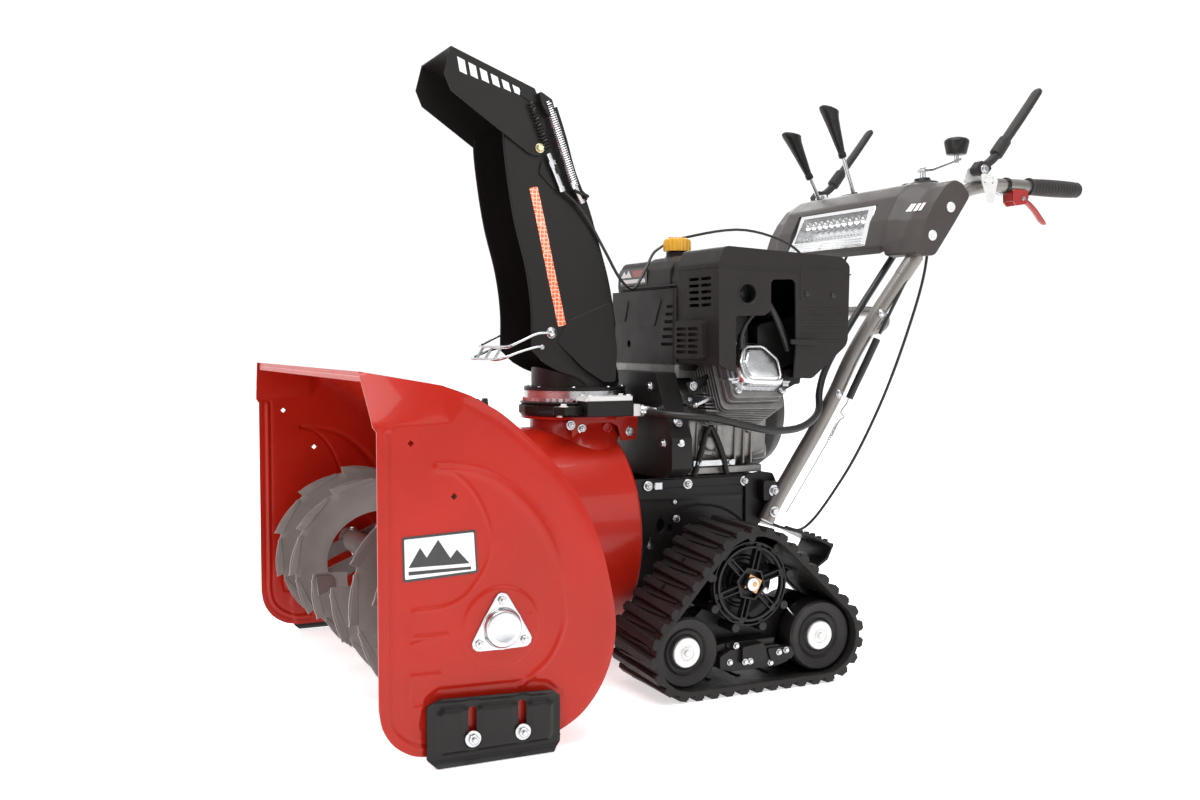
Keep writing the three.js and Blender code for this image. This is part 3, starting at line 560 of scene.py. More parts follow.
TUBE = mat("tube_paint", (0.25, 0.230, 0.215), 0.36, metal=0.75, coat=0.2, coat_rough=0.15, bumps=[("fine", 1800, 0.08, 0.15)], rvar=(30, 0.06), cvar=(20, 0.88))
ENGPL = mat("engine_moulding", (0.0175, 0.0145, 0.0132), 0.52, spec=0.26, bumps=[("fine", 2300, 0.35, 0.25), ("noise", 120, 0.03, 0.6)], rvar=(25, 0.06), cvar=(15, 0.82))
DASHPL = mat("dash_moulding", (0.056, 0.047, 0.044), 0.42, spec=0.35, bumps=[("fine", 2400, 0.3, 0.22)], rvar=(25, 0.06), cvar=(15, 0.85))
PLASTIC = mat("black_moulding", (0.0085, 0.0075, 0.0070), 0.38, spec=0.35, bumps=[("fine", 2200, 0.2, 0.2)], rvar=(30, 0.07), cvar=(20, 0.8))
GRIP = mat("grip_rubber", (0.021, 0.0175, 0.0165), 0.62, spec=0.3, bumps=[("fine", 1800, 0.3, 0.25)], rvar=(40, 0.08), cvar=(30, 0.75), sheen=0.1)
RUBBER = mat("sheath", (0.012, 0.0115, 0.011), 0.45, bumps=[("fine", 1500, 0.15, 0.15)], rvar=(40, 0.1), cvar=(25, 0.8))
TRACK = mat("track_rubber", (0.0150, 0.0125, 0.0115), 0.58, spec=0.32, bumps=[("fine", 900, 0.4, 0.5), ("noise", 90, 0.12, 1.0)], rvar=(35, 0.12), cvar=(22, 0.62), cvar2=(150, (0.05, 0.044, 0.04), 0.62, 0.8))
WHEEL = mat("idler_rubber", (0.014, 0.012, 0.0115), 0.5, spec=0.35, bumps=[("fine", 1100, 0.3, 0.3)], rvar=(35, 0.1), cvar=(22, 0.7))
YELLOW = mat("cap_yellow", (0.80, 0.40, 0.02), 0.40, coat=0.2, bumps=[("fine", 1500, 0.15, 0.2)], rvar=(60, 0.06), cvar=(40, 0.85))
TRIG = mat("trigger_red", (0.36, 0.018, 0.014), 0.30, coat=0.5, bumps=[("fine", 1200, 0.08, 0.2)], rvar=(40, 0.06), cvar=(30, 0.8))
BRASS = mat("copper_block", (0.62, 0.36, 0.18), 0.32, metal=1.0, bumps=[("fine", 800, 0.15, 0.3)], rvar=(70, 0.1), cvar=(60, 0.7))
WHITE = mat("white_plated", (0.78, 0.78, 0.77), 0.35, metal=0.3, bumps=[("fine", 900, 0.08, 0.2)], rvar=(50, 0.08), cvar=(30, 0.9))
LENS = mat("lens_clear", (0.95, 0.96, 0.97), 0.06, trans=0.92, ior=1.45, bumps=[("noise", 300, 0.02, 0.2)], rvar=(60, 0.03))
REFL = mat("lamp_reflector", (0.86, 0.87, 0.88), 0.16, metal=1.0, rvar=(60, 0.05), bumps=[("noise", 300, 0.05, 0.3)])
ZDARK = mat("dark_spring", (0.05, 0.048, 0.047), 0.35, metal=0.8, rvar=(80, 0.1), cvar=(60, 0.7))
PALEGOLD = mat("passivated_bolt", (0.70, 0.62, 0.40), 0.30, metal=1.0, rvar=(80, 0.1), cvar=(70, 0.8))
# ------------------------------------------------------------------ intake housing
BACKP = [(-169, 25), (-138, 44), (-111, 75), (-92, 116), (-84.5, 166), (-96, 239), (-111, 290), (-142, 353), (-173, 395), (-203, 425), (-232, 452), (-261, 475), (-300, 497)]
BACK = cr(BACKP, 5)
PLATE = [(-443, 531), (-437, 459)] + [(-432, 452), (-432, 110)] + cr([(-432, 86), (-427, 60), (-412, 36), (-388, 20), (-366, 14.8)], 5) + [(-200, 14.4)] + BACK + [(-339, 512)]
FOLD = [(-470, 458), (-332, 462), (-300, 497), (-240, 560)]
BEAD = cr([(-416, 450), (-416, 300), (-416, 130), (-415.5, 83), (-408.4, 58.3), (-391.5, 41.5), (-367, 30.8), (-340, 30)], 6)
OUTER = cr([(-350.9, 402.7), (-319.8, 400.2), (-284.4, 391.3), (-258.7, 376.7), (-235.3, 357.1), (-201, 315.5), (-179.6, 271.6), (-169.5, 218), (-166.2, 182.4), (-174.4, 153), (-190.7, 127), (-209.6, 111.6), (-230.9, 96.6)], 5)
INNER = cr([(-350.9, 402.7), (-324.8, 393.2), (-299.8, 367.9), (-282.1, 332.9), (-274.5, 303.2), (-279.8, 271.8), (-295.3, 246.2), (-310.7, 228.1), (-325.9, 219.8), (-340.9, 215.1), (-384.1, 213.2)], 5) + [(-386, 178), (-338.7, 177.5), (-383.2, 170.6), (-386.7, 168.5)]
BRK2 = [(-349, 125.4), (-387.2, 126.2), (-389.8, 101.4), (-386.3, 82.9), (-358, 83.7)]
RECESS = [(-366, -20), (-380, 60), (-371.5, 96.7), (-351.6, 110), (-222.9, 106.9), (-190.8, 101.8), (-166, 83), (-160, -20)]


def sstep(x):
    x = np.clip(x, 0, 1)
    return x * x * (3 - 2 * x)


def plate_h(P):
    y, z = P[:, 0], P[:, 1]
    h = np.zeros(len(P))
    h -= 1.9 * np.exp(-(segdist(P, BEAD) / 2.6) ** 2)
    h += 0.7 * np.exp(-((segdist(P, BEAD) - 5.5) / 2.2) ** 2)
    d = segdist(P, OUTER)
    wid = 3.2 + 3.6 * np.exp(-((z - 320) / 70) ** 2)
    h += 2.7 * np.exp(-(d / wid) ** 2)
    h += 1.5 * np.exp(-(segdist(P, INNER) / 2.4) ** 2)
    h += 1.5 * np.exp(-(segdist(P, BRK2) / 2.4) ** 2)
    r = np.hypot(y + 261, z - 180.3)
    h += 1.7 * (1 - sstep((r - 53.5) / 4.5))
    ang = np.degrees(np.arctan2(z - 180.3, y + 261))
    arc = np.where((ang < 20) & (ang > -170), 1.0, 0.0)
    h += 1.1 * arc * (1 - sstep((r - 46) / 3.0))
    ins = inpoly(P, RECESS)
    dr = segdist(P, RECESS, True)
    h -= 2.4 * np.where(ins, sstep(dr / 7.0), 0.0)
    edge = np.minimum(segdist(P, BACK), 60)
    h -= 3.2 * np.clip(1 - edge / 17.0, 0, 1) ** 1.6
    # wing above the fold
    zf = np.interp(y, [-443, -332, -300, -240], [458.5, 462, 497, 560])
    sl = np.interp(y, [-443, -339, -300], [0.71, 0.28, 0.0])
    up = np.maximum(z - zf, 0)
    up = np.where(up > 0, up, 0)
    h -= sl * (up - 2.5 * (1 - np.exp(-up / 2.5)))
    return h


def side_plate(s, name):
    g = G()
    holes = []
    for cy, cz in ((-386.1, 436.6), (-327, 363.3)):
        holes.append([(cy, cz + 5), (cy - 5, cz), (cy, cz - 5), (cy + 5, cz)])
    lines = [BEAD, OUTER, INNER, BRK2, RECESS[1:7], [(-437, 459), (-332, 462), (-300, 497)], [(-261 + 52 * math.cos(t), 180.3 + 52 * math.sin(t)) for t in np.linspace(0, 2 * pi, 40)], BACK]
    sheet(g, PLATE, holes, 7.0, plate_h, 3.0, lambda u, v, h: (s * (431.7 + h if 431.7 + h < 434 else 434), u, v), fine=(lines, 9.0, 2.4))
    o = obj(name, g, RED, "root", sharp=60, replaces=name)
    return o


def plate_trim(s, tag):
    # bolts through the plate, the stud nuts and a generic striped badge with no text
    g = G()
    for y in (-305.5, -233):
        lathe(g, [(11.5, 0), (11.5, 1.2), (10.8, 1.6), (0, 1.6)], (s * 441.2, y, 34.3), (s, 0, 0), 28)
        bolt(g, (s * 442.6, y, 34.3), (s, 0, 0), 7.6, 5.6, stud=3.6, phase=0.2)
    obj("shoe_nuts_" + tag, g, ZINC, "root", bevel=0.4)
    g = G()
    B = rounded([(-399.5, 313), (-297.5, 317), (-294, 258), (-398.5, 253)], 3)
    prism(g, [(a, b) for a, b in B], s * 431.9, s * 432.35, "x", 0)
    inner = rounded([(-396.5, 309.8), (-300, 313.6), (-297, 261.4), (-395.6, 256.6)], 2)
    prism(g, inner, s * 432.2, s * 432.5, "x", 1)
    # mountain-and-flake motif: three peaks and a bar
    prism(g, [(-391, 272), (-375, 298), (-366, 284), (-350, 307), (-333, 281), (-324, 292), (-306, 272)], s * 432.4, s * 432.62, "x", 0)
    prism(g, [(-391, 262), (-391, 267), (-304, 267.5), (-304, 263.5)], s * 432.4, s * 432.62, "x", 0)
    obj("badge_" + tag, g, [BADGE_DARK, BADGE_WHITE], "root", sharp=30)


BADGE_DARK = mat("badge_dark", (0.022, 0.02, 0.02), 0.32, coat=0.3, rvar=(60, 0.05), cvar=(50, 0.8))
BADGE_WHITE = mat("badge_white", (0.80, 0.80, 0.79), 0.34, coat=0.3, rvar=(60, 0.05), cvar=(50, 0.93))
side_plate(1, "side_plate_left")
side_plate(-1, "side_plate_right")
plate_trim(1, "left")
plate_trim(-1, "right")


def wrapper():
    # curved back sheet as a strip profile swept across, with a folded front lip and a rolled lower edge
    prof = BACK + [(-339, 511.5), (-390, 521.5), (-438, 530)]
    P = np.array(resample(prof, 8, loop=False))
    T = np.gradient(P, axis=0)
    T /= np.linalg.norm(T, axis=1)[:, None]
    Nn = np.stack([-T[:, 1], T[:, 0]], 1)
    xs = sorted(set(list(np.linspace(-427, 427, 62)) + [-180, 180]))
    vs, fs = [], []
    n = len(P)
    for x in xs:
        for i in range(n):
            y, z = P[i]
            lim = np.interp(z, [0, 462, 497, 512, 531], [427.4, 427.4, 427, 414, 377]) if z > 462 and y < -290 else 427.4
            xx = max(-lim, min(lim, x * (lim / 427.0)))
            vs.append((xx, y, z))
    m = len(xs)
    for j in range(m):
        for i in range(n):
            x, y, z = vs[j * n + i]
            vs.append((x, y + Nn[i][0] * 2.6, z + Nn[i][1] * 2.6))
    o = m * n
    hole = lambda x, y, z: math.hypot(x, z - 240) < 177.5 and y > -262 and z < 470
    dead = set()
    for j in range(m - 1):
        for i in range(n - 1):
            c = [j * n + i, j * n + i + 1, (j + 1) * n + i + 1, (j + 1) * n + i]
            q = np.mean([vs[k] for k in c], 0)
            if hole(*q):
                dead.add((j, i))
                continue
            fs.append(tuple(c))
            fs.append(tuple(k + o for k in c)[::-1])
    cnt = {}
    for f in [f for f in fs if max(f) < o]:
        for k in range(4):
            cnt[(f[k], f[(k + 1) % 4])] = 1
    for (a, b) in list(cnt):
        if (b, a) not in cnt:
            fs.append((b, a, a + o, b + o))
    g = G()
    g.put(vs, fs)
    # front lip with a rolled edge
    tube(g, [(x, -437.5, 524.5 + 0.0) for x in np.linspace(-376, 376, 30)], 2.4, 8)
    prism(g, [(-439.5, 530.5), (-436.5, 529), (-436.0, 517), (-439.0, 517)], -376, 376, "x")
    # stiffening edge at the bottom behind the scraper
    prism(g, rounded([(-172, 22), (-168, 26), (-186, 30), (-189, 26)], 1), -426, 426, "x")
    ob = obj("housing_wrapper", g, RED, "root", sharp=40, replaces="housing_wrapper")
    # drum collar: short barrel from the back sheet, rear wall, neck
    g = G()
    n = 96
    R0, R1 = 181, 177.2
    def front_y(x, z):
        zz = max(26, min(497, z))
        return float(np.interp(zz, [p[1] for p in BACK], [p[0] for p in BACK]))
    rings = []
    for R, back in ((R0, 88.0), (R1, 84.4)):
        fr, mid, bk = [], [], []
        for k in range(n):
            t = 2 * pi * k / n
            x, z = R * math.cos(t), 240 + R * math.sin(t)
            fr.append((x, front_y(x, z) + 0.8, z))
            bk.append((x, back, z))
        rings.append((fr, bk))
    (f0, b0), (f1, b1) = rings
    vs = f0 + [(x * 0.9995, y - 5, z) for x, y, z in b0] + [(x * 0.975, 88, 240 + (z - 240) * 0.975) for x, y, z in b0] + [(0, 88.6, 240)]
    vs += f1 + b1 + [(0, 84.4, 240)]
    A, B_, C_, D_ = 0, n, 2 * n, 3 * n
    E_, F_, H_ = 3 * n + 1, 4 * n + 1, 5 * n + 1
    fs = []
    for k in range(n):
        q = (k + 1) % n
        fs += [(A + k, A + q, B_ + q, B_ + k), (B_ + k, B_ + q, C_ + q, C_ + k), (C_ + k, C_ + q, D_), (E_ + q, E_ + k, F_ + k, F_ + q), (F_ + q, F_ + k, H_), (A + q, A + k, E_ + k, E_ + q)]
    g.put(vs, fs)
    d = obj("impeller_drum", g, RED, "root", sharp=40, replaces="impeller_drum")
    cut = G()
    cyl(cut, (0, 43, 300), (0, 43, 470), 76, 64)
    boolean(d, cut)
    g = G()
    # neck blended into the barrel: flares toward the drum's sides
    m, n2 = 14, 72
    vs, fs = [], []
    for i in range(m + 1):
        f = i / m
        for k in range(n2):
            t = 2 * pi * k / n2
            c, s_ = math.cos(t), math.sin(t)
            flare = 1 + 0.36 * (1 - f) ** 2.2 * abs(c) ** 1.6
            x, y = 79.5 * flare * c, 43 + 79.5 * s_ * (1 + 0.0 * f)
            y = min(y, 43 + 79.5)
            zb = 240 + math.sqrt(max(0, 180.2 ** 2 - min(abs(x), 178) ** 2))
            z = zb + (437 - zb) * f
            vs.append((x, y, z))
    inner = [(x * 0.955, 43 + (y - 43) * 0.955, z) for x, y, z in vs]
    o2 = len(vs)
    vs += inner
    for i in range(m):
        for k in range(n2):
            q = (k + 1) % n2
            a = (i * n2 + k, i * n2 + q, (i + 1) * n2 + q, (i + 1) * n2 + k)
            fs += [a, tuple(v + o2 for v in a)[::-1]]
    for k in range(n2):
        q = (k + 1) % n2
        fs += [(q, k, k + o2, q + o2), (m * n2 + k, m * n2 + q, m * n2 + q + o2, m * n2 + k + o2)]
    g.put(vs, fs)
    ringlathe(g, [(78, 436.6), (95, 436.6), (95, 441.6), (78, 441.6)], (0, 43, 0), (0, 0, 1), 72)
    obj("drum_neck", g, RED, "root", sharp=40, bevel=0.5)
    # bracket tab on the neck's left with a hole boss, and its bolts
    g = G()
    T = rounded([(86, 438), (86, 410), (92, 402), (104, 402), (110, 412), (112, 424), (150, 424), (150, 440)], 3)
    prism(g, [(y - 52, z) for y, z in rounded([(52, 439), (54, 404), (64, 402), (74, 418), (84, 430), (128, 430), (140, 424), (148, 398), (176, 400), (180, 436), (176, 440)], 3)], 78, 81.5, "x")
    lathe(g, [(9, 0), (9, 2.2), (5, 3.0), (4.6, -2)], (81, 68, 421), (1, 0, 0), 24)
    prism(g, rounded([(2, 436.5), (60, 436.5), (100, 436.5), (124, 436.5), (124, 440.5), (2, 440.5)], 0.5), 60, 86, "x")
    obj("neck_bracket", g, RED, "root", bevel=0.8, sharp=40)
    g = G()
    for p, d in (((81.5, 20, 421), (1, 0, 0)), ((84, -2, 428), (1, 0, 0)), ((81.5, 112, 414), (1, 0, 0))):
        bolt(g, p, d, 6.0, 4.2, washer=8.6, stud=2)
    obj("neck_bolts", g, ZINC, "root", bevel=0.4)


wrapper()
# seam flange of the drum: bead round the rear rim
g = G()
tube(g, [(179.6 * math.cos(t), 80, 240 + 179.6 * math.sin(t)) for t in np.linspace(0, 2 * pi, 97)[:-1]], 1.4, 8, loop=True)
tube(g, [(181 * math.cos(t) * 1.0, max(-80, float(np.interp(max(26, min(497, 240 + 181 * math.sin(t))), [p[1] for p in BACK], [p[0] for p in BACK]))) + 6, 240 + 181 * math.sin(t)) for t in np.linspace(0, 2 * pi, 97)[:-1]], 1.6, 8, loop=True)
obj("drum_beads", g, RED, "root")
g = G()
prism(g, [(-236, 4.8), (-236, 10.2), (-178, 16.2), (-172, 20.2), (-169.4, 17.4), (-176, 10.8)], -426.5, 426.5, "x")
obj("scraper_bar", g, RED, "root", bevel=0.7, replaces="scraper_bar")
g = G()
for x in np.linspace(-380, 380, 7):
    dome(g, (x, -205, 14), (0, -0.09, 1), 6.5, 3, washer=None)
obj("scraper_bolts", g, ZINC, "root")
# clean-out tool clip on top of the housing
g = G()
prism(g, rounded([(-268, 484), (-262, 490), (-222, 461), (-214, 446), (-219, 444), (-228, 458)], 2), 296, 344, "x")
prism(g, rounded([(-250, 477), (-246, 489), (-240, 489), (-238, 470)], 2), 318, 326, "x")
obj("tool_clip", g, PLASTIC, "root", bevel=0.8)


def bearing(s, name):
    g = G()
    lobes = []
    for a in (90, 210, 330):
        c = (-261 + 38 * math.cos(math.radians(a)), 180.3 + 38 * math.sin(math.radians(a)))
        for k in (-62, -35, 0, 35, 62):
            lobes.append((c[0] + 10.5 * math.cos(math.radians(a + k)), c[1] + 10.5 * math.sin(math.radians(a + k))))
        e = math.radians(a + 60)
        for q in (-12, 0, 12):
            e2 = math.radians(a + 60 + q)
            lobes.append((-261 + 30.5 * math.cos(e2), 180.3 + 30.5 * math.sin(e2)))
    prism(g, lobes, s * 433.6, s * 436.6, "x")
    lathe(g, [(30, 2.6), (27.5, 4.2), (26.2, 9.5), (24.4, 12.2), (21.0, 13.0), (17.5, 12.2), (0, 11.6)], (s * 433.2, -261, 180.3), (s, 0, 0), 48)
    o = obj(name, g, ZINC, "root", bevel=0.5, sharp=32, replaces=name)
    g = G()
    for a in (90, 210, 330):
        c = (s * 436.4, -261 + 38 * math.cos(math.radians(a)), 180.3 + 38 * math.sin(math.radians(a)))
        bolt(g, c, (s, 0, 0), 6.2, 4.2, stud=2.6, phase=a)
    obj(name + "_bolts", g, ZINC, "root", bevel=0.35)


bearing(1, "auger_bearing_left")
bearing(-1, "auger_bearing_right")


def shoe(s, name, body):
    g = G()
    OUT = rounded([(-369, 12), (-357, 1), (-188, 1), (-176, 12), (-176, 78), (-190, 88), (-352, 94.5), (-369, 84)], 5)
    slots = []
    for y in (-305.5, -233):
        slots.append([(y + 6.0 * math.cos(t), (72 if math.sin(t) > 0 else 34.6) + 6.0 * math.sin(t)) for t in np.linspace(0, 2 * pi, 25)[:-1]])
    PAN = [(-352, 14), (-192, 14), (-184, 24), (-184, 70), (-196, 78), (-348, 84), (-358, 74), (-358, 26)]
    def top(P):
        ins = inpoly(P, PAN)
        d = segdist(P, PAN, True)
        h = np.where(ins, 4.6 * sstep(d / 9.0), 0.0)
        for y in (-305.5, -233):
            ln = [(y, 32), (y, 75)]
            h -= 2.6 * (1 - sstep((segdist(P, ln) - 9) / 5.0))
        h += 9.5 * np.clip(1 - (P[:, 1] - 0) / 11.0, 0, 1) ** 1.5
        h += 7.0 * np.clip(1 - (93 - (P[:, 1] + 0.045 * (P[:, 0] + 352))) / 8.0, 0, 1) ** 1.5
        return np.maximum(h, 0.4)
    sheet(g, OUT, slots, 5.0, top, 3.4, lambda u, v, h: (s * min(437.4 + h, 453.6), u, v), fine=([PAN + PAN[:1]], 10.0, 2.6))
    obj(name, g, BLACK, body, sharp=50, replaces=name)


shoe(1, "skid_shoe_left", "skid_left")
shoe(-1, "skid_shoe_right", "skid_right")


# ------------------------------------------------------------------ auger
def flight(s, name):
    g = G()
    x0, x1, turns = 62, 404, 1.15
    per = 13
    for phase in (0, pi):
        n = 7 * per
        vo, fo = [], []
        # toothed outer edge: long rise, short step
        nT = 13
        N = nT * 8
        for i in range(N + 1):
            f = i / N
            th = phase + f * turns * 2 * pi
            u = (i % 8) / 8.0
            r_out = 149 + 12.0 * u if i < N else 161
            if i % 8 == 0 and i > 0:
                pass
            x = x0 + (x1 - x0) * f
            tw = 4.5
            c, sn = math.cos(th), math.sin(th)
            for r, dx in ((r_out, 0.0), (134, 1.0), (120, 2.0), (105, 2.4), (90, 2.0)):
                bead = 1.6 if r in (120,) else 0.0
                vo.append((s * (x + dx + bead), -261 + r * c, 180.3 + r * sn))
        m = 5
        K = len(vo)
        vo2 = [(p[0] + s * 3.4, p[1], p[2]) for p in vo]
        fs = []
        for i in range(N):
            for j in range(m - 1):
                a = (i * m + j, i * m + j + 1, (i + 1) * m + j + 1, (i + 1) * m + j)
                fs += [a, tuple(k + K for k in a)[::-1]]
            fs += [(i * m, (i + 1) * m, (i + 1) * m + K, i * m + K), (i * m + m - 1 + K, (i + 1) * m + m - 1 + K, (i + 1) * m + m - 1, i * m + m - 1)]
        for j in range(m - 1):
            fs += [(j, j + K, j + 1 + K, j + 1), (N * m + j + 1, N * m + j + 1 + K, N * m + j + K, N * m + j)]
        g.put(vo + vo2, fs)
        # raised teeth plates: a notch cut look from small wedges on the ribbon's outer rim
        for q in range(nT):
            f0, f1 = (q + 0.08) / nT, (q + 0.98) / nT
            pts = []
            for f, r in ((f0, 146), (f0 + 0.004, 152), (f1, 161.5), (f1, 147)):
                th = phase + f * turns * 2 * pi
                pts.append((x0 + (x1 - x0) * f, th, r))
            vs = [(s * (x + o_), -261 + r * math.cos(th), 180.3 + r * math.sin(th)) for o_ in (-0.9, 4.3) for x, th, r in pts]
            g.put(vs, [(0, 1, 2, 3), (7, 6, 5, 4), (0, 4, 5, 1), (1, 5, 6, 2), (2, 6, 7, 3), (3, 7, 4, 0)])
        # arms between sleeve and ribbon: bent strips
        for f in (0.08, 0.5, 0.92):
            th = phase + f * turns * 2 * pi
            x = x0 + (x1 - x0) * f + 5
            c, sn = math.cos(th), math.sin(th)
            vs = []
            for r, w, dx in ((14, 12, 0), (40, 13, 0.5), (92, 17, 0.5), (124, 16, 1.2)):
                for sw in (-1, 1):
                    for tk in (-2.6, 2.6):
                        vs.append((s * (x + dx + tk), -261 + r * c - sw * w * sn, 180.3 + r * sn + sw * w * c))
            fs = []
            for i in range(3):
                a = i * 4
                fs += [(a, a + 4, a + 6, a + 2), (a + 1, a + 3, a + 7, a + 5), (a, a + 1, a + 5, a + 4), (a + 2, a + 6, a + 7, a + 3)]
            fs += [(0, 2, 3, 1), (12, 13, 15, 14)]
            g.put(vs, fs)
        # tab bent along the rim at the ribbon's ends
        for f, dirn in ((0.02, -1), (0.985, 1)):
            th = phase + f * turns * 2 * pi
            for k in range(1):
                vs = []
                for dt in (-0.11, 0.11):
                    c, sn = math.cos(th + dt), math.sin(th + dt)
                    for r in (112, 146):
                        for tk in (0, 3.4):
                            xx = x0 + (x1 - x0) * f + dirn * (12 if r == 146 else 0) + tk
                            vs.append((s * max(50, min(414, xx)), -261 + r * c, 180.3 + r * sn))
                g.put(vs, [(0, 2, 3, 1), (4, 5, 7, 6), (0, 4, 6, 2), (1, 3, 7, 5), (0, 1, 5, 4), (2, 6, 7, 3)])
    lathe(g, [(22, 0), (22, 372)], (s * 46, -261, 180.3), (s, 0, 0), 32)
    for xx in (64, 396):
        lathe(g, [(24.5, 0), (24.5, 8)], (s * xx - (4 * s), -261, 180.3), (s, 0, 0), 32)
    obj(name, g, GREY, "auger", bevel=0.7, sharp=32, replaces=name)
    g = G()
    for xx in (80, 388):
        bolt(g, (s * xx, -261, 202), (0, 0, 1), 6.5, 5, flange=True)
        bolt(g, (s * xx, -261, 158.6), (0, 0, -1), 6.5, 5, stud=3)
    obj(name + "_pins", g, ZINC, "auger", bevel=0.3)


flight(1, "auger_flight_left")
flight(-1, "auger_flight_right")
g = G()
lathe(g, [(0, 0), (13, 0), (14, 1), (14, 879), (13, 880), (0, 880)], (-440, -261, 180.3), (1, 0, 0), 32)
lathe(g, [(44, -8), (45, -7), (45, 7), (44, 8), (0, 8)], (0, -261, 180.3), (1, 0, 0), 48)
obj("auger_shaft", g, ZINC, "auger", replaces="auger_shaft")
# gear case: two pressed-together castings with a bolted rim, drawn round the worm wheel
g = G()
lathe(g, [(26, -42), (27, -41), (27, -30), (46, -27), (53, -22), (54, -18), (54, 18), (53, 22), (46, 27), (27, 30), (27, 41), (26, 42)], (0, -261, 180.3), (1, 0, 0), 48)
lathe(g, [(23, -316), (23.5, -314), (23.5, -190), (22, -187)], (0, 0, 240), (0, 1, 0), 36)
lathe(g, [(28, -320 + 4), (28, -308)], (0, 0, 240), (0, 1, 0), 36)
ringlathe(g, [(52, -4), (61, -4), (61, 4), (52, 4)], (0, -261, 180.3), (1, 0, 0), 48)
obj("auger_gearbox", g, RED, "root", bevel=0.8, replaces="auger_gearbox")
g = G()
for k in range(6):
    t = k * pi / 3 + 0.4
    bolt(g, (4, -261 + 57 * math.cos(t), 180.3 + 57 * math.sin(t)), (1, 0, 0), 4.5, 3.5)
obj("gearbox_bolts", g, ZINC, "root")
# impeller: four scoops with curled tips on a hub
g = G()
lathe(g, [(28, -72), (28, 62)], (0, 0, 240), (0, 1, 0), 36)
for k in range(4):
    th = math.radians(k * 90 + 20)
    fn = lambda x, y, z: (x * math.cos(th) - z * math.sin(th), y, 240 + x * math.sin(th) + z * math.cos(th))
    b = G()
    prof = [(20, -3), (140, -3), (152, 0), (160, 6), (168, 16), (165, 18), (157, 9.5), (150, 4), (139, 1.4), (20, 1.4)]
    prism(b, prof, -70, 60, "y")
    g.join(b, fn)
obj("impeller_fan", g, RED, "impeller", bevel=0.8)
g = G()
lathe(g, [(11.5, -300), (12, -299), (12, -73)], (0, 0, 240), (0, 1, 0), 28)
lathe(g, [(12, 62), (12, 150)], (0, 0, 240), (0, 1, 0), 28)
lathe(g, [(10, 149), (76, 149.8), (78, 151), (78, 153), (69, 160), (69, 162), (78, 169), (78, 171), (76, 172), (10, 172)], (0, 0, 240), (0, 1, 0), 64)
o = obj("impeller", g, ZINC, "impeller", replaces="impeller")
g = G()
lathe(g, [(10, 149), (33, 150), (34, 152), (27, 159), (27, 163), (34, 169), (34, 171), (33, 172), (10, 172)], (0, 0, 440), (0, 1, 0), 48)
lathe(g, [(12, 147.5), (12.3, 148.5), (12.3, 189)], (0, 0, 440), (0, 1, 0), 28)
obj("engine_pulley", g, ZINC, "engine_pulley", replaces="engine_pulley")
g = G()
def beltloop(r_off, w):
    pts = []
    for (cz, r) in ((440, 34 + r_off), (240, 78 + r_off)):
        pass
    d = 200.0
    ra, rb = 440, 240
    R1, R2 = 34 + r_off, 78 + r_off
    al = math.acos((R2 - R1) / d)
    out = [(R1 * math.sin(t), 440 + R1 * math.cos(t)) for t in np.linspace(-al + 0, al, 30)]
    # top pulley arc from -angle to +angle measured from +z
    b = math.asin((R2 - R1) / d)
    top = [(R1 * math.cos(t), 440 + R1 * math.sin(t)) for t in np.linspace(b, pi - b, 30)]
    bot = [(R2 * math.cos(t), 240 + R2 * math.sin(t)) for t in np.linspace(pi - b, 2 * pi + b, 50)]
    return top + bot
bo, bi = beltloop(8, 0), beltloop(1.2, 0)
n = len(bo)
vs = [(x, 155, z) for x, z in bo] + [(x, 167, z) for x, z in bo] + [(x, 158, z) for x, z in bi] + [(x, 164, z) for x, z in bi]
fs = []
for i in range(n):
    j = (i + 1) % n
    fs += [(i, j, n + j, n + i), (2 * n + j, 2 * n + i, 3 * n + i, 3 * n + j), (j, i, 2 * n + i, 2 * n + j), (n + i, n + j, 3 * n + j, 3 * n + i)]
g.put(vs, fs)
obj("drive_belt", g, RUBBER, "root", replaces="drive_belt")
# ------------------------------------------------------------------ chute
CB = cr([(96, 486), (95.5, 540), (92, 590), (77, 676), (57, 745), (38.5, 803), (14, 861), (-2, 915), (-20, 966)], 6)
CF = cr([(-69, 556), (-69, 623), (-78, 690), (-99, 772), (-112, 850), (-118, 911), (-116, 925)], 6)


def lerp_line(P, n):
    P = np.array(P, float)
    d = np.r_[0, np.cumsum(np.linalg.norm(np.diff(P, axis=0), axis=1))]
    t = np.linspace(0, d[-1], n)
    return np.stack([np.interp(t, d, P[:, k]) for k in range(P.shape[1])], 1)


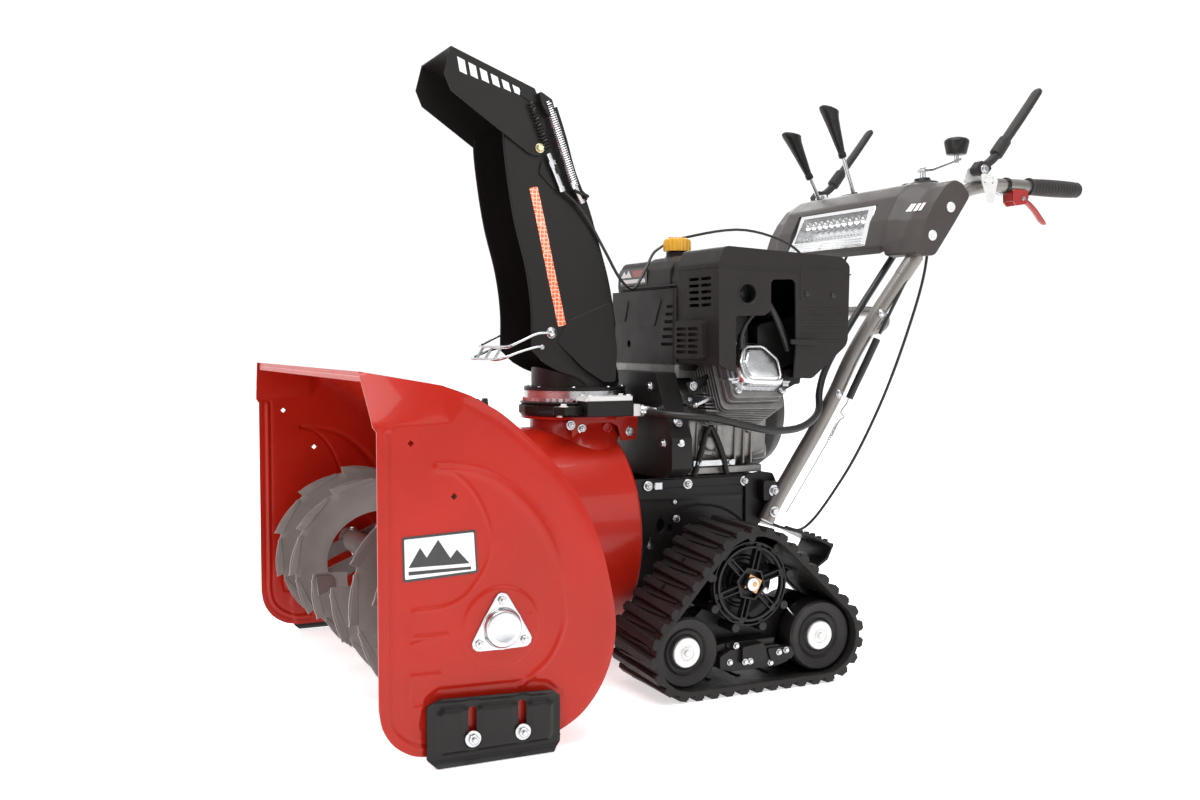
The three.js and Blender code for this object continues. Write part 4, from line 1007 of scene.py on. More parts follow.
def chute_body():
    g = G()
    low = [((120, 486), (38, 487)), ((120, 500), (19.5, 508)), ((116, 515), (-20, 521)), ((108, 530), (-52, 538)), ((98, 546), (-68, 556))]
    nb = 34
    up_b = lerp_line([p for p in CB if p[1] > 548], nb)
    up_f = lerp_line(CF, nb)
    secs = []
    for i in range(len(low) - 1):
        for k in range(3):
            f = k / 3
            secs.append((np.array(low[i][0]) * (1 - f) + np.array(low[i + 1][0]) * f, np.array(low[i][1]) * (1 - f) + np.array(low[i + 1][1]) * f, (i + f) / (len(low) + 2)))
    for i, (b, f) in enumerate(zip(up_b, up_f)):
        secs.append((b, f, min(1.0, 4.0 / 7 + i / 9.0)))
    m = 44
    def ring(b, f, w, off):
        pts = []
        for k in range(m + 1):
            u = k / m
            th = pi * u
            cx, cy = 77 * math.cos(th), math.sin(th)          # half circle, cy 0..1
            # rounded U
            L1, L2, Rr = 0.36, 0.64, 0.06
            if u < L1:
                q = u / L1
                ux, uy = 75.0, q * 0.91
            elif u > L2:
                q = (1 - u) / (1 - L2)
                ux, uy = -75.0, q * 0.91
            else:
                q = (u - L1) / (L2 - L1)
                a = q * pi
                e = 0.22
                ux = 75 * np.sign(math.cos(a)) * abs(math.cos(a)) ** e
                uy = 0.91 + 0.09 * abs(math.sin(a)) ** e
            x = cx * (1 - w) + ux * w
            yy = cy * (1 - w) + uy * w
            p = f + (b - f) * yy
            # crease strip along the free edges
            dist = np.linalg.norm(p - f)
            if abs(ux) > 74.9:
                x -= math.copysign(1.0 * w * (1 / (1 + math.exp((dist - 13) / 1.2))), x)
                x -= math.copysign(0.9 * w * math.exp(-((dist - 62) / 4.0) ** 2), x)
            pts.append((x, p[0], p[1]))
        P = np.array(pts)
        if off:
            T = np.gradient(P, axis=0)
            T /= np.linalg.norm(T, axis=1)[:, None]
            d = (b - f) / np.linalg.norm(b - f)
            ax = np.array([1.0, 0, 0]); ay = np.array([0, d[0], d[1]])
            nn = np.stack([-(T @ ay), (T @ ax)], 1)
            P = P - off * (nn[:, :1] * ax + nn[:, 1:] * ay) * (-1)
            c = np.array([0, *(f + (b - f) * 0.5)])
        return P
    outer = [ring(b, f, w, 0) for b, f, w in secs]
    inner = [ring(b, f, w, 2.6) for b, f, w in secs]
    if abs(inner[20][0][0]) > abs(outer[20][0][0]):
        inner = [ring(b, f, w, -2.6) for b, f, w in secs]
    vs = [tuple(p) for r in outer for p in r] + [tuple(p) for r in inner for p in r]
    S, M = len(secs), m + 1
    o = S * M
    fs = []
    for i in range(S - 1):
        for k in range(m):
            a = (i * M + k, i * M + k + 1, (i + 1) * M + k + 1, (i + 1) * M + k)
            fs += [a, tuple(v + o for v in a)[::-1]]
        fs += [(i * M, (i + 1) * M, (i + 1) * M + o, i * M + o), (i * M + m + o, (i + 1) * M + m + o, (i + 1) * M + m, i * M + m)]
    for k in range(m):
        fs += [(k, k + o, k + 1 + o, k + 1), ((S - 1) * M + k + 1, (S - 1) * M + k + 1 + o, (S - 1) * M + k + o, (S - 1) * M + k)]
    g.put(vs, fs)
    # front half of the round foot
    n = 36
    vs, fs = [], []
    for R in (77, 74.4):
        for k in range(n + 1):
            t = pi + pi * k / n
            x, y = R * math.cos(t), 43 + R * math.sin(t)
            zt = float(np.interp(y, [-34, -20, 19.5, 38, 43], [526, 520, 507, 490, 488]))
            vs += [(x, y, 486), (x, y, zt)]
    q = 2 * (n + 1)
    for k in range(n):
        a = (2 * k, 2 * k + 2, 2 * k + 3, 2 * k + 1)
        fs += [a, tuple(v + q for v in a)[::-1], (2 * k + 1, 2 * k + 3, 2 * k + 3 + q, 2 * k + 1 + q), (2 * k, 2 * k + q, 2 * k + 2 + q, 2 * k + 2)]
    fs += [(0, 1, 1 + q, q), (2 * n, 2 * n + q, 2 * n + 1 + q, 2 * n + 1)]
    g.put(vs, fs)
    # cheek apron that closes the gap between the curved lower edge and the foot
    ringlathe(g, [(74.5, 486.1), (90, 486.1), (90, 491.6), (77.5, 492)], (0, 43, 0), (0, 0, 1), 72)
    obj("chute_body", g, SATIN, "chute", sharp=38, replaces="chute_body")
    # rolled free edges
    for s in (1, -1):
        g = G()
        edge = [(s * 74.6, p[0], p[1]) for p in [(19.5, 508), (-20, 521), (-52, 538)]]
        edge = cr([(s * 76, 30, 497), (s * 75.4, 10, 511), (s * 74.8, -20, 521), (s * 73.9, -52, 538)], 5)[:-1] + [(s * 73.2, p[0], p[1]) for p in CF]
        tube(g, edge, 1.75, 8)
        obj("chute_edge_" + ("left" if s > 0 else "right"), g, SATIN, "chute")
    # deep diagonal crease panels on each cheek (thin raised gusset)
    for s in (1, -1):
        g = G()
        gus = rounded([(-2, 606), (-24, 570), (26, 524), (64, 500), (88, 500), (90, 560), (80, 640)], 8)
        prism(g, gus, s * 74.2, s * 75.7, "x")
        obj("chute_gusset_" + ("left" if s > 0 else "right"), g, SATIN, "chute", bevel=1.1)
    # foot screws
    g = G()
    for a in (20, 65, 110, 160, 200, 250, 290, 335):
        t = math.radians(a)
        dome(g, (84 * math.cos(t), 43 + 84 * math.sin(t), 491.6), (0, 0, 1), 4.2, 2.6)
    for s in (1, -1):
        dome(g, (s * 75.6, -34, 585), (s, 0, 0), 8.4, 5.0, washer=9.5)
        bolt(g, (s * 75.4, -52, 561), (s, 0, 0), 5.0, 4, stud=1.5)
    obj("chute_screws", g, ZINC, "chute", bevel=0.2)
    g = G()
    for s in (1, -1):
        bolt(g, (s * 80.6, -56, 893), (s, 0, 0), 6.6, 4.4, washer=8.4)
        cyl(g, (s * 73, -56, 893), (s * 81, -56, 893), 4, 16)
    obj("hood_pivots", g, PALEGOLD, "chute", bevel=0.3)


chute_body()
REFLEX = bpy.data.materials.new("reflex_strip")
REFLEX.use_nodes = True
_n, _l = REFLEX.node_tree.nodes, REFLEX.node_tree.links
_tc, _mp, _vo = _n.new("ShaderNodeTexCoord"), _n.new("ShaderNodeMapping"), _n.new("ShaderNodeTexVoronoi")
_mp.inputs["Scale"].default_value = (1, 1, 1)
_vo.feature = "DISTANCE_TO_EDGE"
_vo.inputs["Scale"].default_value = 150
_vo.inputs["Randomness"].default_value = 0.25
_rp = _n.new("ShaderNodeMapRange")
for _k, _v in (("From Min", 0.06), ("From Max", 0.14), ("To Min", 0), ("To Max", 1)):
    _rp.inputs[_k].default_value = _v
_mx = _n.new("ShaderNodeMix")
_mx.data_type = "RGBA"
_mx.inputs[6].default_value = (0.93, 0.62, 0.46, 1)
_mx.inputs[7].default_value = (0.86, 0.13, 0.03, 1)
_l.new(_tc.outputs["Object"], _vo.inputs["Vector"])
_l.new(_vo.outputs["Distance"], _rp.inputs["Value"])
_l.new(_rp.outputs["Result"], _mx.inputs[0])
_l.new(_mx.outputs[2], _n["Principled BSDF"].inputs["Base Color"])
_n["Principled BSDF"].inputs["Roughness"].default_value = 0.22
_n["Principled BSDF"].inputs["Coat Weight"].default_value = 0.6
_b = _n.new("ShaderNodeBump")
_b.inputs["Strength"].default_value = 0.4
_b.inputs["Distance"].default_value = 0.0004
_l.new(_rp.outputs["Result"], _b.inputs["Height"])
_l.new(_b.outputs["Normal"], _n["Principled BSDF"].inputs["Normal"])
for s, tag in ((1, "left"), (-1, "right")):
    g = G()
    ax = cr([(-66, 828), (-52, 768), (-36, 695), (-14, 597)], 8)
    A = np.array(ax)
    T = np.gradient(A, axis=0)
    T /= np.linalg.norm(T, axis=1)[:, None]
    Nn = np.stack([-T[:, 1], T[:, 0]], 1)
    wdt = 7.6
    out = [tuple(p) for p in A + Nn * wdt] + [tuple(p) for p in (A - Nn * wdt)[::-1]]
    prism(g, rounded(out, 3), s * 74.8, s * 76.0, "x")
    obj("reflector_" + tag, g, REFLEX, "chute", bevel=0.3)

# hood: roof with turned edges and two cheeks
g = G()
roof = [(-210, 1047), (-64.5, 991), (-46, 944), (-44, 900)]
RO = cr([(-64.5, 991), (-54, 968), (-47, 944), (-43.5, 905)], 6)
out = [(-210.5, 1046.6)] + RO
inn = [(p[0] - 2.6, p[1] - 0.6) for p in RO[::-1]]
inn = inn[:-1] + [(-66.5, 988.7), (-212, 1044)]
prism(g, out + inn, -79.8, 79.8, "x")
CH = [(-222, 1002), (-210.5, 1046.8)] + RO + [(-46, 885), (-56, 880), (-70, 881), (-83, 888), (-120, 913), (-211, 975.5)]
for s in (1, -1):
    prism(g, rounded(CH[:2], 0) + CH[2:-5] + cr([(-46, 885), (-56, 880), (-70, 881), (-83, 888), (-120, 913)], 4) + [(-211, 975.5)], s * 77.4, s * 80, "x")
hoodo = obj("chute_hood", g, SATIN, "hood", bevel=1.1, seg=3, sharp=40, replaces="chute_hood")
# cross brace plate at the back of the hood and the spring's anchor ear
g = G()
prism(g, rounded([(-64, 986), (-40, 972), (-34, 952), (-46, 944), (-58, 962)], 4), 80, 96, "x")
prism(g, rounded([(-90, 992), (-62, 981), (-58, 968), (-72, 966), (-92, 978)], 3), 79.6, 82, "x")
obj("hood_ear", g, SATIN, "hood", bevel=0.9)
g = G()
for s in (1, -1):
    for i in range(7):
        f = i / 7.0
        y0 = -200 + 19 * i
        zt = 1038 - (y0 + 210) * 0.385
        h = 23 - 2.1 * i
        sk = 7
        a = [(y0, zt - 4), (y0 + 12.5, zt - 8.8), (y0 + 12.5 + sk * 0.6, zt - 8.8 - h), (y0 + sk * 0.6, zt - 4 - h)]
        prism(g, a, s * 79.9, s * 80.25, "x")
obj("hood_stripes", g, BADGE_WHITE, "hood")
# long return spring with hooks, rod end and barrel
g = G()
spring(g, (90, -46, 968), (90, 2, 832), 6.6, 1.15, 38, per=12)
tube(g, cr([(90, -46, 968), (88, -50, 976), (84, -54, 981), (82, -52, 976)], 6), 1.2, 8)
cyl(g, (90, 2, 833), (90, 18, 804), 4.4, 16)
cyl(g, (90, -1, 838), (90, 4, 828), 5.6, 6)
sp = G()
o = obj("hood_spring", g, ZINC, "hood", replaces="hood_spring")
o.parent = None
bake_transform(o)
g = G()
spring(g, (86, -74, 965), (86, -44, 890), 5.4, 1.3, 15, per=12)
o = obj("cable_spring", g, ZDARK, "hood")
o.parent = None
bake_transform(o)
g = G()
prism(g, rounded([(-52, 872), (-22, 866), (30, 822), (34, 812), (26, 808), (-30, 826), (-56, 852)], 4), 75, 77.6, "x")
prism(g, rounded([(-36, 866), (-30, 866), (-24, 852), (-30, 850)], 1), 77, 93, "x")
prism(g, rounded([(0, 826), (26, 818), (28, 813), (2, 820)], 1), 77, 97, "x")
obj("cable_bracket", g, SATIN, "chute", bevel=0.7)
g = G()
cyl(g, (86, -43, 884), (86, -36, 868), 4.2, 14)
cyl(g, (86, -38, 872), (86, -33, 860), 6.6, 6)
cyl(g, (86, -34, 861), (86, -19, 827), 4.6, 14)
cyl(g, (86, -20, 830), (86, -17, 822), 5.6, 14)
obj("cable_barrel", g, ZINC, "chute", bevel=0.4)

# wire guard
g = G()
tube(g, cr([(77.2, -34, 585), (78.3, -44, 585), (78.5, -62, 583), (78.3, -92, 570), (74, -108, 562.5), (62, -112, 561), (20, -112, 561), (-20, -112, 561), (-62, -112, 561), (-74, -108, 562.5), (-78.3, -92, 570), (-78.5, -62, 583), (-78.3, -44, 585), (-77.2, -34, 585)], 5), 2.6, 10)
tube(g, cr([(77.2, -50, 562), (78.4, -62, 561), (78, -92, 553), (75, -116, 544), (64, -127, 540), (22, -128, 540), (-22, -128, 540), (-64, -127, 540), (-75, -116, 544), (-78, -92, 553), (-78.4, -62, 561), (-77.2, -50, 562)], 5), 2.6, 10)
for x in (-44, 0, 44):
    tube(g, [(x, -126.6, 538.6), (x, -119, 550), (x, -111.4, 562.4)], 2.5, 8)
obj("chute_guard", g, ZINC, "chute", sharp=50, replaces="chute_guard")

# ring: fixed black housing, toothed ring gear, worm case
g = G()
ringlathe(g, [(78.6, 442.6), (97, 442.6), (97, 449), (94.5, 451), (94.5, 461), (97, 463), (97, 466), (78.6, 466)], (0, 43, 0), (0, 0, 1), 72)
prism(g, rounded([(60, 2), (70, -24), (112, -47), (127, -30), (98, 40), (80, 30)], 6), 447, 461, "z")
prism(g, rounded([(-40, -46), (-14, -58), (14, -58), (40, -46), (40, -34), (-40, -34)], 5), 446, 460, "z")
obj("chute_gear_housing", g, BLACK, "root", bevel=0.9, sharp=35, replaces="chute_gear_housing")
g = G()
prism(g, rounded([(84, 9), (127.6, 9), (127.6, 97), (84, 97)], 3), 443.4, 470, "z")
obj("worm_case", g, BLACK, "root", bevel=1.6, seg=3)
g = G()
prism(g, rounded([(82, 12), (126, 12), (126, 96), (82, 96)], 3), 470, 477.6, "z")
prism(g, [(12, 470), (12, 477.6), (6, 470)], 84, 126, "x")
prism(g, rounded([(100, 98), (123, 98), (123, 112), (100, 112)], 2), 443, 463, "z")
lathe(g, [(9, 0), (9, 8), (8, 9.5), (0, 9.5)], (112, 111, 452), (0, 1, -0.05), 6)
lathe(g, [(10.2, 0), (10.2, 3)], (112, 118, 451.6), (0, 1, -0.05), 24)
for x, y in ((90, 18), (120, 18), (90, 90), (120, 90)):
    bolt(g, (x, y, 477.4), (0, 0, 1), 4.6, 3.2)
bolt(g, (118, -30, 461), (0, 0, 1), 5.4, 4, washer=8)
bolt(g, (110, -34, 447.2), (0, 0, -1), 5.4, 4)
bolt(g, (76, -2, 452), (1, -0.25, 0), 5.6, 4, washer=8)
obj("worm_cover", g, WHITE, "root", bevel=0.8)
g = G()
n = 96
rp = []
for k in range(n):
    t = 2 * pi * k / n
    r = 92.6 if k % 2 else 89.2
    rp.append((r * math.cos(t), 43 + r * math.sin(t)))
base = len(g.v)
vs = [(x, y, z) for z in (466.8, 472.5) for x, y in rp] + [(77.5 * math.cos(2 * pi * k / n), 43 + 77.5 * math.sin(2 * pi * k / n), z) for z in (466.8, 472.5) for k in range(n)]
fs = []
for k in range(n):
    q = (k + 1) % n
    fs += [(k, q, n + q, n + k), (n + k, n + q, 3 * n + q, 3 * n + k), (2 * n + q, 2 * n + k, 3 * n + k, 3 * n + q), (q, k, 2 * n + k, 2 * n + q)]
g.put(vs, fs)
ringlathe(g, [(77.5, 472.5), (90.5, 472.5), (90.5, 484), (92.6, 484.4), (92.6, 485.6), (77.5, 485.6)], (0, 43, 0), (0, 0, 1), 72)
obj("chute_ring_gear", g, ZINC, "chute", sharp=32, replaces="chute_ring_gear")
# ------------------------------------------------------------------ track drive
AXLE, FRONT, REAR = (223, 175.5, 97), (103, 75, 75), (359, 77, 77)
TIN, TOUT = 172.4, 321.6


def loop_around(circles, off, n=36):
    pts = []
    for (a, b, r) in circles:
        for k in range(n):
            t = 2 * pi * k / n
            pts.append((a + (r + off) * math.cos(t), b + (r + off) * math.sin(t)))
    pts = sorted(set(pts))
    def half(lst):
        h = []
        for p in lst:
            while len(h) > 1 and (h[-1][0] - h[-2][0]) * (p[1] - h[-2][1]) - (h[-1][1] - h[-2][1]) * (p[0] - h[-2][0]) <= 1e-9:
                h.pop()
            h.append(p)
        h.pop()
        return h
    return half(pts) + half(pts[::-1])


def track(s, name):
    base = loop_around([AXLE, FRONT, REAR], -9.0, 72)
    L = np.array(base + base[:1])
    d = np.r_[0, np.cumsum(np.linalg.norm(np.diff(L, axis=0), axis=1))]
    total = d[-1]
    N = 37
    per = 8
    m = N * per
    tt = np.linspace(0, total, m + 1)[:-1]
    P = np.stack([np.interp(tt, d, L[:, 0]), np.interp(tt, d, L[:, 1])], 1)
    T = np.roll(P, -1, 0) - np.roll(P, 1, 0)
    T /= np.linalg.norm(T, axis=1)[:, None]
    Nn = np.stack([T[:, 1], -T[:, 0]], 1)        # outward for a counter-clockwise loop
    c = P.mean(0)
    if ((P - c) * Nn).sum() < 0:
        Nn = -Nn
    g = G()
    xs = [TIN, TIN + 2, 247, TOUT - 2, TOUT]
    # carcass
    vs, fs = [], []
    prof = [(TIN, -7.5), (TIN, -1), (TIN + 1.5, 0.5), (TOUT - 1.5, 0.5), (TOUT, -1), (TOUT, -7.5), (TOUT - 14, -8), (TOUT - 14, -5.5), (TIN + 14, -5.5), (TIN + 14, -8)]
    q = len(prof)
    for i in range(m):
        for x, h in prof:
            vs.append((s * x, P[i][0] + Nn[i][0] * h, P[i][1] + Nn[i][1] * h))
    for i in range(m):
        j = (i + 1) % m
        for k in range(q):
            l = (k + 1) % q
            fs.append((i * q + k, j * q + k, j * q + l, i * q + l))
    g.put(vs, fs)
    def at(u, h):
        u = u % total
        y = np.interp(u, d, L[:, 0]); z = np.interp(u, d, L[:, 1])
        i = int(u / total * m) % m
        return (y + Nn[i][0] * h, z + Nn[i][1] * h)
    # outer lugs: slanted, in two alternating halves with a side foot, plus ribs on the inside
    pitch = total / N
    for i in range(N):
        u0 = i * pitch
        halves = [(TIN + 0.3, 252, 0.0), (242, TOUT - 0.3, 0.0)] if i % 2 else [(TIN + 0.3, TOUT - 0.3, 0.0)]
        for (xa, xb, o_) in halves:
            sh = 5.5
            vs = []
            for x in (xa, xb):
                lean = sh * ((x - 247) / 75.0)
                for du, h in ((-8.2, 0.2), (-5.6, 8.6), (5.6, 8.6), (8.2, 0.2)):
                    vs.append((s * x, *at(u0 + du + lean, h)))
            g.put(vs, [(0, 1, 2, 3), (7, 6, 5, 4), (0, 4, 5, 1), (1, 5, 6, 2), (2, 6, 7, 3), (3, 7, 4, 0)])
        # low cross tie between lugs
        vs = []
        for x in (TIN + 22, TOUT - 22):
            for du, h in ((pitch * 0.5 - 4, 0.2), (pitch * 0.5 - 2.4, 3.0), (pitch * 0.5 + 2.4, 3.0), (pitch * 0.5 + 4, 0.2)):
                vs.append((s * x, *at(u0 + du, h)))
        g.put(vs, [(0, 1, 2, 3), (7, 6, 5, 4), (0, 4, 5, 1), (1, 5, 6, 2), (2, 6, 7, 3), (3, 7, 4, 0)])
        # side scallop block on the outer edge
        for xe in (TOUT - 10, TIN):
            vs = []
            for x in (xe + 0.15, xe + 9.85):
                for du, h in ((-10, -7.6), (-8.4, 5.6), (8.4, 5.6), (10, -7.6)):
                    ln = 5.5 * ((x - 247) / 75.0)
                    vs.append((s * x, *at(u0 + du + ln, h)))
            g.put(vs, [(0, 1, 2, 3), (7, 6, 5, 4), (0, 4, 5, 1), (1, 5, 6, 2), (2, 6, 7, 3), (3, 7, 4, 0)])
        # inner drive ribs
        if i % 2 == 0:
            for xa, xb in ((TIN + 50, TIN + 92), (TOUT - 16.5, TOUT - 1.5)):
                vs = []
                for x in (xa, xb):
                    for du, h in ((-5, -5.2), (-3.2, -8.0), (3.2, -8.0), (5, -5.2)):
                        vs.append((s * x, *at(u0 + du, h)))
                g.put(vs, [(0, 1, 2, 3), (7, 6, 5, 4), (0, 4, 5, 1), (1, 5, 6, 2), (2, 6, 7, 3), (3, 7, 4, 0)])
    # small studs between the lugs
    for i in range(N):
        for x in (214, 282):
            y, z = at((i + 0.5) * pitch, 0.2)
            k = int((i + 0.5) * pitch / total * m) % m
            lathe(g, [(4.0, 0), (3.4, 2.2), (0, 2.4)], (s * x, y, z), (0, Nn[k][0], Nn[k][1]), 10)
    obj(name, g, TRACK, "track_unit", bevel=0.9, seg=2, sharp=32, replaces=name)


track(1, "track_left")
track(-1, "track_right")


def idler(s, name, c, body):
    y, z, r = c
    R = r - 18
    g = G()
    at = (0, y, z)
    # two tyres with a bellied tread and a dished side, hub between
    for xa, xb in ((182, 222), (264, 304)):
        w = xb - xa
        lathe(g, [(24, 3.0), (R * 0.62, 3.2), (R * 0.78, 1.2), (R - 3.5, 0.2), (R, 3.6), (R + 0.2, w / 2), (R, w - 3.6), (R - 3.5, w - 0.2), (R * 0.8, w - 1.4), (R * 0.66, w - 6.5), (29, w - 8), (26, w - 5)], (s * xa, y, z), (s, 0, 0), 64)
    lathe(g, [(14, 181), (14, 300)], at, (s, 0, 0), 28)
    ringlathe(g, [(R * 0.60, 298.6), (R * 0.63, 300.4), (R * 0.66, 298.6)], at, (s, 0, 0), 64)
    obj(name, g, WHEEL, body, sharp=34, replaces=name)
    g = G()
    lathe(g, [(24.0, 294), (24.0, 302.4), (22.8, 303.6), (13, 303.8), (12, 302.6), (0, 302.6)], at, (s, 0, 0), 44)
    lathe(g, [(9.4, 302.4), (9.4, 303.8), (0, 303.8)], at, (s, 0, 0), 28)
    bolt(g, (s * 303.6, y, z), (s, 0, 0), 5.6, 4.0)
    obj(name + "_hub", g, WHITE, body, bevel=0.4)


idler(1, "front_idler_left", FRONT, "front_idler_left")
idler(1, "rear_idler_left", REAR, "rear_idler_left")
idler(-1, "front_idler_right", FRONT, "front_idler_right")
idler(-1, "rear_idler_right", REAR, "rear_idler_right")


def sprocket(s, name, body):
    y, z, r = AXLE
    g = G()
    at = (0, y, z)
    # outer open wheel: thin double ring, six U spokes made of two ribs, hexagonal hub
    ringlathe(g, [(58.0, 292), (62.4, 292), (62.4, 302), (58.0, 302)], at, (s, 0, 0), 72)
    ringlathe(g, [(66.5, 288), (69.5, 288), (69.5, 300), (66.5, 300)], at, (s, 0, 0), 72)
    for k in range(6):
        th = math.radians(k * 60 + 15)
        c, sn = math.cos(th), math.sin(th)
        R2 = lambda b, cc: (y + b * c - cc * sn, z + b * sn + cc * c)
        for off in (-4.6, 4.6):
            pts = [R2(24, off - 1.3), R2(59.5, off - 1.3), R2(59.5, off + 1.3), R2(24, off + 1.3)]
            prism(g, pts, s * 291, s * 303, "x")
        pts = [R2(24, -4), R2(58.5, -4), R2(58.5, 4), R2(24, 4)]
        prism(g, pts, s * 288, s * 295, "x")
        pts = [R2(55.5, -5.6), R2(59, -5.6), R2(59, 5.6), R2(55.5, 5.6)]
        prism(g, pts, s * 291, s * 302.6, "x")
        pts = [R2(60.5, -6), R2(69, -4), R2(69, 4), R2(60.5, 6)]
        prism(g, pts, s * 288, s * 299, "x")
    hexo = [(y + 28.5 * math.cos(math.radians(60 * k + 15 + 30)), z + 28.5 * math.sin(math.radians(60 * k + 15 + 30))) for k in range(6)]
    hexi = [(y + 24.5 * math.cos(math.radians(60 * k + 45)), z + 24.5 * math.sin(math.radians(60 * k + 45))) for k in range(6)]
    vs = [(s * x, a, b) for x in (284, 303) for a, b in hexo] + [(s * x, a, b) for x in (284, 303) for a, b in hexi]
    fs = []
    for k in range(6):
        q = (k + 1) % 6
        fs += [(k, q, 6 + q, 6 + k), (6 + k, 6 + q, 18 + q, 18 + k), (12 + q, 12 + k, 18 + k, 18 + q), (q, k, 12 + k, 12 + q)]
    g.put(vs, fs)
    lathe(g, [(24.4, 284), (24.4, 291), (12, 291), (12, 284)], at, (s, 0, 0), 48)
    # inner solid drive disc and the drum between
    lathe(g, [(12, 186), (70, 186), (70, 202), (12, 202)], at, (s, 0, 0), 64)
    lathe(g, [(30, 202), (30, 284)], at, (s, 0, 0), 40)
    # outer web behind the spokes with a raised ring and stiffening pads
    lathe(g, [(29, 268), (57, 268), (57, 272), (44, 272), (42, 274.5), (38, 274.5), (36, 272), (29, 272)], at, (s, 0, 0), 64)
    # drive bars between the discs, ending in round knobs
    for k in range(9):
        th = math.radians(k * 40 + 8)
        cy_, cz_ = y + 76 * math.cos(th), z + 76 * math.sin(th)
        lathe(g, [(7.0, 186), (7.6, 188), (7.6, 300), (7.0, 302), (0, 302)], (0, cy_, cz_), (s, 0, 0), 20)
        pts = []
        for rr, dd in ((64, -5), (77, -4), (77, 4), (64, 5)):
            a, b = math.cos(th), math.sin(th)
            pts.append((y + rr * a - dd * b, z + rr * b + dd * a))
        prism(g, pts, s * 283, s * 299, "x")
    obj(name, g, PLASTIC, body, bevel=0.7, sharp=34, replaces=name)
    g = G()
    lathe(g, [(12, 20), (12, 306), (10.5, 308.5), (0, 308.5)], at, (s, 0, 0), 32)
    obj(name + "_axle", g, ZINC, body)
    g = G()
    # square locking block with a lynch-pin fold
    a = math.radians(-28)
    R3 = lambda p, q_: (y + 3 + p * math.cos(a) - q_ * math.sin(a), z + p * math.sin(a) + q_ * math.cos(a))
    prism(g, [R3(-13, -12), R3(13, -12), R3(13, 12), R3(-13, 12)], s * 296, s * 304.5, "x")
    prism(g, [R3(-9.5, -8), R3(10.5, -8), R3(10.5, -4.5), R3(-9.5, -4.5)], s * 304.3, s * 307.5, "x")
    prism(g, [R3(-9.5, 4.5), R3(10.5, 4.5), R3(10.5, 8), R3(-9.5, 8)], s * 304.3, s * 307.5, "x")
    lathe(g, [(5, 0), (5, 3.6), (4, 4.4), (0, 4.4)], (s * 304.4, y + 3, z), (s, 0, 0), 20)
    obj(name + "_block", g, BRASS, body, bevel=0.7)
    g = G()
    dome(g, (s * 299, y + 27, z - 14), (s, 0, 0), 6.8, 3.6)
    obj(name + "_screw", g, WHITE, body)


sprocket(1, "sprocket_left", "sprocket_left")
sprocket(-1, "sprocket_right", "sprocket_right")


def track_frame(s, name, bar):
    g = G()
    beam = rounded([(78, 66), (80, 90), (124, 102), (187, 160), (200, 198), (246, 198), (259, 160), (334, 104), (382, 94), (384, 64), (334, 54), (112, 54)], 9)
    prism(g, beam, s * 229, s * 257, "x")
    prism(g, rounded([(166, 40), (166, 60), (186, 70), (276, 70), (298, 60), (298, 40), (276, 34.5), (186, 34.5)], 4), s * 262, s * 300, "x")
    prism(g, rounded([(186, 66), (182, 80), (276, 80), (272, 66)], 3), s * 262, s * 292, "x")
    prism(g, rounded([(204, 46), (204, 74), (244, 78), (250, 62), (246, 46)], 4), s * 290, s * 308, "x")
    prism(g, rounded([(262, 44), (254, 66), (300, 66), (308, 52), (300, 44)], 4), s * 286, s * 304, "x")
    # adjuster arm to the front wheel with its guide
    prism(g, rounded([(112, 44), (112, 62), (206, 62), (206, 44)], 3), s * 268, s * 286, "x")
    prism(g, rounded([(150, 64), (150, 74), (200, 82), (206, 70)], 3), s * 268, s * 288, "x")
    cyl(g, (s * 225, FRONT[0], FRONT[1]), (s * 262, FRONT[0], FRONT[1]), 17, 28)
    cyl(g, (s * 225, REAR[0], REAR[1]), (s * 262, REAR[0], REAR[1]), 17, 28)
    obj(name, g, BLACK, "track_unit", bevel=1.3, seg=2, sharp=34, replaces=name)
    if bar:
        g = G()
        cyl(g, (-226, 228, 70), (226, 228, 70), 9, 24)
        obj("track_crossbar", g, BLACK, "track_unit")
    g = G()
    for y_, z_, x_ in ((196, 76, 300), (208, 50, 308), (218, 50, 308), (276, 58, 304), (290, 60, 304), (262, 41, 300), (184, 50, 300)):
        bolt(g, (s * x_, y_, z_), (s, 0, 0), 4.2, 3.4, washer=5.6)
    cyl(g, (s * 290, 336, 88), (s * 291, 300, 128), 1.4, 8)
    obj(name + "_bolts", g, ZINC, "track_unit", bevel=0.25)


track_frame(1, "track_frame_left", True)
track_frame(-1, "track_frame_right", False)
# foot pedal: pressed tread with a serrated end, on a pivot tube
g = G()
prof = [(346, 251), (350, 256), (401, 235), (466, 216), (519, 192.5), (520, 189), (508, 164), (481, 148), (478, 151), (504, 168), (514.5, 188), (465, 211.5), (400, 230)]
prism(g, prof, 18, 118, "x")
for i in range(5):
    for y0, z0 in ((478, 211.6), (492, 205), (506, 198.8)):
        box(g, 26 + i * 20, 36 + i * 20, y0 - 3, y0 + 3, z0 - 3, z0 + 3.6)
for i in range(6):
    box(g, 20 + i * 17.6, 29 + i * 17.6, 512, 521, 187, 193.5)
cyl(g, (14.5, 352, 250), (120.4, 352, 250), 7, 24)
obj("foot_pedal", g, BLACK, "foot_pedal", bevel=0.9, replaces="foot_pedal")
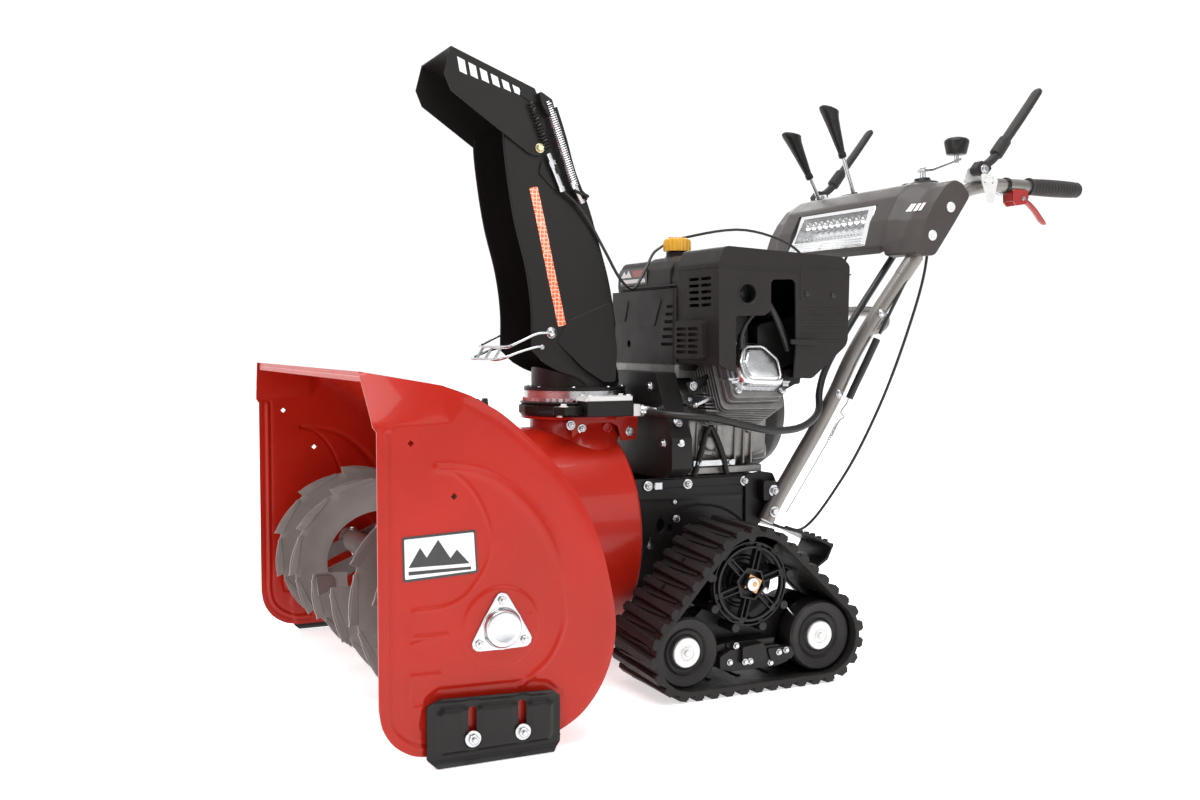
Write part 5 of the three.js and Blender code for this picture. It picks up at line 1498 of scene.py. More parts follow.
# ------------------------------------------------------------------ tractor frame
def frame_piece():
    g = G()
    # side walls as pressed plates with a raised panel, arches and lightening holes
    for s in (1, -1):
        out = rounded([(93, 121), (93, 334), (340, 334), (340, 121), (300, 121), (262, 128), (184, 128), (150, 121)], 5)
        holes = [[(y + r * math.cos(t), z + r * 1.35 * math.sin(t)) for t in np.linspace(0, 2 * pi, 17)[:-1]] for y, z, r in ((150, 252, 9), (170, 246, 6), (132, 222, 8))]
        holes.append([(AXLE[0] + 13.4 * math.cos(t), AXLE[1] + 13.4 * math.sin(t)) for t in np.linspace(0, 2 * pi, 33)[:-1]])
        arch = cr([(100, 150), (130, 226), (190, 276), (262, 276), (310, 250), (336, 214)], 6)
        crease = [(94, 300), (340, 296)]
        def top(P):
            h = 2.2 * sstep((segdist(P, arch) - 1.0) / 4.0) * np.where(P[:, 1] > np.interp(P[:, 0], [a[0] for a in arch], [a[1] for a in arch]), 1, 0)
            h += 0.9 * np.exp(-(segdist(P, crease) / 3.0) ** 2)
            return h
        sheet(g, out, holes, 8.0, top, 3.4, lambda u, v, h: (s * (122.6 + h), u, v), fine=([arch, crease], 8.0, 3.0))
    box(g, -122, 122, 93, 96.4, 124, 300)
    box(g, -122, 122, 336, 340, 121, 334)
    box(g, -122, 122, 182, 339, 331, 335)
    o = obj("tractor_frame", g, BLACK, "root", sharp=40, bevel=0.5, replaces="tractor_frame")
    g = G()
    for s in (1, -1):
        prism(g, rounded([(318, 236), (318, 334), (352, 338), (376, 334), (392, 302), (386, 282), (366, 262), (340, 236)], 7), s * 124.6, s * 130.6, "x")
        prism(g, rounded([(344, 286), (344, 324), (386, 318), (386, 290)], 5), s * 130, s * 150, "x")
        prism(g, rounded([(124, 316), (124, 332), (336, 332), (336, 316)], 3), s * 125, s * 127.6, "x")
    cyl(g, (-121, 352, 250), (14, 352, 250), 7, 20)
    obj("frame_brackets", g, BLACK, "root", bevel=1.2, sharp=34)
    g = G()
    for s in (1, -1):
        for y in (124, 202, 318):
            bolt(g, (s * 127.4, y, 322), (s, 0, 0), 6.2, 4.6, washer=9.2, stud=2)
        box(g, min(s * 127, s * 135), max(s * 127, s * 135), 134, 148, 316, 328)
        bolt(g, (s * 150, 366, 304), (s, 0, 0), 7.6, 5.4, washer=11, stud=3)
        bolt(g, (s * 126.2, 180, 262), (s, 0, 0), 5.2, 3.6, washer=7)
        bolt(g, (s * 126.2, 176, 292), (s, 0, 0), 4.6, 3.2)
    obj("frame_bolts", g, ZINC, "root", bevel=0.35)
    g = G()
    CV = rounded([(-150, 336), (-180, 352), (-180, 406), (-119, 517), (119, 517), (180, 406), (180, 352), (150, 336)], 9)
    prism(g, CV, 142, 181, "y")
    RIM = rounded([(-142, 340), (-172, 356), (-172, 404), (-115, 509), (115, 509), (172, 404), (172, 356), (142, 340)], 8)
    prism(g, RIM, 139.6 + 2.6, 150, "y")
    c = obj("belt_cover", g, BLACK, "root", bevel=2.4, seg=3, sharp=34, replaces="belt_cover")
    k = G()
    prism(k, [(-146, 330), (-174, 354), (-174, 403), (-114, 510), (114, 510), (174, 403), (174, 354), (146, 330)], 147, 176.5, "y")
    boolean(c, k)
    g = G()
    for x, z in ((-150, 396), (150, 396), (-100, 492), (100, 492)):
        bolt(g, (x, 142.4, z), (0, -1, 0), 5.4, 3.6, washer=8.4)
    bolt(g, (168, 160, 433), (0.83, 0, 0.55), 5.4, 3.6, washer=8.4)
    bolt(g, (178, 160, 400), (1, 0, 0.2), 5.2, 3.6, washer=8)
    obj("cover_bolts", g, ZINC, "root", bevel=0.3)


frame_piece()

# ------------------------------------------------------------------ engine
def engine():
    g = G()
    CASE = rounded([(-90, 348), (100, 348), (118, 366), (124, 430), (110, 478), (60, 512), (-60, 512), (-116, 470), (-120, 390)], 14)
    prism(g, CASE, 200, 340, "y")
    C2 = rounded([(-84, 356), (92, 356), (110, 374), (114, 430), (100, 470), (56, 500), (-56, 500), (-106, 462), (-110, 394)], 16)
    prism(g, C2, 184.6, 371.6, "y")
    C3 = rounded([(-94, 345), (104, 345), (121, 366), (126.6, 430), (112, 480), (62, 514.6), (-62, 514.6), (-118, 472), (-122, 390)], 12)
    prism(g, C3, 262, 276, "y")
    lathe(g, [(46, 0), (46, 8), (30, 12), (18, 12)], (0, 196, 440), (0, -1, 0), 48)
    for dx, dz in ((-70, 380), (-88, 440), (-40, 486), (40, 486), (92, 440), (76, 376), (0, 364)):
        lathe(g, [(10, 0), (10, 12), (8, 14), (0, 14)], (dx, 198, dz), (0, -1, 0), 20)
    # feet with slots, ribs down the side and the governor boss seen on the left
    prism(g, rounded([(-104, 196), (118, 196), (118, 362), (-104, 362)], 6), 336.2, 349, "z")
    for y in (206, 222, 300, 318, 334):
        prism(g, rounded([(104, 350), (124.5, 352), (126.4, 428), (116, 470), (104, 470)], 4), y - 2, y + 2, "y")
    lathe(g, [(26, 0), (26, 7), (22, 10), (14, 11), (13, 16), (8, 18), (0, 18)], (110, 250, 392), (1, 0, 0), 36)
    for k in range(6):
        t = k * pi / 3
        lathe(g, [(4.6, 0), (4.6, 9), (0, 10)], (112, 250 + 20 * math.cos(t), 392 + 20 * math.sin(t)), (1, 0, 0), 14)
    lathe(g, [(15, 0), (15, 10), (12, 14), (0, 14)], (114, 330, 420), (1, 0, 0.2), 28)
    # starter-motor-like round boss and oil filler neck low down
    lathe(g, [(17, 0), (17, 26), (14, 30), (0, 30)], (86, 352, 372), (0.3, 0.95, 0.1), 28)
    obj("engine_block", g, CAST, "root", bevel=1.4, seg=2, sharp=34, replaces="engine_block")
    # tilted cylinder with fins
    tl = math.radians(25)
    fn = lambda x, y, z: (70 + x * math.cos(tl) - z * math.sin(tl), y, 458 + x * math.sin(tl) + z * math.cos(tl))
    g = G()
    b = G()
    lathe(b, [(44, 0), (44, 44)], (0, 290, 0), (1, 0, 0), 40)
    lathe(b, [(36, 40), (36, 128)], (0, 290, 0), (1, 0, 0), 40)
    for k in range(10):
        o_ = rounded([(290 - 65, -60), (290 + 61, -60), (290 + 61, 57), (290 - 65, 57)], 14)
        prism(b, o_, 42 + k * 8.6, 44.6 + k * 8.6, "x")
    hd = rounded([(290 - 57, -50), (290 + 52, -50), (290 + 52, 49), (290 - 57, 49)], 12)
    prism(b, hd, 124.5, 132, "x")
    prism(b, [(a * 0.96 + 290 * 0.04, c * 0.96) for a, c in hd], 132, 145.6, "x")
    for cy_, cz_ in ((-44, -38), (40, -38), (-44, 38), (40, 38)):
        cyl(b, (46, 290 + cy_, cz_), (146, 290 + cy_, cz_), 7, 18)
    g.join(b, fn)
    obj("cylinder", g, CAST, "root", bevel=0.7, sharp=34)
    # rocker cover: soft rounded triangle-ish casting with a raised pad and two grooves
    g = G()
    b = G()
    def outline(k):
        base = [(290 - 46, -34), (290 + 46, -38), (290 + 48, 14), (290 + 16, 48), (290 - 30, 47), (290 - 48, 10)]
        return [(290 + (a - 290) * k, c * k) for a, c in rounded(base, 20, 7)]
    o1 = outline(1.05)
    prism(b, o1, 146.6, 151, "x")
    def step(o_, x):
        return [(x, a, c) for a, c in o_]
    rings = [step(outline(k_), x_) for k_, x_ in ((0.95, 150.6), (0.945, 156), (0.93, 161), (0.90, 165.4), (0.855, 168.6), (0.80, 170.2), (0.75, 170.6), (0.735, 170.2), (0.72, 169.6), (0.70, 169.8), (0.67, 171.4), (0.62, 172.8), (0.54, 173.6), (0.30, 174.0))]
    m = len(rings[0])
    vs = [p for r in rings for p in r]
    fs = []
    for i in range(len(rings) - 1):
        for k in range(m):
            q = (k + 1) % m
            fs.append((i * m + k, i * m + q, (i + 1) * m + q, (i + 1) * m + k))
    fs.append(tuple(range((len(rings) - 1) * m, len(rings) * m)))
    fs.append(tuple(range(m))[::-1])
    b.put(vs, fs)
    g.join(b, fn)
    obj("rocker_cover", g, BRIGHT, "root", sharp=62, replaces="rocker_cover")
    g = G()
    b = G()
    for cy_, cz_ in ((-44, -36), (44, -38), (46, 14), (-30, 47)):
        bolt(b, (150.6, 290 + cy_, cz_), (1, 0, 0), 4.8, 4.2, flange=True)
    g.join(b, fn)
    obj("rocker_bolts", g, ZINC, "root", bevel=0.25)
    # spark plug, boot and lead
    g = G()
    tube(g, cr([(206, 262, 560), (216, 256, 582), (222, 268, 610), (216, 300, 628), (190, 330, 622), (150, 340, 600)], 6), 4.0, 10)
    lathe(g, [(10, 0), (10, 22), (7.6, 30), (6.6, 44), (0, 46)], (196, 268, 540), (0.25, -0.15, 1), 20)
    tube(g, cr([(224, 300, 640), (228, 316, 612), (222, 336, 580), (214, 350, 556)], 5), 5.5, 10)
    obj("plug_lead", g, RUBBER, "root")
    # heat shield and lower linkage plate under the cylinder
    g = G()
    prism(g, [(232, 505), (352, 498), (356, 502), (232, 509)], 150, 214, "x")
    prism(g, rounded([(236, 500), (236, 505), (350, 498), (350, 493)], 1), 206, 217, "x")
    prism(g, rounded([(186, 458), (186, 463), (246, 486), (250, 482)], 1), 118, 176, "x")
    dome(g, (196, 306, 505), (0, 0, 1), 6, 3.4, washer=8)
    obj("heat_shield", g, BRIGHT, "root", bevel=0.6)
    g = G()
    for i in range(6):
        prism(g, rounded([(204 + 2 * i, 452 + 5.6 * i), (300, 446 + 6.4 * i), (300, 449 + 6.4 * i), (204 + 2 * i, 455 + 5.6 * i)], 0.6), 126, 186 - 5 * i, "x")
    obj("exhaust_guard", g, CAST, "root", bevel=0.5)
    g = G()
    # control bracket with two bolts, its link bar and an inverted V stay over the frame
    prism(g, rounded([(190, 478), (184, 500), (206, 506), (262, 528), (266, 516), (212, 490)], 5), 150, 154, "x")
    tube(g, cr([(128, 214, 336), (130, 226, 372), (131, 236, 410), (131, 244, 424)], 5), 6, 8)
    tube(g, cr([(131, 244, 424), (131, 256, 404), (130, 272, 366), (128, 280, 336)], 5), 6, 8)
    prism(g, rounded([(316, 480), (316, 512), (388, 540), (398, 530), (388, 500), (340, 478)], 6), 190, 196, "x")
    obj("engine_brackets", g, BLACK, "root", bevel=1.0)
    g = G()
    for p in ((154, 198, 494), (154, 254, 518)):
        bolt(g, p, (1, 0, 0), 5.6, 3.8, washer=8, stud=2)
    prism(g, rounded([(212, 352), (212, 362), (296, 362), (296, 352)], 2), 127, 131, "x")
    for p in ((131, 222, 357), (131, 286, 357), (128, 204, 470)):
        bolt(g, p, (1, 0, 0), 5.2, 3.6)
    dome(g, (176, 190, 462), (0.3, -1, 0.3), 5, 3)
    obj("engine_bolts", g, ZINC, "root", bevel=0.3)
    # intake: carburettor and inlet box above the block inside the shroud
    g = G()
    prism(g, rounded([(300, 520), (300, 600), (400, 620), (420, 560), (400, 520)], 10), 128, 196, "x")
    prism(g, rounded([(214, 560), (214, 640), (290, 650), (296, 560)], 12), 116, 176, "x")
    obj("inlet_box", g, PLASTIC, "root", bevel=2.0)


engine()


def shroud():
    # outer skin of the square shroud: face panel, front panel with louvres, roof, rear; soft corners
    SHR = [(192, 532), (190, 700), (202, 728), (436, 716), (453, 702), (450, 566), (376, 507), (330, 509), (216, 521)]
    g = G()
    out = rounded(SHR, [4, 10, 12, 12, 12, 26, 16, 6, 6], 6)
    prism(g, out, 109.4, 249.6, "x")
    o = obj("engine_shroud", g, ENGPL, "root", bevel=7.0, seg=5, sharp=34, replaces="engine_shroud")
    k = G()
    inn = rounded([(196, 470), (194, 698), (205, 723.6), (434, 711.6), (448, 700), (445.6, 570), (372, 513), (330, 470)], [2, 8, 10, 10, 10, 22, 12, 2], 5)
    prism(k, inn, 100, 245.6, "x")
    boolean(o, k)
    k = G()
    prism(k, rounded([(292, 674), (341, 676), (343, 560), (338, 490), (224, 490), (224, 613), (280, 614), (292, 622)], [9, 12, 4, 3, 3, 6, 12, 10], 5), 238, 260, "x")
    cyl(k, (236, 246.5, 650), (262, 246.5, 650), 18.2, 48)
    boolean(o, k)
    k = G()
    for i in range(2):
        for j in range(5):
            x0, z0 = 150 + i * 40, 629 + j * 11
            prism(k, rounded([(x0, z0), (x0 + 34, z0), (x0 + 34, z0 + 5.2), (x0, z0 + 5.2)], 1.6, 3), 180, 202, "y")
    boolean(o, k)
    g = G()
    prism(g, rounded([(197, 520), (195, 697), (206, 722.6), (433, 710.8), (446, 699), (444.6, 571), (372, 516), (330, 516)], [3, 8, 10, 10, 10, 22, 12, 6], 5), 113, 117, "x")
    for y0, z0, z1 in ((228, 560, 690), (262, 600, 700), (300, 620, 706), (340, 600, 706)):
        prism(g, rounded([(y0, z0), (y0, z1), (y0 + 4, z1), (y0 + 4, z0)], 1), 116, 150, "x")
    obj("shroud_inner", g, PLASTIC, "root", bevel=1.0)
    # raised louvred pod on the front lower corner
    g = G()
    prism(g, rounded([(118, 541), (212, 541), (212, 606), (118, 606)], 11, 6), 179.6, 196, "y")
    p = obj("shroud_pod", g, ENGPL, "root", bevel=4.5, seg=4, sharp=34)
    k = G()
    prism(k, rounded([(124, 547), (206, 547), (206, 600), (124, 600)], 8, 5), 184.5, 205, "y")
    for i in range(2):
        for j in range(5):
            x0, z0 = 126 + i * 40, 549.6 + j * 9.9
            prism(k, rounded([(x0, z0), (x0 + 34, z0), (x0 + 34, z0 + 5.4), (x0, z0 + 5.4)], 1.6, 3), 170, 190, "y")
    boolean(p, k)
    # shallow steps: lid line, rear panel, screws, exhaust-port sleeve, clip
    g = G()
    prism(g, rounded([(350, 640), (350, 698), (444, 694), (444, 640)], 4), 248.8, 250.6, "x")
    for i in range(6):
        prism(g, rounded([(352, 571 + i * 11), (352, 573.4 + i * 11), (446, 573.4 + i * 11), (446, 571 + i * 11)], 0.8), 249.2, 250.4, "x")
    ringlathe(g, [(15.6, 246), (18.6, 246), (19.8, 250.4), (17.0, 251.2), (15.6, 249.6)], (0, 246.5, 650), (1, 0, 0), 48)
    prism(g, rounded([(330, 566), (330, 574), (382, 574), (384, 568), (378, 564)], 2), 250, 254, "x")
    obj("shroud_details", g, ENGPL, "root", bevel=0.8)
    g = G()
    for y, z in ((364, 652), (418, 650)):
        lathe(g, [(5.6, 0), (5.4, 1.6), (4.0, 2.4), (0, 2.4)], (250.4, y, z), (1, 0, 0), 18)
    obj("shroud_screws", g, ZDARK, "root")
    g = G()
    ringlathe(g, [(15.4, 226), (18.0, 226), (18.0, 246.4), (15.4, 246.4)], (0, 246.5, 650), (1, 0, 0), 40)
    lathe(g, [(0, 224), (18.0, 224), (18.0, 227), (0, 227)], (0, 246.5, 650), (1, 0, 0), 40)
    lathe(g, [(0, 226), (5.4, 226), (5.0, 232), (0, 232.4)], (0, 246.5, 650), (1, 0, 0), 6)
    obj("shroud_plug", g, PLASTIC, "root")
    # seam line under the roof as a thin raised lip all round
    g = G()
    prism(g, rounded([(189.0, 693), (189.0, 695.4), (252, 692.8), (455, 687), (455, 684.6), (252, 690.4)], 0.4), 110, 250.4, "x")
    so = obj("shroud_seam", g, ENGPL, "root", bevel=0.5)
    k = G()
    prism(k, [(193.6, 600), (193.6, 760), (450.6, 760), (450.6, 600)], 100, 248.6, "x")
    boolean(so, k)
    # cowl below the tank
    g = G()
    prism(g, rounded([(-146, 186), (108.4, 186), (108.4, 384), (-146, 384)], 9, 5), 530.4, 663.2, "z")
    c = obj("front_cowl", g, ENGPL, "root", bevel=4.0, seg=4, sharp=34, replaces="front_cowl")
    k = G()
    box(k, -142, 118, 190, 400, 500, 659)
    boolean(c, k)
    k = G()
    for j in range(6):
        z0 = 563 + j * 13.2
        x0 = 58 + j * 4.0
        prism(k, rounded([(x0, z0), (100, z0), (100, z0 + 5.6), (x0, z0 + 5.6)], 1.6, 3), 180, 196, "y")
    cyl(k, (-70, 180, 566), (-70, 200, 566), 7, 20)
    boolean(c, k)
    g = G()
    prism(g, rounded([(-138, 190), (104, 190), (104, 380), (-138, 380)], 8, 4), 506, 531, "z")
    prism(g, rounded([(-60, 470), (60, 470), (76, 512), (-76, 512)], 6), 186, 192, "y")
    obj("cowl_base", g, CAST, "root", bevel=2.0, seg=2)
    g = G()
    # raised trapezoid panel
    prism(g, rounded([(-52, 646), (60, 646), (34, 598), (-36, 598)], 5), 184.4, 188, "y")
    prism(g, rounded([(-120, 646), (-70, 646), (-84, 608), (-120, 608)], 5), 184.4, 188, "y")
    obj("cowl_panel", g, ENGPL, "root", bevel=1.4, seg=3)
    # fuel tank with a stepped front, seam flange and label recess
    g = G()
    TK = rounded([(203, 664.2), (201.6, 676), (203, 700), (216, 720), (330, 723), (398, 713), (407, 700), (406, 664.2)], [3, 5, 14, 14, 20, 12, 10, 3], 6)
    prism(g, TK, -149.6, 62, "x")
    TK2 = rounded([(206, 664.2), (204, 680), (210, 712), (222, 723.6), (330, 725), (396, 716), (403, 700), (402, 664.2)], [3, 5, 14, 14, 20, 12, 10, 3], 6)
    prism(g, TK2, -40, 108, "x")
    t = obj("fuel_tank", g, ENGPL, "root", bevel=8.0, seg=5, sharp=34, replaces="fuel_tank")
    g = G()
    prism(g, rounded([(-150, 200.8), (108.4, 200.8), (108.4, 408), (-150, 408)], 14, 6), 668, 672, "z")
    lathe(g, [(23, 0), (23, 8), (20.4, 10), (20, 19), (16.4, 19.4)], (0, 250, 716), (0, 0, 1), 40)
    obj("tank_flange", g, ENGPL, "root", bevel=1.2)
    g = G()
    prism(g, rounded([(-138, 676), (-26, 676), (-26, 707), (-138, 707)], 5), 200.6, 203.2, "y")
    obj("tank_label", g, BADGE_DARK, "root", bevel=0.4)
    g = G()
    prism(g, rounded([(-132, 680), (-32, 680), (-32, 687), (-132, 687)], 2), 200.0, 201.4, "y")
    prism(g, [(-132, 691), (-118, 703), (-110, 695), (-100, 704), (-88, 691)], 200.0, 201.4, "y")
    obj("tank_label_motif", g, BADGE_WHITE, "root")
    g = G()
    prism(g, rounded([(-82, 691), (-34, 691), (-34, 703), (-82, 703)], 2), 200.0, 201.4, "y")
    obj("tank_label_red", g, TRIG, "root")
    # ribbed filler cap
    g = G()
    n = 80
    rr = [25.6 if (k // 2) % 2 else 24.2 for k in range(n)]
    def capring(z, scale):
        return [(rr[k] * scale * math.cos(2 * pi * k / n), 250 + rr[k] * scale * math.sin(2 * pi * k / n), z) for k in range(n)]
    vs = capring(736, 1) + capring(753, 1) + [(23.4 * math.cos(2 * pi * k / n), 250 + 23.4 * math.sin(2 * pi * k / n), 757.6) for k in range(n)] + [(21 * math.cos(2 * pi * k / n), 250 + 21 * math.sin(2 * pi * k / n), 759) for k in range(n)] + [(19.6 * math.cos(2 * pi * k / n), 250 + 19.6 * math.sin(2 * pi * k / n), 757.8) for k in range(n)]
    fs = [tuple(range(n))[::-1]]
    for i in range(4):
        for k in range(n):
            q = (k + 1) % n
            fs.append((i * n + k, i * n + q, (i + 1) * n + q, (i + 1) * n + k))
    fs.append(tuple(range(4 * n, 5 * n)))
    g.put(vs, fs)
    prism(g, rounded([(-3, 232), (3, 232), (3, 268), (-3, 268)], 2), 757, 761.6, "z")
    obj("fuel_cap", g, YELLOW, "fuel_cap", sharp=30, replaces="fuel_cap")
    # recoil starter: dished cover with radial slots, centre disc and rope guide
    g = G()
    lathe(g, [(112, 0), (112, 22), (109, 28), (97, 50), (90, 55), (60, 57), (56, 55), (54, 59), (0, 59.4)], (0, 372.6, 440), (0, 1, 0), 72)
    r = obj("recoil_starter", g, ENGPL, "root", bevel=1.2, sharp=34, replaces="recoil_starter")
    k = G()
    for i in range(18):
        t = 2 * pi * i / 18
        if abs((t - 0.7)) < 0.35:
            continue
        pts = [(62, -3.2), (88, -4.4), (88, 4.4), (62, 3.2)]
        prism(k, [(a * math.cos(t) - b * math.sin(t), 440 + a * math.sin(t) + b * math.cos(t)) for a, b in pts], 420, 440, "y")
    boolean(r, k)
    g = G()
    prism(g, rounded([(50, 482), (86, 482), (86, 514), (50, 514)], 6), 400, 436, "y")
    obj("rope_guide", g, ENGPL, "root", bevel=2.0)
    g = G()
    for i in range(3):
        t = 2 * pi * i / 3 + 0.3
        bolt(g, (104 * math.cos(t), 396, 440 + 104 * math.sin(t)), (0, 1, 0), 5, 4, flange=True)
    obj("recoil_bolts", g, ZINC, "root")
    g = G()
    H = cr([(45, 455, 498), (50, 455, 501), (68, 455, 503), (86, 455, 501), (91, 455, 498), (86, 455, 495), (68, 455, 493), (50, 455, 495)], 4, loop=True)
    prism(g, rounded([(44.5, 492), (68, 489.6), (91.5, 492), (91.5, 504), (68, 506.4), (44.5, 504)], 5, 5), 448.4, 461.6, "y")
    lathe(g, [(6, 0), (5.2, 12), (0, 12.4)], (68, 437, 498), (0, 1, 0), 20)
    obj("starter_handle", g, GRIP, "starter_handle", bevel=2.6, seg=3, replaces="starter_handle")
    # muffler box on the far side with a punched guard
    g = G()
    prism(g, rounded([(214, 536), (214, 650), (372, 650), (372, 536)], 14), -150, -146.4, "x")
    mo = obj("far_guard", g, BLACK, "root", bevel=1.2)
    k = G()
    for i in range(8):
        for j in range(5):
            y0, z0 = 230 + i * 17, 552 + j * 18
            prism(k, rounded([(y0, z0), (y0 + 10, z0), (y0 + 10, z0 + 8), (y0, z0 + 8)], 3, 3), -160, -140, "x")
    boolean(mo, k)


shroud()
# ------------------------------------------------------------------ handles
TP = [(146.4, 352, 250), (146.4, 366, 276), (152, 420, 361), (158, 450, 411), (168, 484, 477), (178, 515, 546), (190, 548, 606), (205, 583, 665), (222, 620, 727), (231, 658, 788), (233, 692, 828), (234, 724, 846), (241, 764, 856), (250, 810, 858), (250, 852, 858), (250, 966, 858)]
for s, tag in ((1, "left"), (-1, "right")):
    g = G()
    lowp = cr([(s * x, y, z) for x, y, z in TP[:9]], 8)
    tube(g, lowp, 14, 28)
    upp = cr([(s * 219, 612, 715)] + [(s * x, y, z) for x, y, z in TP[8:]], 8)
    tube(g, upp, 12.4, 28)
    ringish = lowp[-1]
    obj("handlebar_" + tag, g, TUBE, "root", bevel=0.8, sharp=40, replaces="handlebar_" + tag)
    g = G()
    for i, (a, b) in enumerate((((s * 203, 560, 629), 0), ((s * 186, 505, 523), 0))):
        pass
    P = np.array(lowp)
    for idx in (50, 32):
        p = P[idx]
        dome(g, (p[0] + s * 12.8, p[1], p[2]), (s, 0.15, 0.0), 7.2, 4.0, washer=9)
        bolt(g, (p[0] - s * 13.6, p[1], p[2]), (-s, 0, 0), 6, 4.6)
    bolt(g, (s * 160.6, 360, 268), (s, 0, 0), 7, 5, washer=10)
    obj("handle_bolts_" + tag, g, ZINC, "root", bevel=0.3)
    # joint sleeve at the top of the lower tube
    g = G()
    a = np.array(lowp[-6]); b = np.array(lowp[-1])
    tube(g, [tuple(a), tuple((a + b) / 2), tuple(b)], 14.7, 28)
    obj("tube_collar_" + tag, g, TUBE, "root", bevel=0.8)
    # grips: ribbed rubber with a flange at the inner end
    g = G()
    prof = [(13.2, 0), (16.3, 0), (16.6, 1.5), (16.3, 4.4), (14.6, 6.5)]
    for i in range(14):
        y0 = 9 + i * 7.4
        R = 15.2 + 0.9 * math.sin(pi * i / 13)
        prof += [(R - 0.7, y0), (R, y0 + 1.4), (R, y0 + 5.2), (R - 0.7, y0 + 6.4)]
    prof += [(14.6, 114), (14.6, 122), (13.2, 125), (9, 126), (0, 126)]
    lathe(g, prof, (s * 250, 855, 858), (0, 1, 0), 40)
    obj("grip_" + tag, g, GRIP, "root", sharp=40, replaces="grip_" + tag)
g = G()
tube(g, cr([(186, 542, 592), (184, 566, 594), (176, 586, 606), (154, 594, 622), (60, 594, 628), (-60, 594, 628), (-154, 594, 622), (-176, 586, 606), (-184, 566, 594), (-186, 542, 592)], 8), 10, 24)
obj("handle_brace", g, TUBE, "root", replaces="handle_brace")

# ------------------------------------------------------------------ dash
DASH = [(594, 727), (605, 760), (616, 790), (634, 820), (658, 849), (682, 863), (700, 856), (718, 836), (680, 782), (637, 724), (610, 722)]
NOSE = [(584, 728), (576, 742), (588, 792), (612, 836), (640, 860), (682, 868), (702, 858), (718, 836), (680, 782), (637, 724)]


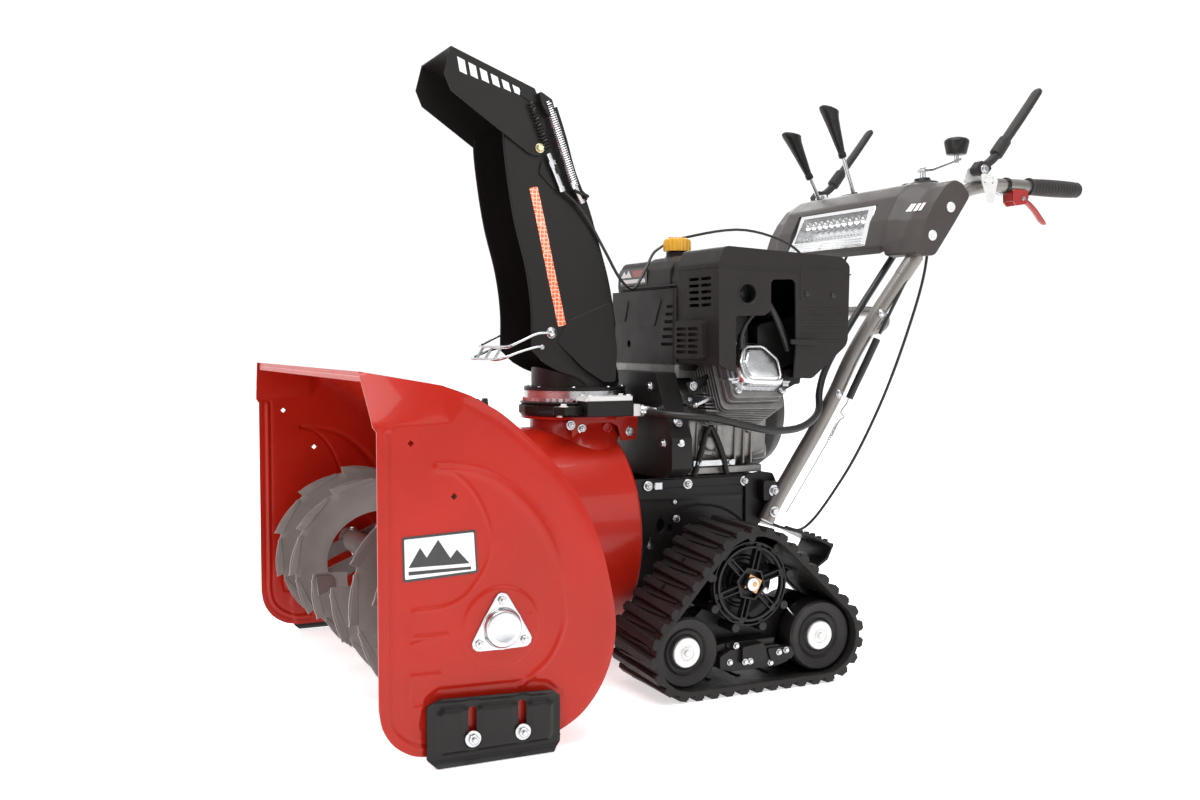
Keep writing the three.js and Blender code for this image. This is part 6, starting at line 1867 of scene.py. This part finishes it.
def dash():
    # skin lofted across x: end caps, tapering shoulders, a deeper middle
    def sec(k):
        A = np.array(DASH)
        B = np.array(NOSE + [(610, 724)])
        Bn = np.array([(584, 728), (576, 744), (588, 792), (612, 836), (640, 860), (682, 868), (702, 858), (718, 836), (680, 782), (637, 724), (612, 721)])
        return A * (1 - k) + Bn * k
    g = G()
    sm = lambda P: rounded([tuple(p) for p in P], [4, 12, 20, 26, 26, 22, 16, 12, 20, 14, 4], 5)
    xs = [(-252, 0, 0.975), (-250.6, 0, 0.992), (-247, 0, 1), (-214, 0, 1), (-204, 0.12, 1), (-190, 0.62, 1), (-178, 0.95, 1), (-168, 1, 1), (168, 1, 1), (178, 0.95, 1), (190, 0.62, 1), (204, 0.12, 1), (214, 0, 1), (247, 0, 1), (250.6, 0, 0.992), (252, 0, 0.975)]
    vs, fs = [], []
    m = None
    c0 = np.array([655, 790.0])
    for x, k, sc_ in xs:
        o_ = np.array(sm(sec(k)))
        o_ = c0 + (o_ - c0) * sc_
        m = len(o_)
        vs += [(x, a, b) for a, b in o_]
    for i in range(len(xs) - 1):
        for k in range(m):
            q = (k + 1) % m
            fs.append((i * m + k, i * m + q, (i + 1) * m + q, (i + 1) * m + k))
    fs += [tuple(range(m))[::-1], tuple(range((len(xs) - 1) * m, len(xs) * m))]
    g.put(vs, fs)
    o = obj("dash_console", g, DASHPL, "root", bevel=1.4, seg=3, sharp=36, replaces="dash_console")
    k = G()
    IN = [(599, 690), (610, 761), (621, 789), (638, 817), (661, 845.5), (683, 858.5), (697, 852), (709, 838), (830, 838), (760, 690)]
    prism(k, IN, -248.6, 248.6, "x")
    boolean(o, k)
    k = G()
    IN2 = [(588, 690), (580.5, 744), (592, 790), (615.5, 833), (642.5, 855.6), (682, 863.4), (698, 855), (709, 838), (830, 838), (760, 690)]
    prism(k, IN2, -178, 178, "x")
    boolean(o, k)
    k = G()
    prism(k, [(560, 748.6), (560, 826), (617.6, 826), (617.6, 748.6)], -127.8, 127.8, "x")
    boolean(o, k)
    k = G()
    for x in (-160, -50):
        prism(k, rounded([(x - 7, 660), (x + 7, 660), (x + 7, 742), (x - 7, 742)], 5, 5), 834, 885, "z")
    cyl(k, (160, 684, 800), (160, 684, 890), 7.4, 28)
    boolean(o, k)
    # tube shapes along the upper tubes, built as cutters but never cut from the dash
    for s in (1, -1):
        k = G()
        tube(k, cr([(s * 219, 612, 715)] + [(s * x, y, z) for x, y, z in TP[8:]], 4), 13.6, 20)
        # lever gate trims, vertical groove lips, screws, generic mark
    g = G()
    for x in (-160, -50):
        R = rounded([(x - 13, 656), (x + 13, 656), (x + 13, 744), (x - 13, 744)], 8, 6)
        r2 = rounded([(x - 7.4, 661), (x + 7.4, 661), (x + 7.4, 739), (x - 7.4, 739)], 5, 6)
        def zt(y):
            return float(np.interp(y, [640, 682, 702, 718], [860.4, 868.6, 858.6, 838]))
        n = len(R)
        R = [p for p in R if p[1] <= 722] 
        for yy in np.linspace(664, 704, 9):
            prism(g, rounded([(x + 7.6, yy), (x + 13, yy), (x + 13, yy + 2.2), (x + 7.6, yy + 2.2)], 0.5), zt(yy) - 1.0, zt(yy) + 0.9, "z")
            prism(g, rounded([(x - 13, yy), (x - 7.6, yy), (x - 7.6, yy + 2.2), (x - 13, yy + 2.2)], 0.5), zt(yy) - 1.0, zt(yy) + 0.9, "z")
    obj("gate_ticks", g, DASHPL, "root", bevel=0.3)
    g = G()
    for s in (1, -1):
        for y, z in ((672, 812), (631, 760)):
            lathe(g, [(9.5, 0), (9.3, 1.4), (7.6, 3.2), (0, 3.4)], (s * 251.6, y, z), (s, 0, 0), 24)
            lathe(g, [(3, 3.2), (3, 3.7), (0, 3.7)], (s * 251.6, y, z), (s, 0, 0), 6)
    obj("dash_screws", g, WHITE, "root")
    g = G()
    # a small angular mark instead of lettering on the left front of the dash
    def onface(y, z, d):
        return (y - d * 0.92, z + d * 0.38)
    a = []
    for i in range(3):
        x0 = 196 + i * 12
        vs = []
        for dd in (0.6, 1.2):
            for x, h in ((x0, 0), (x0 + 8, 0), (x0 + 11, 14), (x0 + 3, 14)):
                zz = 806 + h
                yy = float(np.interp(zz, [790, 820, 849], [616, 634, 658]))
                k_ = np.interp(x, [190, 204, 214], [0.62, 0.12, 0])
                yy -= k_ * 26
                vs.append((x, yy - dd * 0.84, zz + dd * 0.54))
        g.put(vs, [(0, 1, 2, 3), (7, 6, 5, 4), (0, 4, 5, 1), (1, 5, 6, 2), (2, 6, 7, 3), (3, 7, 4, 0)])
    obj("dash_mark", g, BADGE_WHITE, "root")
    # headlight: silver bezel, reflector bowls with lamps behind a ribbed clear lens
    F = lambda z: float(np.interp(z, [749, 790, 826], [576.5, 588.5, 607]))
    g = G()
    bz = [(-127, 749.6), (127, 749.6), (121, 825.4), (-121, 825.4)]
    bi = [(-112, 768), (112, 768), (104, 818), (-104, 818)]
    vs = []
    for pts, dy in ((bz, 1.0), (bi, 1.0), (bz, 12), (bi, 12)):
        for x, z in pts:
            vs.append((x, F(z) + dy - (1.2 if pts is bi and dy == 1.0 else 0), z))
    fs = []
    for k_ in range(4):
        q = (k_ + 1) % 4
        fs += [(k_, q, 4 + q, 4 + k_), (8 + q, 8 + k_, 12 + k_, 12 + q), (k_, 8 + k_, 8 + q, q), (4 + k_, 4 + q, 12 + q, 12 + k_)]
    g.put(vs, fs)
    for i in range(3):
        z0 = 752.5 + i * 5
        vs = []
        for x in (-116 + i, 116 - i):
            for zz, dy in ((z0, 0.6), (z0 + 2.6, 0.6), (z0 + 2.6, 3), (z0, 3)):
                vs.append((x, F(zz) + dy - 1.6, zz))
        g.put(vs, [(0, 1, 2, 3), (7, 6, 5, 4), (0, 4, 5, 1), (1, 5, 6, 2), (2, 6, 7, 3), (3, 7, 4, 0)])
    obj("lamp_bezel", g, REFL, "root", bevel=1.0)
    g = G()
    vs = []
    for (x, z), dy in [((p[0] * 1.0, p[1]), 22) for p in bi] + [((p[0] * 1.02, p[1]), 6) for p in bi]:
        vs.append((x, F(z) + dy, z))
    fs = [(0, 1, 2, 3)] + [(k_, 4 + k_, 4 + (k_ + 1) % 4, (k_ + 1) % 4) for k_ in range(4)]
    vs += [(p[0], p[1] + 1.2, p[2]) for p in vs]
    fs += [tuple(i + 8 for i in f)[::-1] for f in fs]
    fs += [(4, 5, 13, 12), (5, 6, 14, 13), (6, 7, 15, 14), (7, 4, 12, 15)]
    g.put(vs, fs)
    for i in range(10):
        x = -90 + i * 20
        lathe(g, [(3.0, 0), (8.4, 7), (9.2, 7.6), (9.4, 7), (9.4, 0)], (x, F(797) + 20.5, 799), (0, -1, 0.3), 20)
    obj("lamp_bowls", g, REFL, "root", sharp=40)
    g = G()
    vs = []
    for dy in (1.2, 3.8):
        for x, z in bi:
            vs.append((x, F(z) + dy, z))
    g.put(vs, [(0, 1, 2, 3), (7, 6, 5, 4), (0, 4, 5, 1), (1, 5, 6, 2), (2, 6, 7, 3), (3, 7, 4, 0)])
    for i in range(20):
        x = -100 + i * 10.4
        vs = []
        for zz in (771, 776):
            for xx, dy in ((x - 2.6, 1.3), (x, 0.0), (x + 2.6, 1.3), (x, 2.0)):
                vs.append((xx, F(zz) + dy, zz))
        g.put(vs, [(0, 1, 2, 3), (7, 6, 5, 4), (0, 4, 5, 1), (1, 5, 6, 2), (2, 6, 7, 3), (3, 7, 4, 0)])
    obj("headlight", g, LENS, "root", replaces="headlight")


dash()


# ------------------------------------------------------------------ controls
def paddle(s, name, body):
    g = G()
    cyl(g, (s * 236, 738, 882), (s * 264, 738, 882), 9, 28)
    arm = rounded([(729, 874), (723, 884), (735, 898), (748, 896), (762, 886), (748, 873)], 5)
    prism(g, arm, s * 241, s * 259, "x")
    # blade lofted with a swelling, rounded section
    line = np.array(cr([(742, 886), (770, 904), (806, 948), (842, 992), (872, 1030), (880, 1040)], 8))
    T = np.gradient(line, axis=0)
    T /= np.linalg.norm(T, axis=1)[:, None]
    Nn = np.stack([-T[:, 1], T[:, 0]], 1)
    m = len(line)
    vs, fs = [], []
    n = 20
    for i in range(m):
        f = i / (m - 1)
        wx = np.interp(f, [0, 0.12, 0.5, 0.85, 0.95, 1], [7.5, 8.5, 11.5, 11.0, 8.5, 4.5])
        wt = np.interp(f, [0, 0.1, 0.5, 0.85, 0.96, 1], [8.0, 7.0, 6.4, 5.6, 4.4, 2.4])
        for k in range(n):
            a = 2 * pi * k / n
            ex = 0.62
            cx = math.copysign(abs(math.cos(a)) ** ex, math.cos(a)) * wx
            cn = math.copysign(abs(math.sin(a)) ** ex, math.sin(a)) * wt
            p = line[i] + Nn[i] * cn
            vs.append((s * (250 + cx), p[0], p[1]))
    for i in range(m - 1):
        for k in range(n):
            q = (k + 1) % n
            fs.append((i * n + k, i * n + q, (i + 1) * n + q, (i + 1) * n + k))
    fs += [tuple(range(n))[::-1], tuple(range((m - 1) * n, m * n))]
    g.put(vs, fs)
    b = G()
    lathe(b, [(9, 26), (12, 27), (12.5, 30), (12.3, 46), (12.0, 56), (11.8, 62), (10.8, 64), (9.5, 64)], (0, 0, 0), (0, 0, 1), 28)
    d0 = np.array([0, 806 - 758, 948 - 888.0])
    d0 /= np.linalg.norm(d0)
    n0 = np.array([0, -d0[2], d0[1]])
    g.join(b, lambda x_, y_, z_: tuple(np.array([s * 250 + x_ * 1.0, 760, 891]) + n0 * y_ + d0 * z_))
    obj(name, g, GRIP, body, bevel=0.8, sharp=42, replaces=name)
    g = G()
    bolt(g, (s * 264, 738, 882), (s, 0, 0), 6.6, 4.2, washer=8.4)
    bolt(g, (s * 236, 738, 882), (-s, 0, 0), 6.6, 4.2)
    obj(name + "_pin", g, ZINC, body, bevel=0.3)
    g = G()
    prism(g, rounded([(716, 860), (724, 886), (748, 890), (758, 872), (752, 858)], 5), s * 233.0, s * 235.6, "x")
    prism(g, rounded([(730, 874), (764, 872), (768, 862), (758, 822), (748, 820), (732, 856)], 4), s * 264.2, s * 266.4, "x")
    ob = obj(name + "_mount", g, WHITE, "root", bevel=0.5)
    k = G()
    for y in (738, 756):
        for z in (858, 867):
            cyl(k, (s * 260, y, z), (s * 268, y, z), 2.0, 12)
    boolean(ob, k)
    g = G()
    ringlathe(g, [(12.6, -3.6), (14.4, -3.6), (14.4, 3.6), (12.6, 3.6)], (s * 249.2, 803, 857.9), (s * 0.08, 1, 0.0), 32)
    prism(g, rounded([(744, 846), (744, 855), (762, 855), (762, 846)], 2), s * 233, s * 236, "x")
    obj(name + "_clamp", g, PLASTIC, "root", bevel=0.6)


paddle(1, "drive_lever", "drive_lever")
paddle(-1, "auger_lever", "auger_lever")
for s, name in ((1, "trigger_left"), (-1, "trigger_right")):
    g = G()
    line = np.array(cr([(834, 834), (852, 829.4), (872, 815.5), (890, 797), (899, 790)], 8))
    T = np.gradient(line, axis=0)
    T /= np.linalg.norm(T, axis=1)[:, None]
    Nn = np.stack([-T[:, 1], T[:, 0]], 1)
    m, n = len(line), 16
    vs, fs = [], []
    for i in range(m):
        f = i / (m - 1)
        wx = np.interp(f, [0, 0.3, 0.8, 1], [6.5, 6.0, 7.0, 4.0])
        wt = np.interp(f, [0, 0.2, 0.7, 0.92, 1], [5.0, 4.6, 3.8, 3.6, 1.6])
        for k in range(n):
            a = 2 * pi * k / n
            p = line[i] + Nn[i] * math.copysign(abs(math.sin(a)) ** 0.8, math.sin(a)) * wt
            vs.append((s * (250 + math.copysign(abs(math.cos(a)) ** 0.8, math.cos(a)) * wx), p[0], p[1]))
    for i in range(m - 1):
        for k in range(n):
            q = (k + 1) % n
            fs.append((i * n + k, i * n + q, (i + 1) * n + q, (i + 1) * n + k))
    fs += [tuple(range(n))[::-1], tuple(range((m - 1) * n, m * n))]
    g.put(vs, fs)
    cyl(g, (s * 240.4, 832, 834), (s * 259.6, 832, 834), 6, 24)
    obj(name, g, TRIG, name, bevel=0.5, sharp=42, replaces=name)
    # bracket that carries it, under the bar
    g = G()
    prism(g, rounded([(808, 850), (808, 828), (816, 820), (840, 824), (846, 836), (844, 850)], 4), s * 260.4, s * 263.4, "x")
    prism(g, rounded([(808, 850), (808, 828), (816, 820), (840, 824), (846, 836), (844, 850)], 4), s * 236.6, s * 239.6, "x")
    prism(g, rounded([(808, 828), (808, 848), (811, 848), (811, 828)], 1), s * 237, s * 263, "x")
    obj(name + "_bracket", g, TRIG, "root", bevel=0.7)
    g = G()
    bolt(g, (s * 263.6, 832, 834), (s, 0, 0), 4.6, 3)
    spring(g, (s * 232, 780, 852), (s * 234, 812, 842), 3.6, 0.8, 10, per=10)
    obj(name + "_spring", g, ZINC, "root")


def shifter(x, lean, length, name):
    a = math.radians(lean)
    fn = lambda u, v, w: (x + u, 699 + v * math.cos(a) - w * math.sin(a), 830 + v * math.sin(a) + w * math.cos(a))
    b = G()
    lathe(b, [(4, 0), (4, length - 4)], (0, 0, 0), (0, 0, 1), 20)
    g = G(); g.join(b, fn)
    cyl(g, (x - 12, 699, 830), (x + 12, 699, 830), 6, 20)
    obj(name + "_rod", g, ZINC, name)
    b = G()
    L = length
    lathe(b, [(4.2, L - 52), (7.4, L - 51), (8.0, L - 47), (8.0, L - 42), (6.8, L - 40), (7.6, L - 34), (9.6, L - 16), (11.8, L + 6), (14.2, L + 26), (16.4, L + 42), (17.6, L + 50), (18.0, L + 56), (17.0, L + 61), (13.6, L + 64.6), (8.0, L + 66), (0, L + 66.4)], (0, 0, 0), (0, 0, 1), 40)
    b.v = [(x_, y_, z_ - max(0.0, z_ - (L + 30)) * 0.020 * (y_ + 18)) for x_, y_, z_ in b.v]
    g = G(); g.join(b, fn)
    obj(name, g, PLASTIC, name, sharp=50, replaces=name)
    # rubber gaiter round the slot
    g = G()
    b = G()
    for i in range(1):
        prof = [(11, 0), (11.6, 2), (9.4, 3.2), (9.8, 5), (7.8, 6.4), (7.8, 8.6), (4.6, 10)]
        lathe(b, prof, (0, 0, 34), (0, 0, 1), 28)
    g.join(b, fn)
    obj(name + "_gaiter", g, GRIP, name, sharp=50)


shifter(-160, 29, 142, "speed_lever")
shifter(-50, 21, 168, "deflector_lever")
# chute crank: spindle, flat bent arm, knob
g = G()
cyl(g, (160, 684, 846), (160, 684, 888), 6, 20)
g2 = len(g.v)
prism(g, rounded([(151, 676), (169, 676), (168, 702), (167, 773), (153, 773), (152, 702)], 5), 0, 4.4, "z")
o_ = len(g.v)
vs2 = []
for (x, y, z) in g.v:
    if z <= 4.4 + 1e-6 and z >= -1e-6:
        zz = float(np.interp(y, [677, 696, 706, 764, 772], [886, 886, 891, 912, 913.5]))
        vs2.append((x, y, zz + z))
    else:
        vs2.append((x, y, z))
g.v = vs2
cyl(g, (160, 764, 908), (160, 764, 926), 5, 20)
bolt(g, (160, 684, 890), (0, 0, 1), 6, 4, washer=8)
obj("crank_rod", g, ZINC, "crank_arm", bevel=0.4)
g = G()
n = 60
prof = [(12, 923.4), (18.0, 924), (19.0, 926), (21.8, 938), (23.6, 946.5), (23.0, 950.4), (19.6, 953.6), (12, 955.8), (0, 956.6)]
vs, fs, rings = [], [], []
for r, z in prof:
    if r < 1e-6:
        rings.append([len(vs)]); vs.append((160, 764, z))
    else:
        ring = []
        for k in range(n):
            t = 2 * pi * k / n
            lob = 1 - 0.012 * (1 if k % 6 == 0 and 19 < r < 23.4 else 0)
            ring.append(len(vs)); vs.append((160 + r * lob * math.cos(t), 764 + r * lob * math.sin(t), z))
        rings.append(ring)
for p, q in zip(rings, rings[1:]):
    for k in range(n):
        k2 = (k + 1) % n
        fs.append((p[k], p[k2], q[0]) if len(q) == 1 else (p[k], p[k2], q[k2], q[k]))
fs.append(tuple(rings[0])[::-1])
g.put(vs, fs)
obj("crank_arm", g, PLASTIC, "crank_arm", sharp=60, replaces="crank_arm")
g = G()
lathe(g, [(30, 0), (30, 3), (27, 6), (16, 9), (14, 14), (8, 15), (7.6, 15)], (160, 684, 861), (0, -0.1, 1), 44)
lathe(g, [(13, 0), (13, 2.5), (11, 4), (0, 4.4)], (112, 690, 866), (0, 0, 1), 36)
obj("crank_boot", g, PLASTIC, "root")

# ------------------------------------------------------------------ cables
def cable(name, pts, r, replaces, dens=4):
    """a sheathed line as a mesh tube along its route"""
    path = cr(pts, dens)
    g = G()
    tube(g, path, r, 14)
    return g, path


CDS = [(112, 113.5, 452), (113, 124, 451.5), (141, 131, 449), (174, 137.5, 447), (198, 164, 445), (212, 204, 441), (222, 252, 430), (226, 308, 419), (218, 376, 422), (192, 430, 446), (164, 452, 480), (146, 478, 520), (144, 532, 600), (146, 594, 684), (150, 632, 738), (157, 666, 796), (160, 683, 828), (160, 684, 844)]
CDS = [(112, 121, 451.4), (118, 127, 450.6), (141, 131, 449)] + CDS[3:]
g, path = cable("chute_drive_shaft", CDS, 6.4, "chute_drive_shaft", 5)
o = obj("chute_drive_shaft", g, RUBBER, "root", sharp=50, replaces="chute_drive_shaft")
g = G()
lathe(g, [(9.2, 0), (9.2, 14), (7.4, 18), (7.2, 26)], (112, 118, 451.6), (0.35, 0.93, -0.03), 20)
obj("shaft_ferrule", g, ZINC, "root")
DC = [(206, 664, 790), (200, 658, 700), (194, 628, 596), (180, 574, 452), (168, 500, 320), (156, 420, 232), (140, 396, 236)]
g, path = cable("drive_cable", DC, 2.6, "drive_cable", 8)
o = obj("drive_cable", g, RUBBER, "root", sharp=50, replaces="drive_cable")
DF = [(86, -18, 824), (85, 6, 806), (82, 36, 770), (79, 66, 724), (72, 100, 676), (60, 128, 662), (42, 160, 694), (18, 190, 728), (-8, 218, 742), (-34, 246, 752), (-50, 300, 768), (-52, 430, 786), (-50, 540, 756), (-50, 596, 706), (-50, 640, 706), (-50, 672, 750), (-50, 684, 806)]
g, path = cable("deflector_cable", DF, 2.6, "deflector_cable", 6)
me_ = obj("deflector_cable", g, RUBBER, "root", sharp=50, replaces="deflector_cable")
me_.parent = None
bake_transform(me_)
# black sleeve, wire hook and spring of the drive rod beside the left tube
g = G()
tube(g, [(204, 548, 575), (198, 529, 533), (191, 508, 487), (188, 500, 468)], 6.6, 16)
tube(g, [(206, 552, 584), (220, 596, 676), (226, 640, 760)], 3.0, 12)
obj("rod_sleeve", g, RUBBER, "root", bevel=0.8)
g = G()
tube(g, cr([(188, 500, 470), (186, 496, 458), (184, 490, 450), (183, 486, 442), (184, 492, 434), (182, 484, 428), (178, 470, 400)], 6), 1.7, 8)
spring(g, (181, 480, 424), (176, 464, 392), 3.2, 0.8, 9, per=10)
tube(g, [(176, 464, 392), (160, 424, 318), (142, 398, 262)], 1.3, 8)
obj("rod_hook", g, ZINC, "root")
# ------------------------------------------------------------------ floor, light, camera
fme = bpy.data.meshes.new("floor")
fme.from_pydata([(-14, -14, 0), (14, -14, 0), (14, 14, 0), (-14, 14, 0)], [], [(0, 1, 2, 3)])
fo = bpy.data.objects.new("floor", fme)
bpy.context.scene.collection.objects.link(fo)
fo.location.z = -0.0006
FLOOR = mat("floor_paper", (0.90, 0.898, 0.895), 0.6, rvar=(2, 0.05), cvar=(3, 0.99), emit=((1.0, 0.998, 0.995), 0.60))
fme.materials.append(FLOOR)

sc = bpy.context.scene
w = bpy.data.worlds.new("studio")
w.use_nodes = True
nt = w.node_tree
bg = nt.nodes["Background"]
bg.inputs[0].default_value = (1.0, 0.996, 0.99, 1)
# the backdrop is bright where it stands behind the machine and falls off round the room
tcw = nt.nodes.new("ShaderNodeTexCoord")
dot = nt.nodes.new("ShaderNodeVectorMath")
dot.operation = "DOT_PRODUCT"
dot.inputs[1].default_value = (-0.903, 0.427, 0.0)
mr = nt.nodes.new("ShaderNodeMapRange")
mr.interpolation_type = "SMOOTHSTEP"
mr.inputs[1].default_value = -0.35
mr.inputs[2].default_value = 0.35
mr.inputs[3].default_value = 0.46
mr.inputs[4].default_value = 1.06
nt.links.new(tcw.outputs["Generated"], dot.inputs[0])
nt.links.new(dot.outputs["Value"], mr.inputs[0])
nt.links.new(mr.outputs[0], bg.inputs[1])
sc.world = w


def area(name, loc, at, size, power, color=(1, 1, 1), size_y=None):
    l = bpy.data.lights.new(name, "AREA")
    l.shape = "RECTANGLE"
    l.size = size
    l.size_y = size_y or size
    l.energy = power
    l.color = color
    o = bpy.data.objects.new(name, l)
    sc.collection.objects.link(o)
    o.location = loc
    o.rotation_euler = (Vector(at) - Vector(loc)).to_track_quat("-Z", "Y").to_euler()
    o.visible_camera = False
    return o


area("key_top", (0.6, -0.6, 3.2), (0, 0, 0.4), 2.6, 98)
area("side_left", (3.0, 0.9, 1.7), (0.2, 0.0, 0.5), 1.6, 15)
area("front_low", (0.9, -3.2, 1.0), (0, -0.4, 0.4), 1.8, 22)
area("back_rim", (-2.6, 1.6, 1.9), (0, 0, 0.6), 1.8, 34)

cd = bpy.data.cameras.new("cam")
cd.lens = 36.94
cd.sensor_width = 36.0
cd.clip_start = 0.05
cd.clip_end = 60
cam = bpy.data.objects.new("cam", cd)
sc.collection.objects.link(cam)
cam.location = (1.9973, -1.1206, 0.5712)
yaw, pit = math.radians(64.69), math.radians(2.741)
fwd = Vector((-math.cos(pit) * math.sin(yaw), math.cos(pit) * math.cos(yaw), -math.sin(pit)))
cam.rotation_mode = "QUATERNION"
cam.rotation_quaternion = fwd.to_track_quat("-Z", "Y")
sc.camera = cam
sc.view_settings.view_transform = "Standard"
sc.view_settings.look = "None"

bpy.context.view_layer.update()
